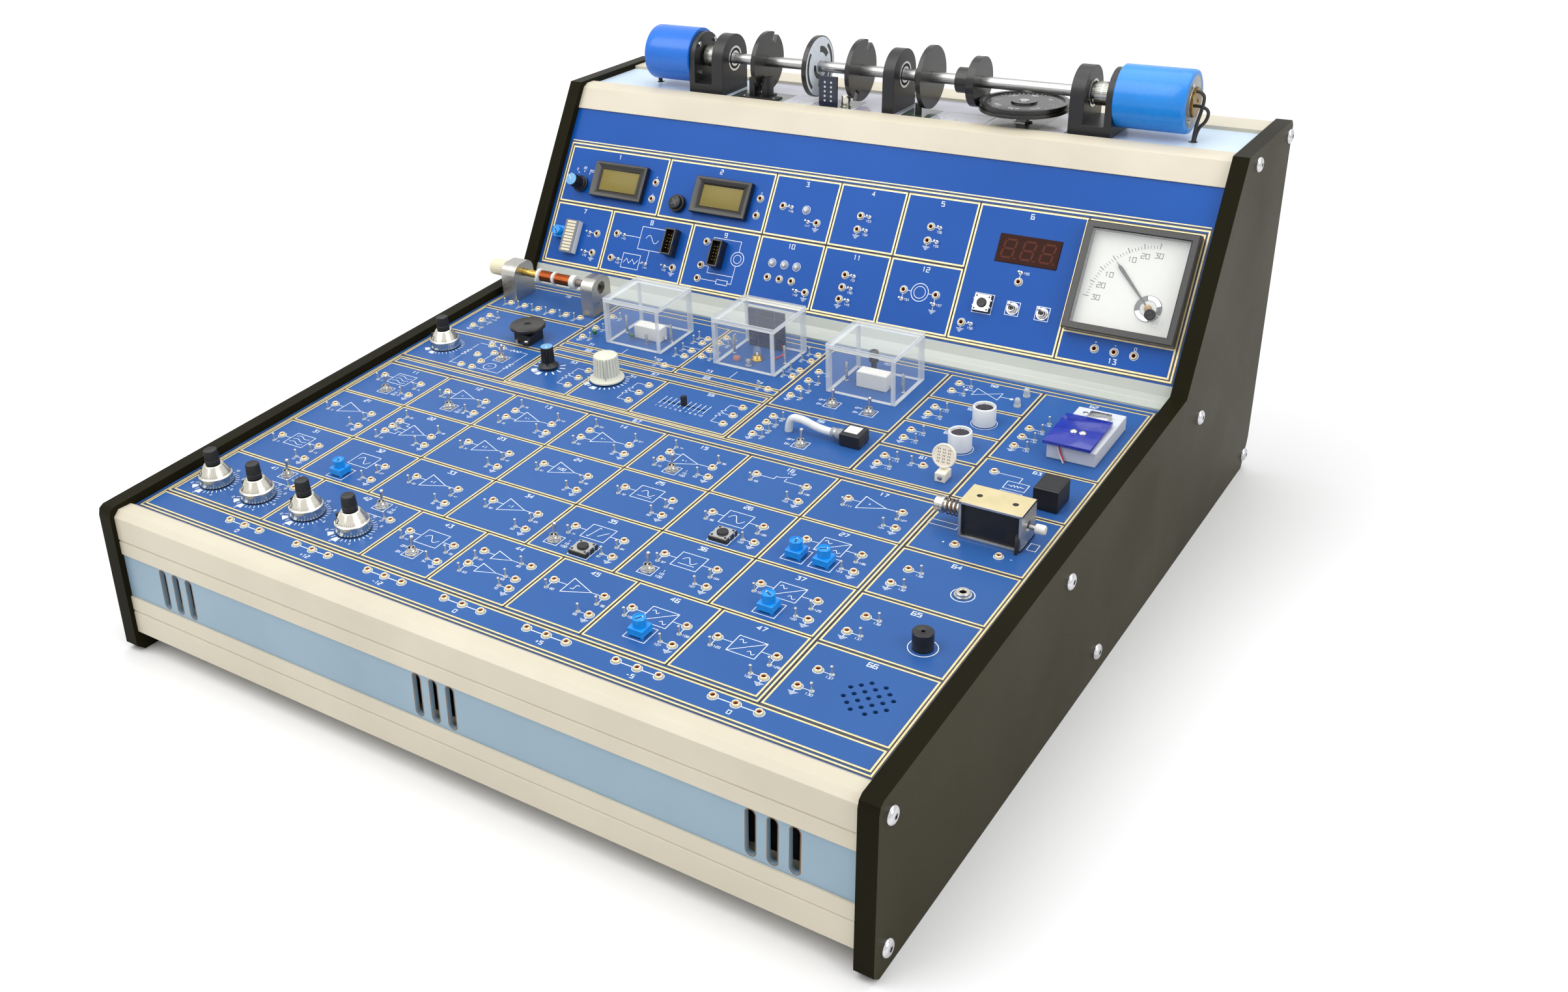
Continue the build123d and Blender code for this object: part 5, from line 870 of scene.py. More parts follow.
for x, s in rangeSpots:
    for k, text in enumerate(("1", "10", "100")):
        label(art, lower, text, x + 8.8, s + 3.0 - 3.0 * k, 1.7)
for panel, x, s, turn in (*trimmerSpots, (lower, 26.5, 87.5, 0), (lower, 88.0, 137.0, 0)):
    if panel == lower:
        frameBox(lower, x, s, 13.2)

# Front row of circuits
for k, (left, right) in enumerate(zip(frontColumns, frontColumns[1:])):
    label(art, lower, str(k + 41), (left + right) / 2, 72.0, 3.2)
for x, s, step, kind in ((-76.4, 56.0, 36.2, "wave"), (29.9, 56.0, 36.4, "triangle"),
                         (82.5, 54.8, 36.8, "slash"), (135.5, 54.8, 37.1, "slash")):
    ground(lower, x + step, s - 17.5)
    wire(lower, (x + 2.5, s), (x + 9.0, s))
    wire(lower, (x + 25.4, s), (x + 31.4, s))
    if kind == "triangle":
        triangle(lower, x + 9.0, s, 16.4, 7.0)
        wire(lower, (x + 12.0, s - 2.0), (x + 14.0, s - 2.0), (x + 14.0, s + 2.0), (x + 16.0, s + 2.0))
    else:
        frameBox(lower, x + 17.2, s, 16.4, 14.0)
        if kind == "wave":
            wave(lower, x + 17.2, s, 11.0, 5.6)
        else:
            wire(lower, (x + 9.0, s - 7.0), (x + 25.4, s + 7.0))
            wave(lower, x + 13.0, s + 3.4, 4.4, 2.4)
            wave(lower, x + 21.4, s - 3.4, 4.4, 2.4)
ground(lower, 13.1, 37.2)
for s in (60.3, 45.9):
    triangle(lower, -15.6, s, 12.4, 4.4)
    wire(lower, (-20.9, s), (-15.6, s))
    wire(lower, (-3.2, s), (8.1, s))
for x in dialColumns:
    ticks(lower, x, dialRow, 11.6, 14.2, -150, 236, 21, 0.5)
    for k in range(6):
        a = radians(-150 + 236 * k / 5)
        label(art, lower, str(2 * k), x + 16.4 * cos(a), dialRow + 16.4 * sin(a), 1.7)
for x, s in ((-176.8, 59.5), (-95.2, 59.5)):
    wire(lower, (x - 34.0, s), (x - 7.4, s))
    wire(lower, (x - 34.0, s), (x - 34.0, s + 5.0))

# Two white wedges below each scale
for x, s, inner, outer in (*[(x, dialRow, 11.8, 15.6) for x in dialColumns], (-229.6, 265.1, 11.8, 15.4),
                           (-137.0, 269.2, 8.4, 12.6), (-88.1, 271.9, 12.8, 16.6)):
    for angle in (228.0, 262.0):
        corners = ((inner, angle - 7), (outer, angle - 9), (outer, angle + 9), (inner, angle + 7))
        art.patch(lower, [(x + r * cos(radians(a)), s + r * sin(radians(a))) for r, a in corners], "print",
                  0.06)

# Power strip: sockets in threes with plain voltages
for k, text in enumerate(("0", "+12", "-12", "0", "+5", "-5", "0")):
    x = 0.3 + (k - 3) * 57.05
    for side in (-1, 1):
        wire(lower, (x + side * 2.6, 12.9), (x + side * 10.3, 12.9), width=0.6)
    label(art, lower, text, x, 6.6, 2.7)

# Sensor cells of the lower panel
ticks(lower, -229.6, 265.1, 11.6, 14.0, -120, 240, 21, 0.5)
ticks(lower, -137.0, 269.2, 8.2, 12.2, -225, 270, 11, 1.1)
ticks(lower, -88.1, 271.9, 12.6, 15.4, -225, 270, 21, 0.8)
for k in range(10):
    x = -37.0 + 3.85 * k
    wire(lower, (x, 258.6), (x, 269.8), width=0.5)
    label(art, lower, str(k + 1), x, 255.8, 1.7)
for x in (-107.8, -56.9, 17.1):
    wire(lower, (x - 2.5, 277.2), (x - 9.4, 277.2), (x - 9.4, 272.0))
    zigzag(lower, x - 9.4, 265.0, 11.0)
    wire(lower, (x - 9.4, 258.0), (x - 9.4, 252.5), (x - 2.5, 252.5))
    wire(lower, (x - 2.5, 265.0), (x - 7.8, 265.0))
for start, end in (((-190.3, 280.2), (-195.2, 280.2)), ((-208.6, 278.0), (-208.6, 244.0)),
                   ((-208.6, 280.2), (-200.2, 280.2)), ((-185.3, 280.2), (-164.8, 280.2)),
                   ((-164.8, 280.2), (-164.8, 245.5)), ((-164.8, 245.5), (-185.5, 245.5)),
                   ((-208.6, 245.5), (-200.4, 245.5)), ((-187.8, 268.0), (-187.8, 258.0))):
    wire(lower, start, end)
for x, s in ((-208.6, 264.0), (-164.8, 258.0)):
    zigzag(lower, x, s, 10.0)
zigzag(lower, -175.6, 280.2, 9.0, False)
art.ring(lower, -177.0, 252.0, 4.6, 0.45, "print")
label(art, lower, "+-", -177.0, 252.0, 2.0)
for x, s in ((-234.3, 302.3), (126.4, 251.6), (189.6, 308.2), (36.0, 306.8), (40.7, 249.5), (190.0, 39.6),
             (190.0, 90.5), (190.0, 140.0), (-146.0, 322.0), (126.4, 287.8), (126.4, 323.1)):
    ground(lower, x, s)
for x in (-237.7, -224.3, -211.0, -197.6, -184.3, -170.9):
    wire(lower, (x + 3.0, 351.4), (x + 3.0, 354.4))
for x, s in ((-234.3, 317.1), (-225.9, 317.1)):
    wire(lower, (x - 2.6, s), (x + 2.6, s))
wire(lower, (139.7, 370.0), (139.7, 360.0), (157.0, 370.0), (157.0, 360.0), (139.7, 370.0))
wire(lower, (134.0, 365.0), (139.7, 365.0))
wire(lower, (157.0, 365.0), (164.7, 365.0))
for x in (134.0, 164.7):
    art.ring(lower, x, 365.0, 0.8, 0.9, "print", steps=10)
for x, s, number in ((-201.0, 331.0, 51), (-201.0, 284.6, 52), (-125.6, 284.0, 53), (-74.6, 284.0, 54),
                     (-11.5, 284.0, 55), (71.0, 284.0, 56), (-63.0, 293.4, 57), (148.0, 377.6, 58),
                     (148.0, 341.0, 59), (148.0, 305.6, 60), (148.0, 270.2, 61), (214.0, 377.4, 62),
                     (214.0, 283.4, 63), (214.0, 170.4, 64), (214.0, 121.0, 65), (214.0, 71.6, 66),
                     (-35.0, 230.8, 67), (-128.0, 304.9, 68), (-28.0, 304.9, 69), (71.0, 377.0, 70),
                     (-132.0, 314.0, 71), (-74.0, 314.0, 72), (-32.0, 314.4, 73), (8.0, 314.4, 74),
                     (-201.0, 377.6, 75)):
    label(art, lower, str(number), x, s, 2.9 if s > 240 else 3.2)
for start, end in (((-103.5, 311.0), (-103.5, 319.0)), ((-71.0, 341.0), (-56.0, 341.0)),
                   ((-14.0, 311.0), (-14.0, 322.0)), ((15.0, 337.0), (25.0, 337.0))):
    wire(lower, start, end)
for s in (263.4, 252.0):
    frameBox(lower, 209.0, s, 13.0, 8.6)
zigzag(lower, 209.0, 263.4, 6.0, False, 1.0)
wire(lower, (194.2, 273.8), (209.0, 273.8), (209.0, 267.7))
frameBox(lower, 189.5, 207.0, 17.0, 5.0)
frameBox(lower, 241.6, 207.0, 5.0, 7.0)
label(art, lower, "+", 197.0, 190.1, 2.4)
label(art, lower, "-", 236.0, 190.1, 2.4)
art.ring(lower, 228.7, 96.6, 7.6, 0.5, "print")
art.ring(lower, 227.2, 147.7, 6.2, 0.45, "print")

# Upper panel symbols
for x, s in ((-14.1, 13.2), (13.5, 64.6), (67.6, 64.6), (13.5, 13.2), (106.5, 13.2), (-128.8, 13.2),
             (-204.7, 13.2), (-19.1, 64.4), (83.8, 21.6)):
    ground(upper, x, s, 4.2)
for x, s, number in ((-201.5, 91.6, 1), (-107.7, 91.6, 2), (-34.0, 91.6, 3), (19.0, 91.6, 4), (72.0, 91.6, 5),
                     (136.5, 91.6, 6), (-221.3, 44.6, 7), (-157.0, 44.6, 8), (-90.0, 44.6, 9),
                     (-34.0, 44.6, 10), (19.0, 44.6, 11), (72.0, 44.6, 12), (211.5, 6.2, 13)):
    label(art, upper, str(number), x, s, 3.2)
for x, s, text in ((-163.1, 80.2, "+"), (-163.1, 66.8, "-"), (-69.5, 80.2, "+"), (-69.5, 66.8, "-"),
                   (198.5, 16.6, "+"), (211.3, 16.6, "-"), (224.1, 16.6, "0")):
    label(art, upper, text, x, s, 2.0)
ticks(upper, -231.9, 65.9, 10.0, 11.4, 60, 90, 4, 0.6)
for k, text in enumerate(("200", "20", "2", "0")):
    a = radians(60 + 30 * k)
    label(art, upper, text, -231.9 + 14.2 * cos(a), 65.9 + 13.4 * sin(a), 1.7)
frameBox(upper, -153.0, 31.8, 22.4, 17.8)
frameBox(upper, -167.5, 12.2, 16.0, 11.4)
wire(upper, (-183.6, 31.7), (-164.2, 31.7))
wire(upper, (-183.6, 12.2), (-175.5, 12.2))
wire(upper, (-159.5, 12.2), (-153.0, 12.2), (-153.0, 22.9))
wave(upper, -153.0, 31.8, 12.0, 6.0)
wire(upper, *[(-174.0 + 2.6 * k, 10.4 + 3.6 * (k % 2)) for k in range(6)])
wire(upper, (-102.4, 37.6), (-99.4, 37.6), (-99.4, 41.6), (-75.5, 41.6), (-75.5, 33.8))
art.ring(upper, -75.5, 28.4, 5.4, 0.5, "print")
art.ring(upper, -75.5, 28.4, 3.2, 0.4, "print")
wire(upper, (-75.5, 23.0), (-75.5, 9.1), (-78.6, 9.1))
frameBox(upper, -83.6, 9.1, 9.6, 3.4)
wire(upper, (-88.4, 9.1), (-102.4, 9.1))
wire(upper, (-102.4, 19.4), (-98.0, 19.4), (-98.0, 14.6), (-75.5, 14.6))
art.ring(upper, 71.7, 28.2, 6.3, 0.5, "print")
art.ring(upper, 71.7, 28.2, 4.2, 0.4, "print")
wire(upper, (62.2, 28.2), (65.4, 28.2))
wire(upper, (78.0, 28.2), (81.2, 28.2))
for x, s, size in ((118.0, 28.4, 13.4), (138.8, 28.4, 9.2), (159.4, 28.4, 9.2)):
    frameBox(upper, x, s, size)
for x, s in lampSpots:
    art.ring(upper, x, s, 3.1, 0.4, "print", steps=16)
art.piece("circuit_prints", slot="board")
print("prints", pinNumber)

# Frames for the fittings: turned parts that lie along x, and the place of each moving piece
shaftLine = Matrix.Translation((0, 0.236, 0.281)) @ Matrix.Scale(mm, 4)
transformer = at(lower, 0, 364.7, 20.5)
solenoid = at(lower, 0, 208.8, 11.5)
lyingAlongX = Matrix.Rotation(pi / 2, 4, "Y")


def across(place, x):
    return at(place, x, 0, 0) @ lyingAlongX


hingeSpots = {}
for joint in frame["joints"]:
    for panel in (lower, upper):
        if joint["type"] == "hinge":
            local = panel.inverted() @ Vector(joint["pos_m"])
            if abs(local.z) < 4.0:
                hingeSpots[joint["child"]] = (panel, local.x, local.y)
buttonSpots = {}
for node in frame["nodes"]:
    if node.endswith("_button"):
        middle = (Vector(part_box(node)[0]) + Vector(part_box(node)[1])) / 2
        panel = upper if middle.y > 0.115 else lower
        local = panel.inverted() @ middle
        buttonSpots[node] = (panel, local.x, local.y)


def spotsOf(ending):
    return [spot for node, spot in hingeSpots.items() if node.endswith(ending)]


# Switches: hex nut, washer and threaded bushing over a closed body under the board
toggle = dict(nut=3.66, washer=4.1, body=(8.0, 12.8, 9.4), pivot=2.0, lean=-12.0)
nutCorners = [(toggle["nut"] * cos(radians(60 * k)), toggle["nut"] * sin(radians(60 * k))) for k in range(6)]
threads = [(2.5 - 0.16 * (k % 2), 1.5 + 0.24 * k) for k in range(9)]
switches = Form()
for panel, x, s in spotsOf("_toggle"):
    here = at(panel, x, s)
    switches.lathe(here, ((2.5, 0.02), (toggle["washer"], 0.02), (toggle["washer"], 0.3), (2.5, 0.34)),
                   "nickel", 24)
    switches.prism(at(panel, x, s, 0, 12), nutCorners, 0.3, 1.8, "nickel", bevel=0.22)
    switches.lathe(here, ((1.8, 0.7), (1.8, 3.8), (1.95, 4.0), (2.3, 4.0), *reversed(threads), (2.5, -1.6),
                          (1.8, -1.6), (1.8, 0.7)), "nickel", 20)
    switches.box(at(panel, x, s, -11.1), toggle["body"], "bluePlastic", 0.5)
switches.piece("switch_bodies", slot="nickel", replaces=("control_bodies",))
for node, (panel, x, s) in hingeSpots.items():
    if node.endswith("_toggle"):
        lever = Form()
        here = at(panel, x, s, toggle["pivot"]) @ Matrix.Rotation(radians(toggle["lean"]), 4, "X")
        lever.lathe(here, ((0.0, -1.4), (0.9, -1.1), (1.35, -0.4), (1.35, 0.4), (0.8, 1.2), (0.72, 2.0),
                           (0.8, 4.0), (1.2, 7.2), (1.34, 7.9), (1.2, 8.6), (0.7, 9.05), (0.0, 9.15)), "chrome",
                    18)
        lever.lathe(across(at(panel, x, s, toggle["pivot"]), -1.6),
                    ((0.0, 0.0), (0.5, 0.0), (0.5, 3.2), (0.0, 3.2)), "steel", 12)
        lever.piece(node + "_lever", node, "nickel", (node,))
print("switches")

# Ten-turn dials: bright body with a cone, engraved marks, digit window and brake; fluted black knob
dial = dict(radius=10.75, slope=58.0, marks=50, long=1.5, short=0.8, window=240.0, brake=(3.2, 2.6, 6.0),
            flute=0.24)
dialBodies = Form()
coneTilt = Matrix.Rotation(radians(dial["slope"]), 4, "Y")
for panel, x, s in [spot for node, spot in hingeSpots.items() if "_dial" in node]:
    here = at(panel, x, s)
    dialBodies.lathe(here, ((4.7, 0.02), (10.7, 0.02), (10.7, 0.7), (4.7, 0.7)), "black", 48)
    dialBodies.lathe(here, ((3.1, 0.7), (10.5, 0.7), (dial["radius"], 0.95), (dial["radius"], 6.2),
                            (10.45, 6.6), (10.0, 6.75), (9.85, 6.95), (6.1, 13.0), (5.7, 13.4), (5.3, 13.5),
                            (3.1, 13.5), (3.1, 0.7)), "chromeWarm", 64)
    for k in range(dial["marks"]):
        turned = at(here, 0, 0, 0, 360 / dial["marks"] * k)
        long = dial["short"] if k % 5 else dial["long"]
        mark = at(turned, 9.62 - long * 0.264, 0, 7.32 + long * 0.424) @ coneTilt
        dialBodies.box(mark, (long, 0.16, 0.05), "ink", 0)
    window = at(at(here, 0, 0, 0, dial["window"]), 8.85, 0, 8.45) @ coneTilt
    dialBodies.lathe(window, ((1.75, -0.3), (1.75, 0.12), (1.45, 0.2), (1.4, 0.05), (0.0, 0.05)), "black", 24)
    dialBodies.lathe(window, ((1.25, 0.04), (1.25, 0.1), (0.0, 0.1)), "white", 20)
    label(dialBodies, at(window, 0, 0, 0, 90), "0", 0, 0, 1.3, "ink", 0.26, 0.13)
    brake = at(at(here, 0, 0, 0, 180), 10.9, 0, 2.0)
    dialBodies.box(brake, dial["brake"], "black", 0.5, 3)
    for k in range(5):
        dialBodies.box(at(brake, 1.55, -0.9 + 0.45 * k, 0.8), (0.14, 0.2, 4.4), "black", 0.05, 1)
    dialBodies.lathe(here, ((0.0, -20.6), (10.6, -20.6), (11.0, -20.2), (11.0, -1.65), (4.7, -1.65),
                            (4.7, 0.02), (3.1, 0.02), (3.1, -9.6), (0.0, -9.6)), "bluePlastic", 32)
dialBodies.piece("dial_bodies", slot="screw", replaces=("control_bodies",))
for node, (panel, x, s) in hingeSpots.items():
    if "_dial" in node:
        knob = Form()
        knob.lathe(at(panel, x, s), ((0.0, -8.5), (3.0, -8.5), (3.0, 13.8), (4.4, 13.8), (4.7, 14.1),
                                     (4.66, 16.4), (4.45, 16.6), (4.62, 16.8, 1), (4.3, 22.6, 1), (4.1, 23.2),
                                     (3.7, 23.5), (3.2, 23.3), (0.0, 23.3)), "black", 96, flute=dial["flute"])
        knob.piece(node + "_knob", node, "black_plastic", (node,))
print("dials")

# Push buttons: black body with a bright top plate, four rivets and side lugs
button = dict(half=6.0, height=2.6, plate=5.6, hole=3.5, rivets=4.4, lugs=2.4)
tacts = Form()
for panel, x, s in buttonSpots.values():
    here = at(panel, x, s)
    half, height = button["half"], button["height"]
    tacts.tiers(here, ((half - 0.2, half - 0.2, 0.02), (half, half, 0.3), (half, half, height - 0.2),
                       (half - 0.3, half - 0.3, height)), "black")
    tacts.plate(here, (button["plate"], button["plate"]), button["hole"], height, height + 0.6, "steelBright")
    for side in (-1, 1):
        for end in (-1, 1):
            tacts.lathe(at(here, side * button["rivets"], end * button["rivets"]),
                        ((0.75, 3.2), (0.7, 3.42), (0.0, 3.48)), "black", 10)
            tacts.box(at(here, side * (half + 0.05), end * button["lugs"]), (0.5, 1.0, 2.9), "steelBright",
                      0.08, 1)
tacts.piece("button_bodies", slot="black_plastic", replaces=("control_bodies",))
for node, (panel, x, s) in buttonSpots.items():
    cap = Form()
    cap.lathe(at(panel, x, s), ((0.0, 1.3), (3.4, 1.3), (3.4, 4.0), (3.2, 4.3), (2.9, 4.38), (2.2, 4.3),
                                (0.0, 4.25)), "black", 32)
    cap.piece(node + "_cap", node, "black_plastic", (node,))

# Trimmers: square body on corner feet, and a round knob with a slot and an arrow
trimmer = dict(half=4.75, low=0.7, height=5.0, knob=3.75, top=10.25, slot=(0.9, 5.2, 0.16))
trimmers = Form()
for panel, x, s, turn in trimmerSpots:
    here = at(panel, x, s)
    half, height, radius, top = trimmer["half"], trimmer["height"], trimmer["knob"], trimmer["top"]
    trimmers.tiers(here, ((half - 0.15, half - 0.15, trimmer["low"]), (half, half, trimmer["low"] + 0.15),
                          (half, half, height - 0.3), (half - 0.25, half - 0.25, height)), "trimBlue")
    for side in (-1, 1):
        for end in (-1, 1):
            trimmers.box(at(here, side * 3.9, end * 3.9), (1.5, 1.5, 0.9), "trimBlue", 0.1, 1)
            trimmers.box(at(here, side * 4.7, end * 1.7, 0.9), (0.3, 1.1, 3.6), "trimBlue", 0.08, 1)
    trimmers.lathe(here, ((radius, height - 0.1), (radius, top - 0.45), (radius - 0.3, top - 0.05), (3.0, top),
                          (2.85, top - 0.55), (0.0, top - 0.55)), "trimBlue", 32)
    turned = at(panel, x, s, 0, turn)
    trimmers.box(at(turned, 0, 0, 9.6), trimmer["slot"], "blueDark", 0)
    trimmers.patch(turned, ((-0.7, 1.7), (0.7, 1.7), (0.0, 2.8)), "print", 9.78)
trimmers.piece("trimmers", slot="black_plastic", replaces=("control_bodies",))

# Bodies of the knobs and of the slide, mostly under the board, and the capacitor's body with its screw
knobPots = Form()
for node in ("carbon_track_knob", "wound_track_knob", "range_knob", "capacitor_disc"):
    panel, x, s = hingeSpots[node]
    knobPots.lathe(at(panel, x, s), ((0.0, -10.6), (7.7, -10.6), (8.0, -10.3), (8.0, -1.65), (3.4, -1.65),
                                     (3.4, 1.0), (3.1, 1.0), (3.1, -7.6), (0.0, -7.6)), "zinc", 28)
panel, x, s = hingeSpots["capacitor_disc"]
knobPots.plate(at(panel, x, s), (7.5, 7.5), 3.1, 0.02, 7.0, "black")
knobPots.tiers(at(panel, x + 4.5, s - 8.4), ((2.6, 1.9, 0.02), (2.6, 1.9, 2.6), (2.3, 1.6, 2.9)), "black")
knobPots.lathe(at(panel, x + 4.5, s - 8.4), ((1.7, 2.9), (1.7, 3.3), (1.2, 3.9), (0.0, 4.2)), "chrome", 18)
knobPots.lathe(at(panel, x - 5.0, s - 8.0), ((1.2, 0.02), (1.2, 2.6), (0.0, 3.0)), "nickel", 14)
slide = at(lower, -19.6, 263.2)
knobPots.box(at(slide, 0, 0, -8.1), (44.0, 8.0, 1.0), "zinc", 0.2, 1)
for side in (-1, 1):
    knobPots.box(at(slide, 0, side * 2.45, -7.1), (44.0, 3.1, 5.4), "zinc", 0.2, 1)
knobPots.piece("knob_pots", slot="black_plastic", replaces=("control_bodies",))
print("buttons and trimmers")

# Knobs: ribbed barrels on a flared skirt, with a pointer ridge and a coloured cap
knobs = {
    "carbon_track_knob": dict(skirt=7.2, barrel=4.8, top=16.9, ribs=18, pointer=-60.0, body="black",
                              cap="skyCap", slot="black_plastic"),
    "wound_track_knob": dict(skirt=12.0, barrel=9.2, top=19.0, ribs=24, pointer=-60.0, body="grey", cap="grey",
                             slot="grey_plastic"),
    "range_knob": dict(skirt=6.6, barrel=5.2, top=15.5, ribs=18, pointer=133.0, body="black", cap="skyCap",
                       slot="black_plastic"),
}
for node, knob in knobs.items():
    panel, x, s = hingeSpots[node]
    here = at(panel, x, s)
    skirt, barrel, top = knob["skirt"], knob["barrel"], knob["top"]
    form = Form()
    form.lathe(here, ((0.0, -7.0), (3.0, -7.0), (3.0, 1.3), (skirt - 0.2, 1.3), (skirt, 1.5), (skirt, 2.3),
                      (skirt - 0.6, 2.8), (barrel + 0.7, 3.6), (barrel + 0.1, 4.6), (barrel, 5.0, 1),
                      (barrel * 0.93, top - 1.0, 1), (barrel * 0.9, top - 0.6), (barrel * 0.8, top - 0.25),
                      (0.0, top - 0.2)), knob["body"], knob["ribs"] * 4, flute=0.5)
    form.lathe(here, ((barrel * 0.88, top - 0.5), (barrel * 0.88, top - 0.1), (barrel * 0.8, top), (0.0, top)),
               knob["cap"], 40)
    ridge = at(panel, x, s, 0, knob["pointer"])
    form.prism(ridge, ((barrel * 0.86, -0.55), (barrel + 0.6, -0.5), (barrel + 0.6, 0.5),
                       (barrel * 0.86, 0.55)), 3.0, top - 0.3, knob["body"], bevel=0.15)
    form.box(at(ridge, barrel * 0.45, 0, top - 0.05), (barrel * 0.9, 0.35, 0.06), "print", 0)
    form.piece(node + "_form", node, knob["slot"], (node,))
disc = Form()
panel, x, s = hingeSpots["capacitor_disc"]
disc.lathe(at(panel, x, s), ((0.0, -6.0), (3.0, -6.0), (3.0, 10.0), (12.4, 10.0), (13.2, 10.7), (13.2, 12.2),
                             (12.6, 12.9), (12.0, 13.0), (11.6, 12.85), (3.2, 12.85), (3.0, 13.0), (2.4, 13.0),
                             (2.2, 12.3), (0.0, 12.2)), "blackSatin", 64)
disc.piece("capacitor_disc_form", "capacitor_disc", "black_plastic", ("capacitor_disc",))
lever = Form()
lever.box(at(slide, 0, 0, -4.6), (2.4, 1.1, 5.0), "black", 0.1, 1)
lever.tiers(slide, ((1.7, 1.3, 0.3), (1.7, 1.3, 6.6), (1.3, 0.9, 7.3), (0.9, 0.5, 7.6)), "black")
for k in range(4):
    lever.box(at(slide, 0, 0, 5.0 + 0.5 * k), (3.5, 2.7, 0.14), "black", 0)
lever.piece("slide_lever_form", "slide_lever", "black_plastic", ("slide_lever",))
print("knobs")

# Instruments of the upper board
instruments = Form()
for x, s in ((-194.7, 71.6), (-100.6, 71.5)):
    here = at(upper, x, s)
    instruments.tiers(here, ((22.0, 11.9, -12.0), (22.0, 11.9, 0.1)), "black")
    instruments.tiers(here, ((24.0, 13.8, 0.02), (24.2, 14.0, 0.3), (24.2, 14.0, 5.4), (23.7, 13.5, 6.0),
                             (22.6, 12.4, 6.0), (17.4, 8.5, 3.4), (17.3, 8.3, 3.0)), "blackSheen")
    instruments.tiers(here, ((17.25, 8.25, 3.02), (17.25, 8.25, 3.4), (17.0, 8.0, 3.5)), "lens")
    instruments.ribbon(here, [(-16.2, -7.3), (16.2, -7.3), (16.2, 7.3), (-16.2, 7.3)], 0.25, "lensLine", 3.52,
                       True)
bar = at(upper, -226.3, 22.5)
instruments.tiers(bar, ((5.9, 12.9, 0.02), (6.0, 13.0, 0.2), (6.0, 13.0, 6.2)), "white")
instruments.tiers(bar, ((6.0, 13.0, 6.2), (6.0, 13.0, 6.8), (5.8, 12.8, 7.0)), "barGrey")
bars = dict(count=10, pitch=2.5, size=(8.2, 1.7, 0.14))
for k in range(bars["count"]):
    s = bars["pitch"] * (k - (bars["count"] - 1) / 2)
    instruments.box(at(bar, 0, s, 6.96), bars["size"], "cream", 0.06, 1)
window = at(upper, 139.5, 68.1)
instruments.tiers(window, ((21.5, 9.7, -7.3), (21.5, 9.7, 0.4), (21.3, 9.5, 0.6)), "redWindow")
segments = (((-3.2, 6.2), (3.2, 6.2)), ((-3.2, 0), (3.2, 0)), ((-3.2, -6.2), (3.2, -6.2)),
            ((-3.9, 5.5), (-3.9, 0.7)), ((3.9, 5.5), (3.9, 0.7)), ((-3.9, -0.7), (-3.9, -5.5)),
            ((3.9, -0.7), (3.9, -5.5)))
digits = dict(pitch=13.4, lean=0.14, stroke=1.3)
for digit in (-1, 0, 1):
    middle = digits["pitch"] * digit
    for segment in segments:
        instruments.ribbon(window, [(middle + u + v * digits["lean"], v) for u, v in segment], digits["stroke"],
                           "redDim", 0.63)
    instruments.ring(window, middle + 5.2, -6.4, 0.35, 0.7, "redDim", 0.63, 10)
pinPitch = 2.54
for x, s in ((-133.5, 31.5), (-91.3, 29.0)):
    here = at(upper, x, s)
    instruments.tiers(here, ((4.4, 10.05, 0.02), (4.5, 10.15, 0.2), (4.5, 10.15, 8.75), (4.35, 10.0, 9.0),
                             (3.5, 9.15, 9.0), (3.35, 9.0, 8.7), (3.3, 8.95, 2.0)), "blackSheen")
    instruments.box(at(upper, x + 4.1, s), (1.0, 4.2, 9.2), "blackGloss", 0.1, 1)
    for column in (-pinPitch / 2, pinPitch / 2):
        for row in range(5):
            pin = at(upper, x + column, s + pinPitch * (row - 2))
            instruments.tiers(pin, ((0.32, 0.32, 2.0), (0.32, 0.32, 7.0), (0.14, 0.14, 7.5)), "goldPin")
domeLamp = ((0.0, 0.02), (2.4, 0.02), (2.4, 0.7), (2.1, 0.8), (2.05, 1.6), (1.85, 2.4), (1.35, 3.05),
            (0.7, 3.35), (0.0, 3.4))
for x, s in lampSpots:
    instruments.lathe(at(upper, x, s), domeLamp, "lampClear", 20)
    instruments.lathe(at(upper, x, s), ((1.0, 0.3), (1.3, 1.3), (0.9, 1.3), (0.0, 0.7)), "chrome", 12)
fuse = at(upper, -138.2, 62.4)
instruments.lathe(fuse, ((5.25, -28.0), (5.8, -28.0), (5.8, 0.02), (6.8, 0.02), (6.8, 3.3), (6.4, 3.9),
                         (5.5, 4.0), (5.25, 3.7), (5.25, -28.0)), "black", 36)
instruments.lathe(fuse, ((0.0, -30.0), (5.8, -30.0), (5.8, -28.0), (0.0, -28.0)), "black", 24)
instruments.piece("instruments", slot="black_plastic", replaces=("panel_instruments",))

cap = Form()
cap.lathe(fuse, ((0.0, -26.0), (3.6, -26.0), (3.6, 0.0), (5.2, 0.0), (5.2, 4.2, 1), (5.15, 6.0, 1), (4.9, 6.7),
                 (4.3, 7.0), (0.0, 7.0)), "black", 72, flute=0.25)
for turn in (40.0, 130.0):
    cap.box(at(fuse, 0, 0, 6.97, turn), (5.6, 0.7, 0.06), "blackGloss", 0)
cap.piece("fuse_cap_form", "fuse_cap", "black_plastic", ("fuse_cap",))

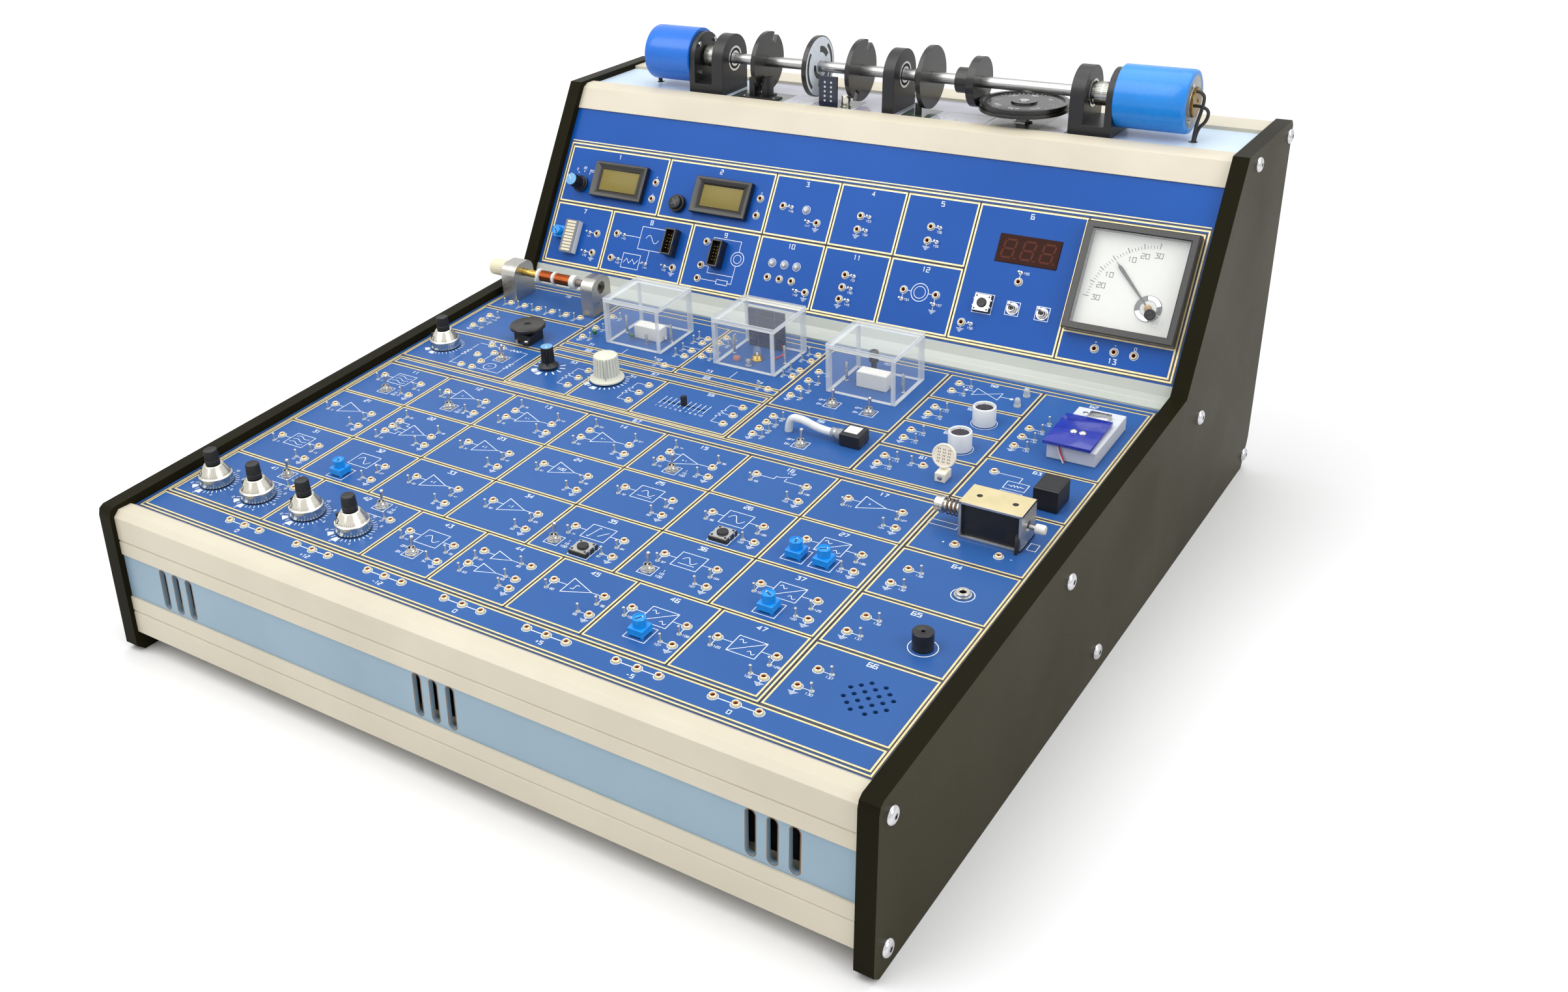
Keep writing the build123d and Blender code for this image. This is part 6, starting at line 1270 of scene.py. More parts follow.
# Moving-coil meter: deep black rim, white dial with a plain scale, movement cover and clear front
meterPlan = dict(centre=(211.8, 57.4), pivot=(225.9, 43.2), half=36.0, inner=31.9, middle=135.0, step=2.8,
                 scale=39.2, numbers=34.6)
meter = Form()
here = at(upper, *meterPlan["centre"])
half, inner = meterPlan["half"], meterPlan["inner"]
rim = ((half - 0.3, 0.02), (half, 0.4), (half, 8.3), (half - 0.6, 9.0), (inner, 9.0), (inner - 0.6, 8.5),
       (inner - 0.7, 2.0))
meter.tiers(here, [(reach, reach, height) for reach, height in rim], "blackSheen")
meter.tiers(here, ((inner, inner, -23.6), (inner, inner, 0.1)), "black")
meter.tiers(here, ((31.15, 31.15, 2.02), (31.15, 31.15, 2.25)), "paper")
pivot = at(upper, *meterPlan["pivot"])
for k in range(-15, 16):
    a = radians(meterPlan["middle"] - meterPlan["step"] * k)
    low, numbers = meterPlan["scale"], meterPlan["numbers"]
    high, width = (low + 2.2, 0.32) if k % 5 else (low + 3.6, 0.5)
    meter.ribbon(pivot, [(low * cos(a), low * sin(a)), (high * cos(a), high * sin(a))], width, "ink", 2.28)
    if k % 5 == 0 and k:
        label(meter, pivot, str(abs(2 * k)), numbers * cos(a), numbers * sin(a), 3.2, "ink", 0.42, 2.28)
meter.lathe(pivot, ((8.6, 2.3), (8.6, 2.75), (8.3, 2.95), (5.4, 2.95), (5.2, 2.7), (5.2, 2.3)), "blackGloss",
            40)
for start in (20.0, 200.0):
    meter.lathe(pivot, ((8.2, 2.97), (8.2, 3.05), (5.5, 3.05), (5.5, 2.97)), "chrome", 16, radians(start),
                radians(82.0))
meter.lathe(pivot, ((5.15, 2.3), (5.15, 2.7), (1.0, 2.8), (1.0, 2.3)), "white", 28)
adjuster = at(pivot, 3.4, -4.4, 0)
meter.lathe(adjuster, ((0.0, 5.0), (3.5, 5.0), (3.6, 5.2), (3.6, 8.6), (3.3, 8.9), (2.6, 8.95), (2.5, 8.6),
                       (0.0, 8.6)), "black", 28)
meter.box(at(adjuster, 0, 0, 8.6, 35), (4.6, 0.8, 0.25), "black", 0.05, 1)
for radius, width, steps in ((3.4, 0.7, 24), (1.5, 0.5, 18)):
    meter.ring(adjuster, 3.2, -2.6, radius, width, "milky", 5.0, steps)
meter.piece("meter_case", slot="black_plastic", replaces=("panel_instruments",))
glass = Form()
glass.tiers(here, ((31.25, 31.25, 8.0), (31.25, 31.25, 8.35)), "glass")
glass.piece("meter_glass", slot="clear", replaces=("panel_instruments",))
needle = Form()
aim = at(pivot, 0, 0, 0, meterPlan["middle"])
needle.prism(aim, ((-8.0, -0.9), (-2.4, -0.8), (2.4, -0.5), (30.5, -1.2), (33.5, -1.1), (35.0, -0.3),
                   (38.0, -0.1), (38.0, 0.1), (35.0, 0.3), (33.5, 1.1), (30.5, 1.2), (2.4, 0.5), (-2.4, 0.8),
                   (-8.0, 0.9)), 3.25, 3.65, "needleBlack")
needle.lathe(pivot, ((0.0, -0.6), (0.8, -0.6), (0.8, 3.2), (2.5, 3.2), (2.5, 3.75), (1.2, 3.95), (0.6, 4.4),
                     (0.0, 4.4)), "brassDark", 24)
needle.piece("meter_needle_form", "meter_needle", "black_metal", ("meter_needle",))
print("instruments")

# Under the covers: guide pins, heaters, bead thermistors, lamp, cells and a flow sensor
sensors = Form()
covers = {
    "temperature_cover": (-125.0, -77.2, 322.0, 365.6),
    "light_cover": (-36.3, 13.1, 326.2, 370.7),
    "airflow_cover": (53.7, 103.9, 322.5, 366.2),
}
for left, right, front, back in covers.values():
    for x in (left + 4.5, right - 4.5):
        sensors.lathe(at(lower, x, (front + back) / 2 - 1.0), ((0.0, 0.02), (1.5, 0.02), (1.5, 0.5), (1.0, 0.7),
                                                               (1.0, 12.6), (0.35, 14.0), (0.0, 14.0)),
                      "steelBright", 16)
for x, s, width, height in ((-99.0, 342.0, 22.0, 10.6), (79.0, 342.5, 21.5, 11.5)):
    sensors.tiers(at(lower, x, s), ((width / 2 - 0.4, 4.1, 0.05), (width / 2, 4.5, 0.5),
                                    (width / 2, 4.5, height - 0.5), (width / 2 - 0.5, 4.0, height)), "ceramic")
    for side in (-1, 1):
        end = x + side * width / 2
        sensors.tube(lower, ((end, s, 3.0), (end + side * 1.6, s, 3.2), (end + side * 2.6, s - 0.4, 1.4),
                             (end + side * 2.6, s - 0.4, -0.4)), 0.35, "steelBright")
for x, s in ((-109.9, 333.5), (-138.1, 326.5)):
    sensors.lathe(at(lower, x, s) @ Matrix.Scale(0.62, 4, (0, 1, 0)),
                  ((0.0, 1.5), (1.0, 1.7), (1.9, 2.5), (2.3, 3.7), (2.0, 4.9), (1.2, 5.5), (0.0, 5.6)), "green",
                  20)
    for side in (-0.8, 0.8):
        sensors.tube(lower, ((x + side, s, 2.0), (x + side * 1.2, s, 1.0), (x + side * 1.3, s, -0.4)), 0.22,
                     "steelBright", 6)
sensors.lathe(at(lower, -96.4, 332.8), ((0.0, 0.3), (1.3, 0.3), (1.3, 6.9), (1.1, 7.3), (0.0, 7.4)),
              "steelBright", 20)
sensors.lathe(at(lower, -96.4, 332.8), ((0.0, 0.02), (1.8, 0.02), (1.8, 0.3), (0.0, 0.3)), "zinc", 18)
chip = at(lower, -105.0, 356.0)
sensors.prism(chip, [(2.25, -1.2), (2.25, 0.6), (1.3, 1.5), (-1.3, 1.5), (-2.25, 0.6), (-2.25, -1.2)], 1.2, 5.1,
              "black", bevel=0.2)
for side in (-1.27, 0, 1.27):
    sensors.box(at(chip, side, 0, -0.4), (0.45, 0.4, 1.8), "steelBright", 0)
lamp = at(lower, -11.2, 344.0)
sensors.lathe(lamp, ((0.0, 0.02), (3.9, 0.02), (3.9, 1.1), (3.4, 1.4), (3.5, 1.8), (3.2, 2.2), (3.4, 2.6),
                     (3.1, 3.0), (3.3, 3.4), (2.8, 4.0), (0.0, 4.0)), "brassWarm", 28)
sensors.lathe(lamp, ((2.6, 4.0), (2.7, 4.8), (3.0, 6.6), (2.9, 8.3), (2.2, 9.8), (1.1, 10.4), (0.0, 10.5)),
              "glass", 24)
sensors.lathe(lamp, ((0.8, 4.0), (0.7, 5.6), (0.2, 6.0), (0.0, 6.0)), "white", 12)
sensors.tube(lower, ((-12.2, 344.0, 5.6), (-12.4, 344.0, 7.6), (-11.2, 344.0, 8.2), (-10.0, 344.0, 7.6),
                     (-10.2, 344.0, 5.6)), 0.12, "steelBright", 6)
cell = at(lower, -24.7, 338.8)
sensors.lathe(cell, ((0.0, 0.02), (2.6, 0.02), (2.6, 1.8), (2.4, 2.15), (0.0, 2.2)), "pink", 24)
sensors.ribbon(cell, [(-1.7, -1.2), (1.7, -1.2), (1.7, -0.4), (-1.7, -0.4), (-1.7, 0.4), (1.7, 0.4), (1.7, 1.2),
                      (-1.7, 1.2)], 0.3, "solderRed", 2.22)
can = at(lower, -12.0, 333.5)
sensors.lathe(can, ((0.0, 0.3), (2.4, 0.3), (2.4, 0.8), (2.05, 0.95), (2.05, 5.0), (1.9, 5.3), (1.2, 5.35),
                    (1.1, 5.55), (0.0, 5.6)), "steelBright", 24)
sensors.box(at(at(can, 0, 0, 0, 40), 2.6, 0, 0.3), (0.9, 0.8, 0.45), "steelBright", 0.05, 1)
solar = at(lower, -14.8, 364.4)
sensors.box(at(solar, 0, 0, 0.1), (29.0, 1.7, 28.8), "solar", 0.2, 2)
face = solar @ Matrix.Rotation(pi / 2, 4, "X")
for k in range(1, 6):
    sensors.ribbon(face, [(-14.0, 4.8 * k), (14.0, 4.8 * k)], 0.14, "solarLine", 0.88)
for x in (-7.0, 7.0):
    sensors.ribbon(face, [(x, 0.8), (x, 28.2)], 0.3, "solarLine", 0.9)
sensors.tube(lower, ((-2.0, 363.3, 4.5), (0.4, 361.5, 4.2), (2.4, 358.5, 2.6), (1.4, 354.5, 1.0),
                     (-0.6, 351.0, 0.5), (-1.2, 350.0, -0.5)), 0.55, "redWire", 8)
flow = at(lower, 73.0, 354.0)
sensors.lathe(flow, ((0.0, 0.02), (3.0, 0.02), (3.0, 1.0), (1.9, 1.5), (1.9, 11.8), (2.9, 12.4), (3.2, 12.9),
                     (3.2, 19.4), (2.8, 20.3), (1.6, 20.5), (1.5, 19.8), (0.0, 19.8)), "blackRubber", 28)
sensors.piece("cover_sensors", slot="ceramic_white", replaces=("box_sensors",), sharp=30.0)

# Clear covers: slabs of acrylic with milky edges, joined at the corners
coverWalls = dict(thick=3.0, tall=31.8, middle=16.0, top=33.5)
for node, (left, right, front, back) in covers.items():
    cover = Form()
    wide, deep = right - left, back - front
    middleX, middleS = (left + right) / 2, (front + back) / 2
    thick, tall, middle = coverWalls["thick"], coverWalls["tall"], coverWalls["middle"]
    cover.pane(at(lower, middleX, middleS, coverWalls["top"]), (wide, deep, thick))
    for side in (-1, 1):
        cover.pane(at(lower, middleX + side * (wide - thick) / 2, middleS, middle), (thick, deep, tall))
        cover.pane(at(lower, middleX, middleS + side * (deep - thick) / 2, middle),
                   (wide - 2 * thick - 0.1, thick, tall))
    cover.piece(node + "_form", node, "clear", (node,))
print("covers")

# Sensors in the open on the lower board
openSensors = Form()
pressure = at(lower, 102.8, 267.5)
openSensors.tiers(pressure, ((6.5, 6.5, 0.4), (6.8, 6.75, 0.7), (6.8, 6.75, 8.3), (6.5, 6.45, 8.6)), "black")
openSensors.box(at(pressure, -1.0, 1.4, 8.57), (9.0, 8.8, 0.07), "white", 0)
openSensors.lathe(at(lower, 96.3, 265.5, 5.4) @ Matrix.Rotation(-pi / 2, 4, "Y"),
                  ((2.7, 0.0), (3.6, 0.2), (3.6, 3.0), (3.3, 3.6), (3.4, 7.2), (3.1, 7.7), (2.65, 7.8),
                   (2.65, 0.0)), "greySoft", 28)
for turn in (0.0, 0.9):
    openSensors.lathe(at(lower, 92.0 - turn, 265.5, 5.4) @ Matrix.Rotation(-pi / 2, 4, "Y"),
                      ((3.4, 0.0), (3.58, 0.25), (3.4, 0.5)), "steelBright", 24)
for k in range(4):
    for side in (-1, 1):
        openSensors.box(at(pressure, side * 6.9, -3.8 + 2.54 * k, 0), (0.5, 0.6, 2.6), "steelBright", 0)
for x, s in ((162.3, 327.0), (162.3, 290.5)):
    here = at(lower, x, s)
    openSensors.lathe(here, ((0.0, 0.3), (7.0, 0.3), (7.25, 0.6), (7.25, 11.9), (6.9, 12.4), (6.3, 12.5),
                             (6.0, 12.1), (5.9, 10.9), (5.5, 10.7)), "lilac", 40)
    openSensors.lathe(here, ((5.6, 10.75), (2.6, 10.9), (0.0, 10.95)), "mesh", 32)
    for k in range(-4, 5):
        half = (5.4 ** 2 - (1.2 * k) ** 2) ** 0.5
        for turn in (45, -45):
            openSensors.box(at(at(lower, x, s, 10.95, turn), 1.2 * k, 0), (0.22, 2 * half, 0.18), "meshWire", 0)
    openSensors.ring(lower, x, s, 8.1, 0.4, "print", 0.07, 40)
openSensors.tiers(at(lower, 168.5, 252.5), ((3.0, 4.2, 0.02), (3.25, 4.5, 0.4), (3.25, 4.5, 5.6),
                                            (2.9, 4.1, 6.0)), "creamBright")
openSensors.box(at(lower, 168.3, 254.0, 5.0), (3.0, 1.3, 5.0), "creamBright", 0.2)
face = at(lower, 168.3, 253.4, 15.0) @ Matrix.Rotation(pi / 2 - 0.25, 4, "X")
openSensors.lathe(face, ((0.0, -1.35), (7.2, -1.35), (7.5, -1.1), (7.5, -0.3), (7.2, 0.0), (6.5, 0.05),
                         (6.3, -0.25), (0.0, -0.25)), "creamBright", 40)
for column in (-1, 0, 1):
    for row in range(-2, 3):
        for side in (-0.55, 0.55):
            openSensors.box(at(face, 3.2 * column + side, 1.9 * row, -0.26), (0.45, 0.95, 0.05), "bronze", 0)
openSensors.lathe(at(lower, 168.5, 248.2, 3.0) @ Matrix.Rotation(pi / 2, 4, "X"),
                  ((1.5, 0.0), (1.4, 0.5), (0.9, 0.8), (0.0, 0.85)), "zinc", 18)
strain = at(lower, 226.0, 330.5)
openSensors.tiers(strain, ((14.2, 26.1, 0.02), (14.7, 26.6, 0.5), (14.7, 26.6, 9.2), (14.2, 26.1, 9.7)),
                  "frosted")
for s, size, name in ((345.0, (13.0, 9.0, 3.0), "steelBright"), (337.0, (13.0, 3.0, 0.9), "frosted")):
    openSensors.box(at(lower, 228.0, s, 9.7), size, name, 0.25)
openSensors.box(at(lower, 223.8, 320.5, 10.65), (29.0, 39.0, 2.3), "blueClear", 0.3)
for x in (219.6, 228.0):
    openSensors.lathe(at(lower, x, 345.0, 12.6), ((1.8, 0.0), (1.7, 0.05), (0.0, 0.09)), "chrome", 16)
for x, s in ((222.0, 318.0), (227.5, 318.0)):
    openSensors.lathe(at(lower, x, s, 12.9), ((2.2, 0.0), (2.2, 0.7), (1.7, 1.4), (0.9, 1.75), (0.0, 1.78)),
                      "chrome", 20)
for name, points in (("pinkWire", ((219.0, 306.0, 10.3), (219.2, 303.0, 9.6), (220.2, 302.8, 6.0),
                                   (222.0, 302.6, 2.2), (222.8, 302.4, -0.5))),
                     ("whiteWire", ((218.2, 306.0, 10.3), (218.3, 303.0, 9.4), (219.4, 302.6, 5.4),
                                    (221.6, 302.0, 1.4), (222.6, 301.6, -0.5)))):
    openSensors.tube(lower, points, 0.45, name, 8)
relay = at(lower, 233.2, 254.3)
openSensors.tiers(relay, ((7.0, 9.0, 0.3), (7.25, 9.25, 0.6), (7.25, 9.25, 13.7), (6.7, 8.7, 14.3)), "black")
openSensors.ribbon(relay, [(-6.2, -8.2), (6.2, -8.2), (6.2, 8.2), (-6.2, 8.2)], 0.2, "slotDark", 14.33, True)
for x, s in ((171.5, 373.3), (171.5, 357.8)):
    openSensors.lathe(at(lower, x, s), ((0.0, 0.02), (2.4, 0.02), (2.4, 1.1), (2.0, 1.2), (2.0, 4.2),
                                        (1.7, 5.3), (1.0, 5.9), (0.0, 6.0)), "lampClear", 24)
jack = at(lower, 227.2, 147.7)
openSensors.lathe(jack, ((1.8, -12.0), (1.8, 2.2), (2.1, 2.6), (3.6, 2.6), (3.9, 2.3), (4.0, 0.9), (4.7, 0.8),
                         (4.7, 0.02), (3.9, 0.02), (3.9, -13.4), (0.0, -13.4)), "nickel", 32)
openSensors.lathe(jack, ((1.8, -11.9), (0.0, -11.9)), "slotDark", 16)
buzzer = at(lower, 228.7, 96.6)
openSensors.lathe(buzzer, ((1.0, 8.2), (1.0, 10.1), (1.3, 10.3), (5.1, 10.3), (5.5, 9.9), (5.5, 0.3),
                           (5.2, 0.02), (0.0, 0.02)), "black", 36)
openSensors.lathe(buzzer, ((1.02, 8.3), (0.0, 8.3)), "slotDark", 12)
openSensors.lathe(at(lower, 223.5, 47.9), ((0.0, -13.6), (9.0, -13.6), (20.0, -9.0), (20.0, -1.7), (19.0, -1.7),
                                           (18.2, -3.0), (7.0, -7.0), (6.0, -6.0), (0.0, -4.4)), "slotDark", 40)
openSensors.piece("open_sensors", slot="ceramic_white", replaces=("board_sensors",))
print("open sensors")

# Deck sensors: pale circuit board with its fork, reflective, inductive and hall sensors and the servo's bushing
deckForm = Form()
for left, right, front, back in ((-128.0, 1.75, 518.0, 575.0), (11.25, 137.0, 518.0, 575.0),
                                 (1.75, 11.25, 518.0, 521.0), (1.75, 11.25, 559.25, 575.0)):
    deckForm.box(at(deck, (left + right) / 2, (front + back) / 2, 0.02), (right - left, back - front, 0.98),
                 "boardLilac", 0)
for left, right, front, back in ((-126.5, -80.0, 519.5, 545.0), (-50.0, -22.0, 519.5, 545.0),
                                 (16.0, 40.0, 519.5, 545.0), (84.0, 119.0, 519.5, 566.0)):
    deckForm.box(at(deck, (left + right) / 2, (front + back) / 2, 1.0), (right - left, back - front, 0.04),
                 "boardGreen", 0)
for left, right in ((-126.5, -80.0), (-76.0, -54.0), (-50.0, -22.0), (16.0, 40.0), (44.0, 80.0)):
    deckForm.ribbon(deck, [(left, 519.6), (right, 519.6), (right, 545.0), (left, 545.0)], 0.5, "print", 1.06,
                    True)
for k, x in enumerate((-68.0, -65.0, -12.0, 48.0, 58.0, 128.0)):
    deckForm.ring(deck, x, 526.0 + 3.0 * (k % 2), 1.3, 0.5, "gold", 1.06, 14)
deckForm.tiers(at(deck, -102.0, 527.0), ((15.8, 4.8, 1.0), (16.0, 5.0, 1.2), (16.0, 5.0, 1.8),
                                         (15.8, 4.8, 2.0)), "black")
for side in (-1, 1):
    armX = -103.8 + side * 5.5
    deckForm.box(at(deck, armX, 531.0, 1.0), (5.0, 10.0, 15.0), "black", 0.4)
    deckForm.box(at(deck, armX, 536.0, 1.0), (5.0, 10.0, 1.0), "black", 0.2)
    deckForm.box(at(deck, armX - side * 2.46, 531.0, 11.0), (0.12, 0.9, 2.6), "slotDark", 0)
    deckForm.box(at(deck, -102.0 + side * 12.6, 524.6, 2.0), (1.8, 1.8, 0.5), "chrome", 0.1, 1)
deckForm.box(at(deck, -43.2, 525.0, 1.0), (15.0, 1.6, 22.0), "boardDark", 0.1, 1)
facing = at(deck, -43.2, 524.2, 0) @ Matrix.Rotation(pi / 2, 4, "X")
for column in (-2.6, 2.6):
    for row in range(5):
        deckForm.ring(facing, column, 5.0 + 3.4 * row, 0.55, 0.5, "print", 0.03, 10)
deckForm.box(at(deck, -43.2, 529.0, 1.0), (6.0, 6.4, 2.0), "black", 0.2)
deckForm.box(at(deck, -43.2, 527.8, 15.5), (6.0, 4.0, 5.0), "black", 0.3)
deckForm.lathe(at(deck, -31.0, 530.0), ((0.0, 1.0), (4.0, 1.0), (4.0, 1.6), (3.5, 1.8), (3.5, 8.3), (3.1, 8.9),
                                        (0.0, 9.0)), "chromeWarm", 32)
deckForm.lathe(at(deck, 27.0, 530.0), ((0.0, 1.0), (2.4, 1.0), (2.4, 8.7), (2.0, 9.0), (0.0, 9.0)), "black", 20)
servo = at(deck, 101.5, 540.0)
deckForm.lathe(servo, ((3.05, -8.0), (3.05, 6.8), (3.3, 7.0), (4.4, 7.0), (4.7, 6.7), (4.7, -2.0), (11.0, -2.0),
                       (11.0, -13.4), (10.6, -13.9), (0.0, -13.9)), "zinc", 32)
deckForm.prism(servo, [(7.0 * cos(pi * k / 3), 7.0 * sin(pi * k / 3)) for k in range(6)], 0.1, 2.0, "nickel",
               bevel=0.25)
deckForm.piece("deck_sensor_parts", slot="black_plastic", replaces=("deck_sensors",))

# Bearings in the brackets and the block: races with a dark shield, and the screws round the machines
bearings = Form()
for x, outward in ((-142.7, -1), (-132.7, 1), (2.0, -1), (11.0, 1), (139.7, -1), (149.7, 1)):
    here = across(shaftLine, x)
    for low, high, depth, name in ((8.0, 9.5, 0.35, "steelBright"), (4.3, 5.9, 0.35, "steelBright"),
                                   (5.9, 8.0, 0.1, "slotDark")):
        bearings.lathe(here, ((low, 0.0), (low, outward * depth), (high, outward * depth), (high, 0.0)), name,
                       36)
for x, outward in ((-158.05, 1), (164.05, -1)):
    for k in range(4):
        a = pi / 4 + pi / 2 * k
        here = at(across(shaftLine, x), 15.5 * cos(a), 15.5 * sin(a))
        bearings.lathe(here, ((1.9, 0.0), (1.9, outward * 1.2), (1.5, outward * 1.5), (0.9, outward * 1.5),
                              (0.8, outward * 0.7), (0.0, outward * 0.7)), "steelBright", 18)
bearings.piece("bearings", slot="alloy", replaces=("shaft_supports",))
dressed("shaft_supports", "blackMetal", 0.3, 2, "black_metal")

# Motor and tachogenerator: blue cans with a brass end ring and dark end bell
machines = Form()
for inner, outer, outward, hue in ((-163.0, -204.0, -1, "blueMotor"), (169.0, 215.7, 1, "blueMetal")):
    here = across(shaftLine, 0.0)
    turnings = (
        ("steelBright", 24, inner, ((2.55, 0), (2.55, 8.3), (0.0, 8.3))),
        (hue, 64, inner, ((2.55, 0), (20.6, 0), (21.0, 0.4), (21.0, abs(outer - inner) - 8.0))),
        (hue, 64, outer, ((21.0, -8.0), (21.0, -2.0), (20.4, -0.6), (19.0, 0), (17.4, 0))),
        ("zinc", 48, outer, ((17.4, 0), (17.2, -0.3), (10.2, -0.3), (10.0, 0))),
        ("brassDark", 36, outer, ((10.0, 0), (10.0, 1.6), (9.6, 2.0), (3.0, 2.0), (2.6, 1.5), (0.0, 1.5))),
    )
    for name, steps, end, profile in turnings:
        machines.lathe(here, [(radius, end + outward * depth) for radius, depth in profile], name, steps)
    for k in range(3):
        a = pi / 2 + 2 * pi / 3 * k
        screw = [(radius, outer + outward * depth) for radius, depth in ((1.7, -0.3), (1.7, 0.6), (1.2, 1.0),
                                                                         (0.0, 1.0))]
        machines.lathe(at(here, 14.0 * cos(a), 14.0 * sin(a)), screw, "steelBright", 16)
machines.piece("machines", slot="blue_metal", replaces=("shaft_machines",))
dressed("drive_shaft", "steel", 0.2, 1, "alloy")
collars = Form()
for low, high in ((-156.5, -146.5), (152.0, 162.0)):
    here = across(shaftLine, 0.0)
    gap = ((low + high) / 2 - 0.6, (low + high) / 2 + 0.6)
    for start, end in ((low, gap[0]), (gap[1], high)):
        collars.lathe(here, ((4.02, start), (7.8, start), (8.0, start + 0.2), (8.0, end - 0.2), (7.8, end),
                             (4.02, end)), "olive", 40)
    collars.lathe(here, ((4.02, gap[0]), (7.2, gap[0]), (7.2, gap[1]), (4.02, gap[1])), "brassDark", 36)
collars.piece("couplings", "shaft_line", "alloy", ("drive_shaft",))

# Discs: the CAD discs with softened edges, and the printed face of the coded disc
dressed("shaft_discs", "blackSheen", 0.12, 1, "black_plastic")
coded = Form()
here = across(shaftLine, -58.5)
coded.ring(here, 0, 0, 12.9, 17.4, "print", 0.04, 64)
for radius, width, start, sweep in ((18.3, 2.8, 230, 90), (18.3, 2.8, 50, 90), (12.6, 4.6, 350, 70),
                                    (12.6, 4.6, 120, 60), (7.6, 3.6, 255, 110)):
    coded.ring(here, 0, 0, radius, width, "black", 0.07, 24, radians(start), radians(sweep))
coded.piece("coded_face", "shaft_line", "black_plastic", ("shaft_discs",))
dressed("servo_disc", "blackSheen", 0.2, 1, "black_plastic")
servoMarks = Form()
recess = Matrix.Translation((0.1015, 0.236, 0.2698)) @ Matrix.Scale(mm, 4)
servoScale = dict(marks=48, rim=25.4, long=22.2, short=23.6, numbers=19.4, step=45)
marks, rim = servoScale["marks"], servoScale["rim"]
for k in range(marks):
    a = 2 * pi * k / marks
    inner = servoScale["short"] if k % 4 else servoScale["long"]
    servoMarks.ribbon(recess, [(inner * cos(a), inner * sin(a)), (rim * cos(a), rim * sin(a))], 0.35, "print",
                      0.04)
for angle in range(0, 360, servoScale["step"]):
    turned = at(at(recess, 0, 0, 0, angle), 0, 0, 0, -90)
    label(servoMarks, turned, str(angle), 0, servoScale["numbers"], 2.6, "print", 0.34, 0.04)
servoMarks.lathe(Matrix.Translation((0.1015, 0.236, 0.271)) @ Matrix.Scale(mm, 4),
                 ((3.4, 0.0), (3.3, 0.35), (2.9, 0.5), (0.0, 0.5)), "steelBright", 28)
servoMarks.piece("servo_marks", "servo_disc", "black_plastic", ("servo_disc",))
print("shaft line")

# Linear transformer: alloy blocks, split sleeve, white former with two windings, and the core with its knob
def blocksOnly(centre, co):
    local = [transformer.inverted() @ v for v in co]
    wide = max(p.x for p in local) - min(p.x for p in local)
    tall = max(hypot(p.y, p.z) for p in local)
    return "alloy" if tall > 7.0 and wide < 60 else None


dressed("lvdt_frame", blocksOnly, 0.35, 2, "alloy")
sleeve = Form()
here = across(transformer, 0.0)
sleeve.lathe(here, ((1.55, -245.2), (2.5, -245.2), (2.8, -244.9), (2.8, -217.0)), "brassWarm", 28)
sleeve.lathe(here, ((2.8, -181.0), (2.8, -162.3), (2.5, -162.0), (1.55, -162.0), (1.55, -245.2)), "greyBrown",
             28)
former = ((2.8, -217.0), (5.1, -217.0), (5.2, -216.8), (5.2, -215.2), (5.0, -215.0), (3.85, -214.8),
          (3.85, -202.4), (4.9, -202.2), (5.0, -202.0), (5.0, -200.8), (4.9, -200.6), (3.85, -200.4),
          (3.85, -185.6), (5.0, -185.4), (5.2, -185.2), (5.2, -181.2), (5.0, -181.0), (2.8, -181.0))
sleeve.lathe(here, former, "white", 36)
winding = dict(radius=4.1, pitch=0.46, wire=0.22)
for start, turns in ((-214.4, 24), (-200.0, 30)):
    helix = [(winding["radius"] * cos(pi / 5 * k), winding["radius"] * sin(pi / 5 * k),
              start + winding["pitch"] * k / 10) for k in range(turns * 10 + 1)]
    sleeve.tube(here, helix, winding["wire"], "copper", 6)
sleeve.piece("transformer_sleeve", slot="alloy", replaces=("lvdt_frame",))
core = Form()
core.lathe(here, ((0.0, -262.0), (5.4, -262.0), (6.1, -261.3), (6.3, -260.6, 1), (6.3, -247.6, 1),
                  (6.1, -246.9), (5.4, -246.1), (2.2, -246.0), (1.5, -245.6), (1.5, -176.4), (1.2, -176.0),
                  (0.0, -176.0)), "cream", 96, flute=0.3)
core.lathe(here, ((4.0, -262.0), (3.8, -262.05), (0.0, -262.05)), "brassDark", 28)
core.piece("transformer_core", "lvdt_core", "alloy", ("lvdt_core",))

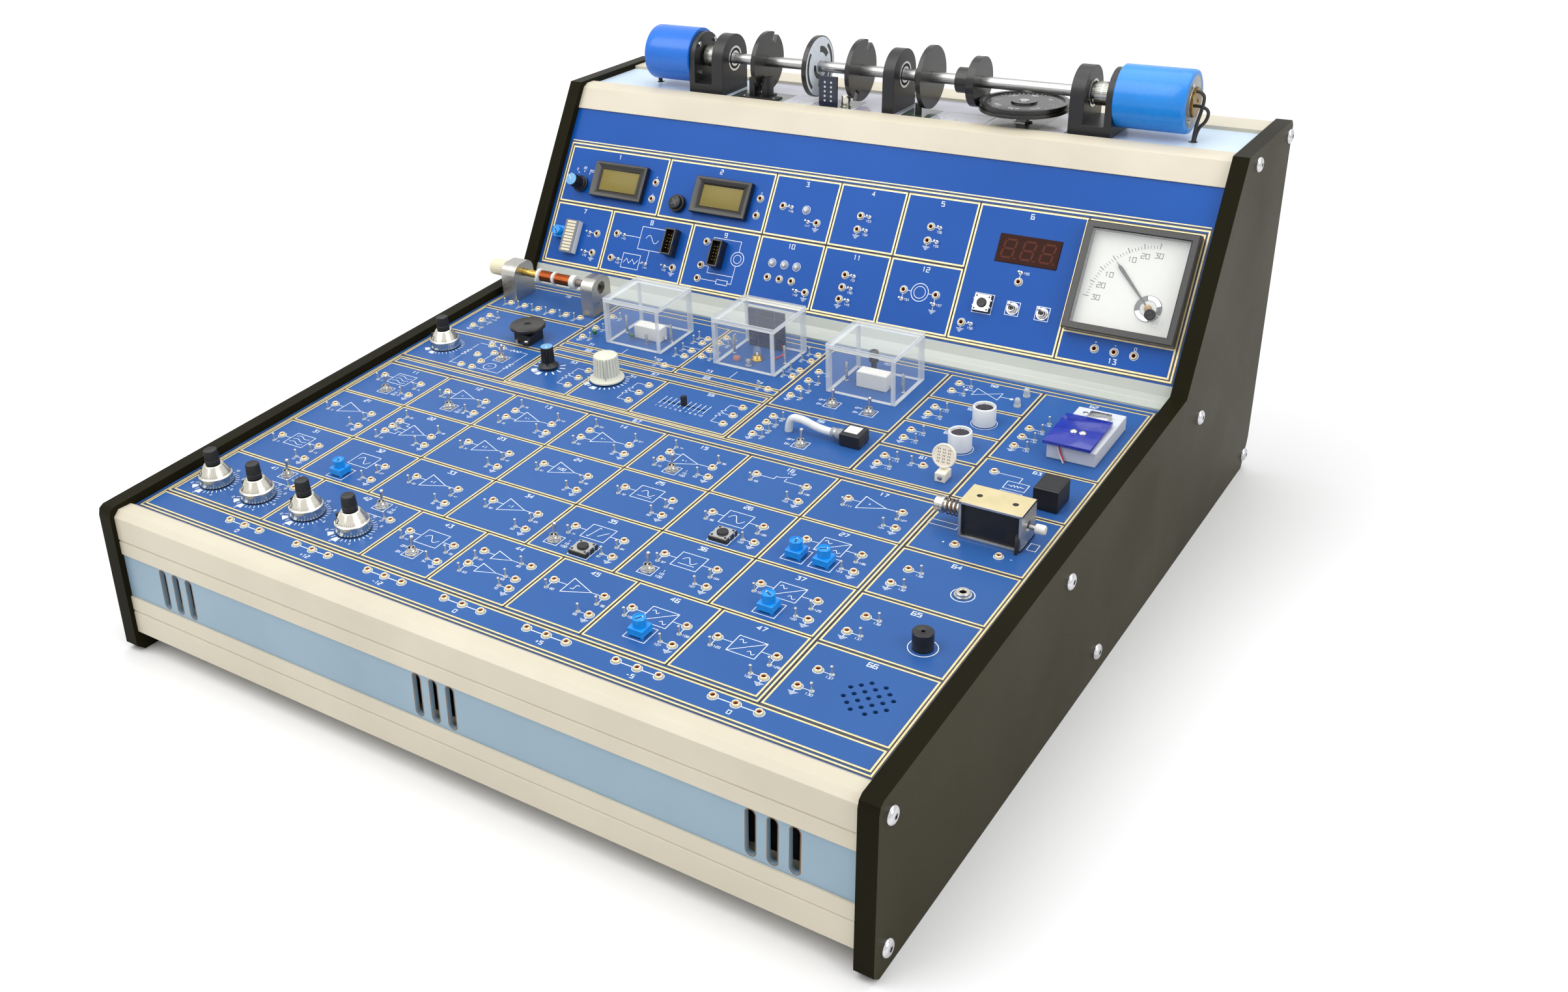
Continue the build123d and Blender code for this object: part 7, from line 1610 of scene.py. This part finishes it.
# Solenoid: open frame of thin plates round a taped coil, plunger with its stop, and the return spring
solenoidForm = Form()
for low in (-11.45, 9.95):
    solenoidForm.prism(solenoid, ((201.8, -10.5), (237.8, -10.5), (237.8, 10.5), (201.8, 10.5)), low, low + 1.5,
                       "zincBright", bevel=0.2)
for x in (202.55, 237.05):
    solenoidForm.plate(across(solenoid, x), (11.4, 10.5), 3.3, -0.75, 0.75, "zincBright")
solenoidForm.tiers(at(solenoid, 219.8, 0), ((17.8, 10.3, 11.3), (17.8, 10.3, 11.48)), "zincWarm")
for x in (209.5, 230.0):
    solenoidForm.lathe(at(solenoid, x, 0, 11.46), ((1.7, 0.02), (0.0, 0.04)), "slotDark", 20)
coil = across(solenoid, 0.0)
solenoidForm.tiers(coil, ((8.9, 8.7, 203.6), (8.9, 8.7, 204.8), (9.7, 8.9, 205.2), (9.7, 8.9, 234.4),
                          (8.9, 8.7, 234.8), (8.9, 8.7, 236.0)), "tape")
solenoidForm.lathe(coil, ((3.3, 203.4), (3.3, 236.2)), "brassDark", 28)
solenoidForm.tube(solenoid, ((235.0, -8.6, -1.5), (235.6, -11.0, -3.0), (236.0, -12.2, -6.5),
                             (236.0, -12.6, -12.4)), 0.95, "blackRubber", 8)
solenoidForm.piece("solenoid_frame", slot="nickel", replaces=("solenoid_body",))
plunger = Form()
plunger.lathe(coil, ((0.0, 184.0), (4.1, 184.0), (4.6, 184.5), (4.6, 187.4), (5.0, 187.8), (5.0, 189.2),
                     (4.7, 189.5), (3.2, 189.5), (3.2, 236.8), (1.3, 236.8), (1.3, 241.9), (0.0, 241.9)),
              "nickel", 36)
plunger.lathe(coil, ((0.0, 241.8), (2.5, 241.8), (2.75, 242.1), (2.75, 246.6), (2.3, 247.3), (0.0, 247.3)),
              "white", 28)
plunger.piece("plunger_form", "solenoid_plunger", "nickel", ("solenoid_plunger",))
spring = Form()
springPlan = dict(turns=4.6, radius=4.4, wire=0.4, start=190.1, end=201.2)
steps = int(springPlan["turns"] * 20)
coilPoints = []
for k in range(steps + 1):
    a = 2 * pi * springPlan["turns"] * k / steps
    height = springPlan["start"] + (springPlan["end"] - springPlan["start"]) * k / steps
    coilPoints.append((springPlan["radius"] * cos(a), springPlan["radius"] * sin(a), height))
spring.tube(coil, coilPoints, springPlan["wire"], "bronze", 10)
springPiece = spring.piece("return_spring", slot="nickel", replaces=("solenoid_spring",))
anchor = solenoid @ Vector((201.65, 0, 0))
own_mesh(springPiece)
print("transformer and solenoid")
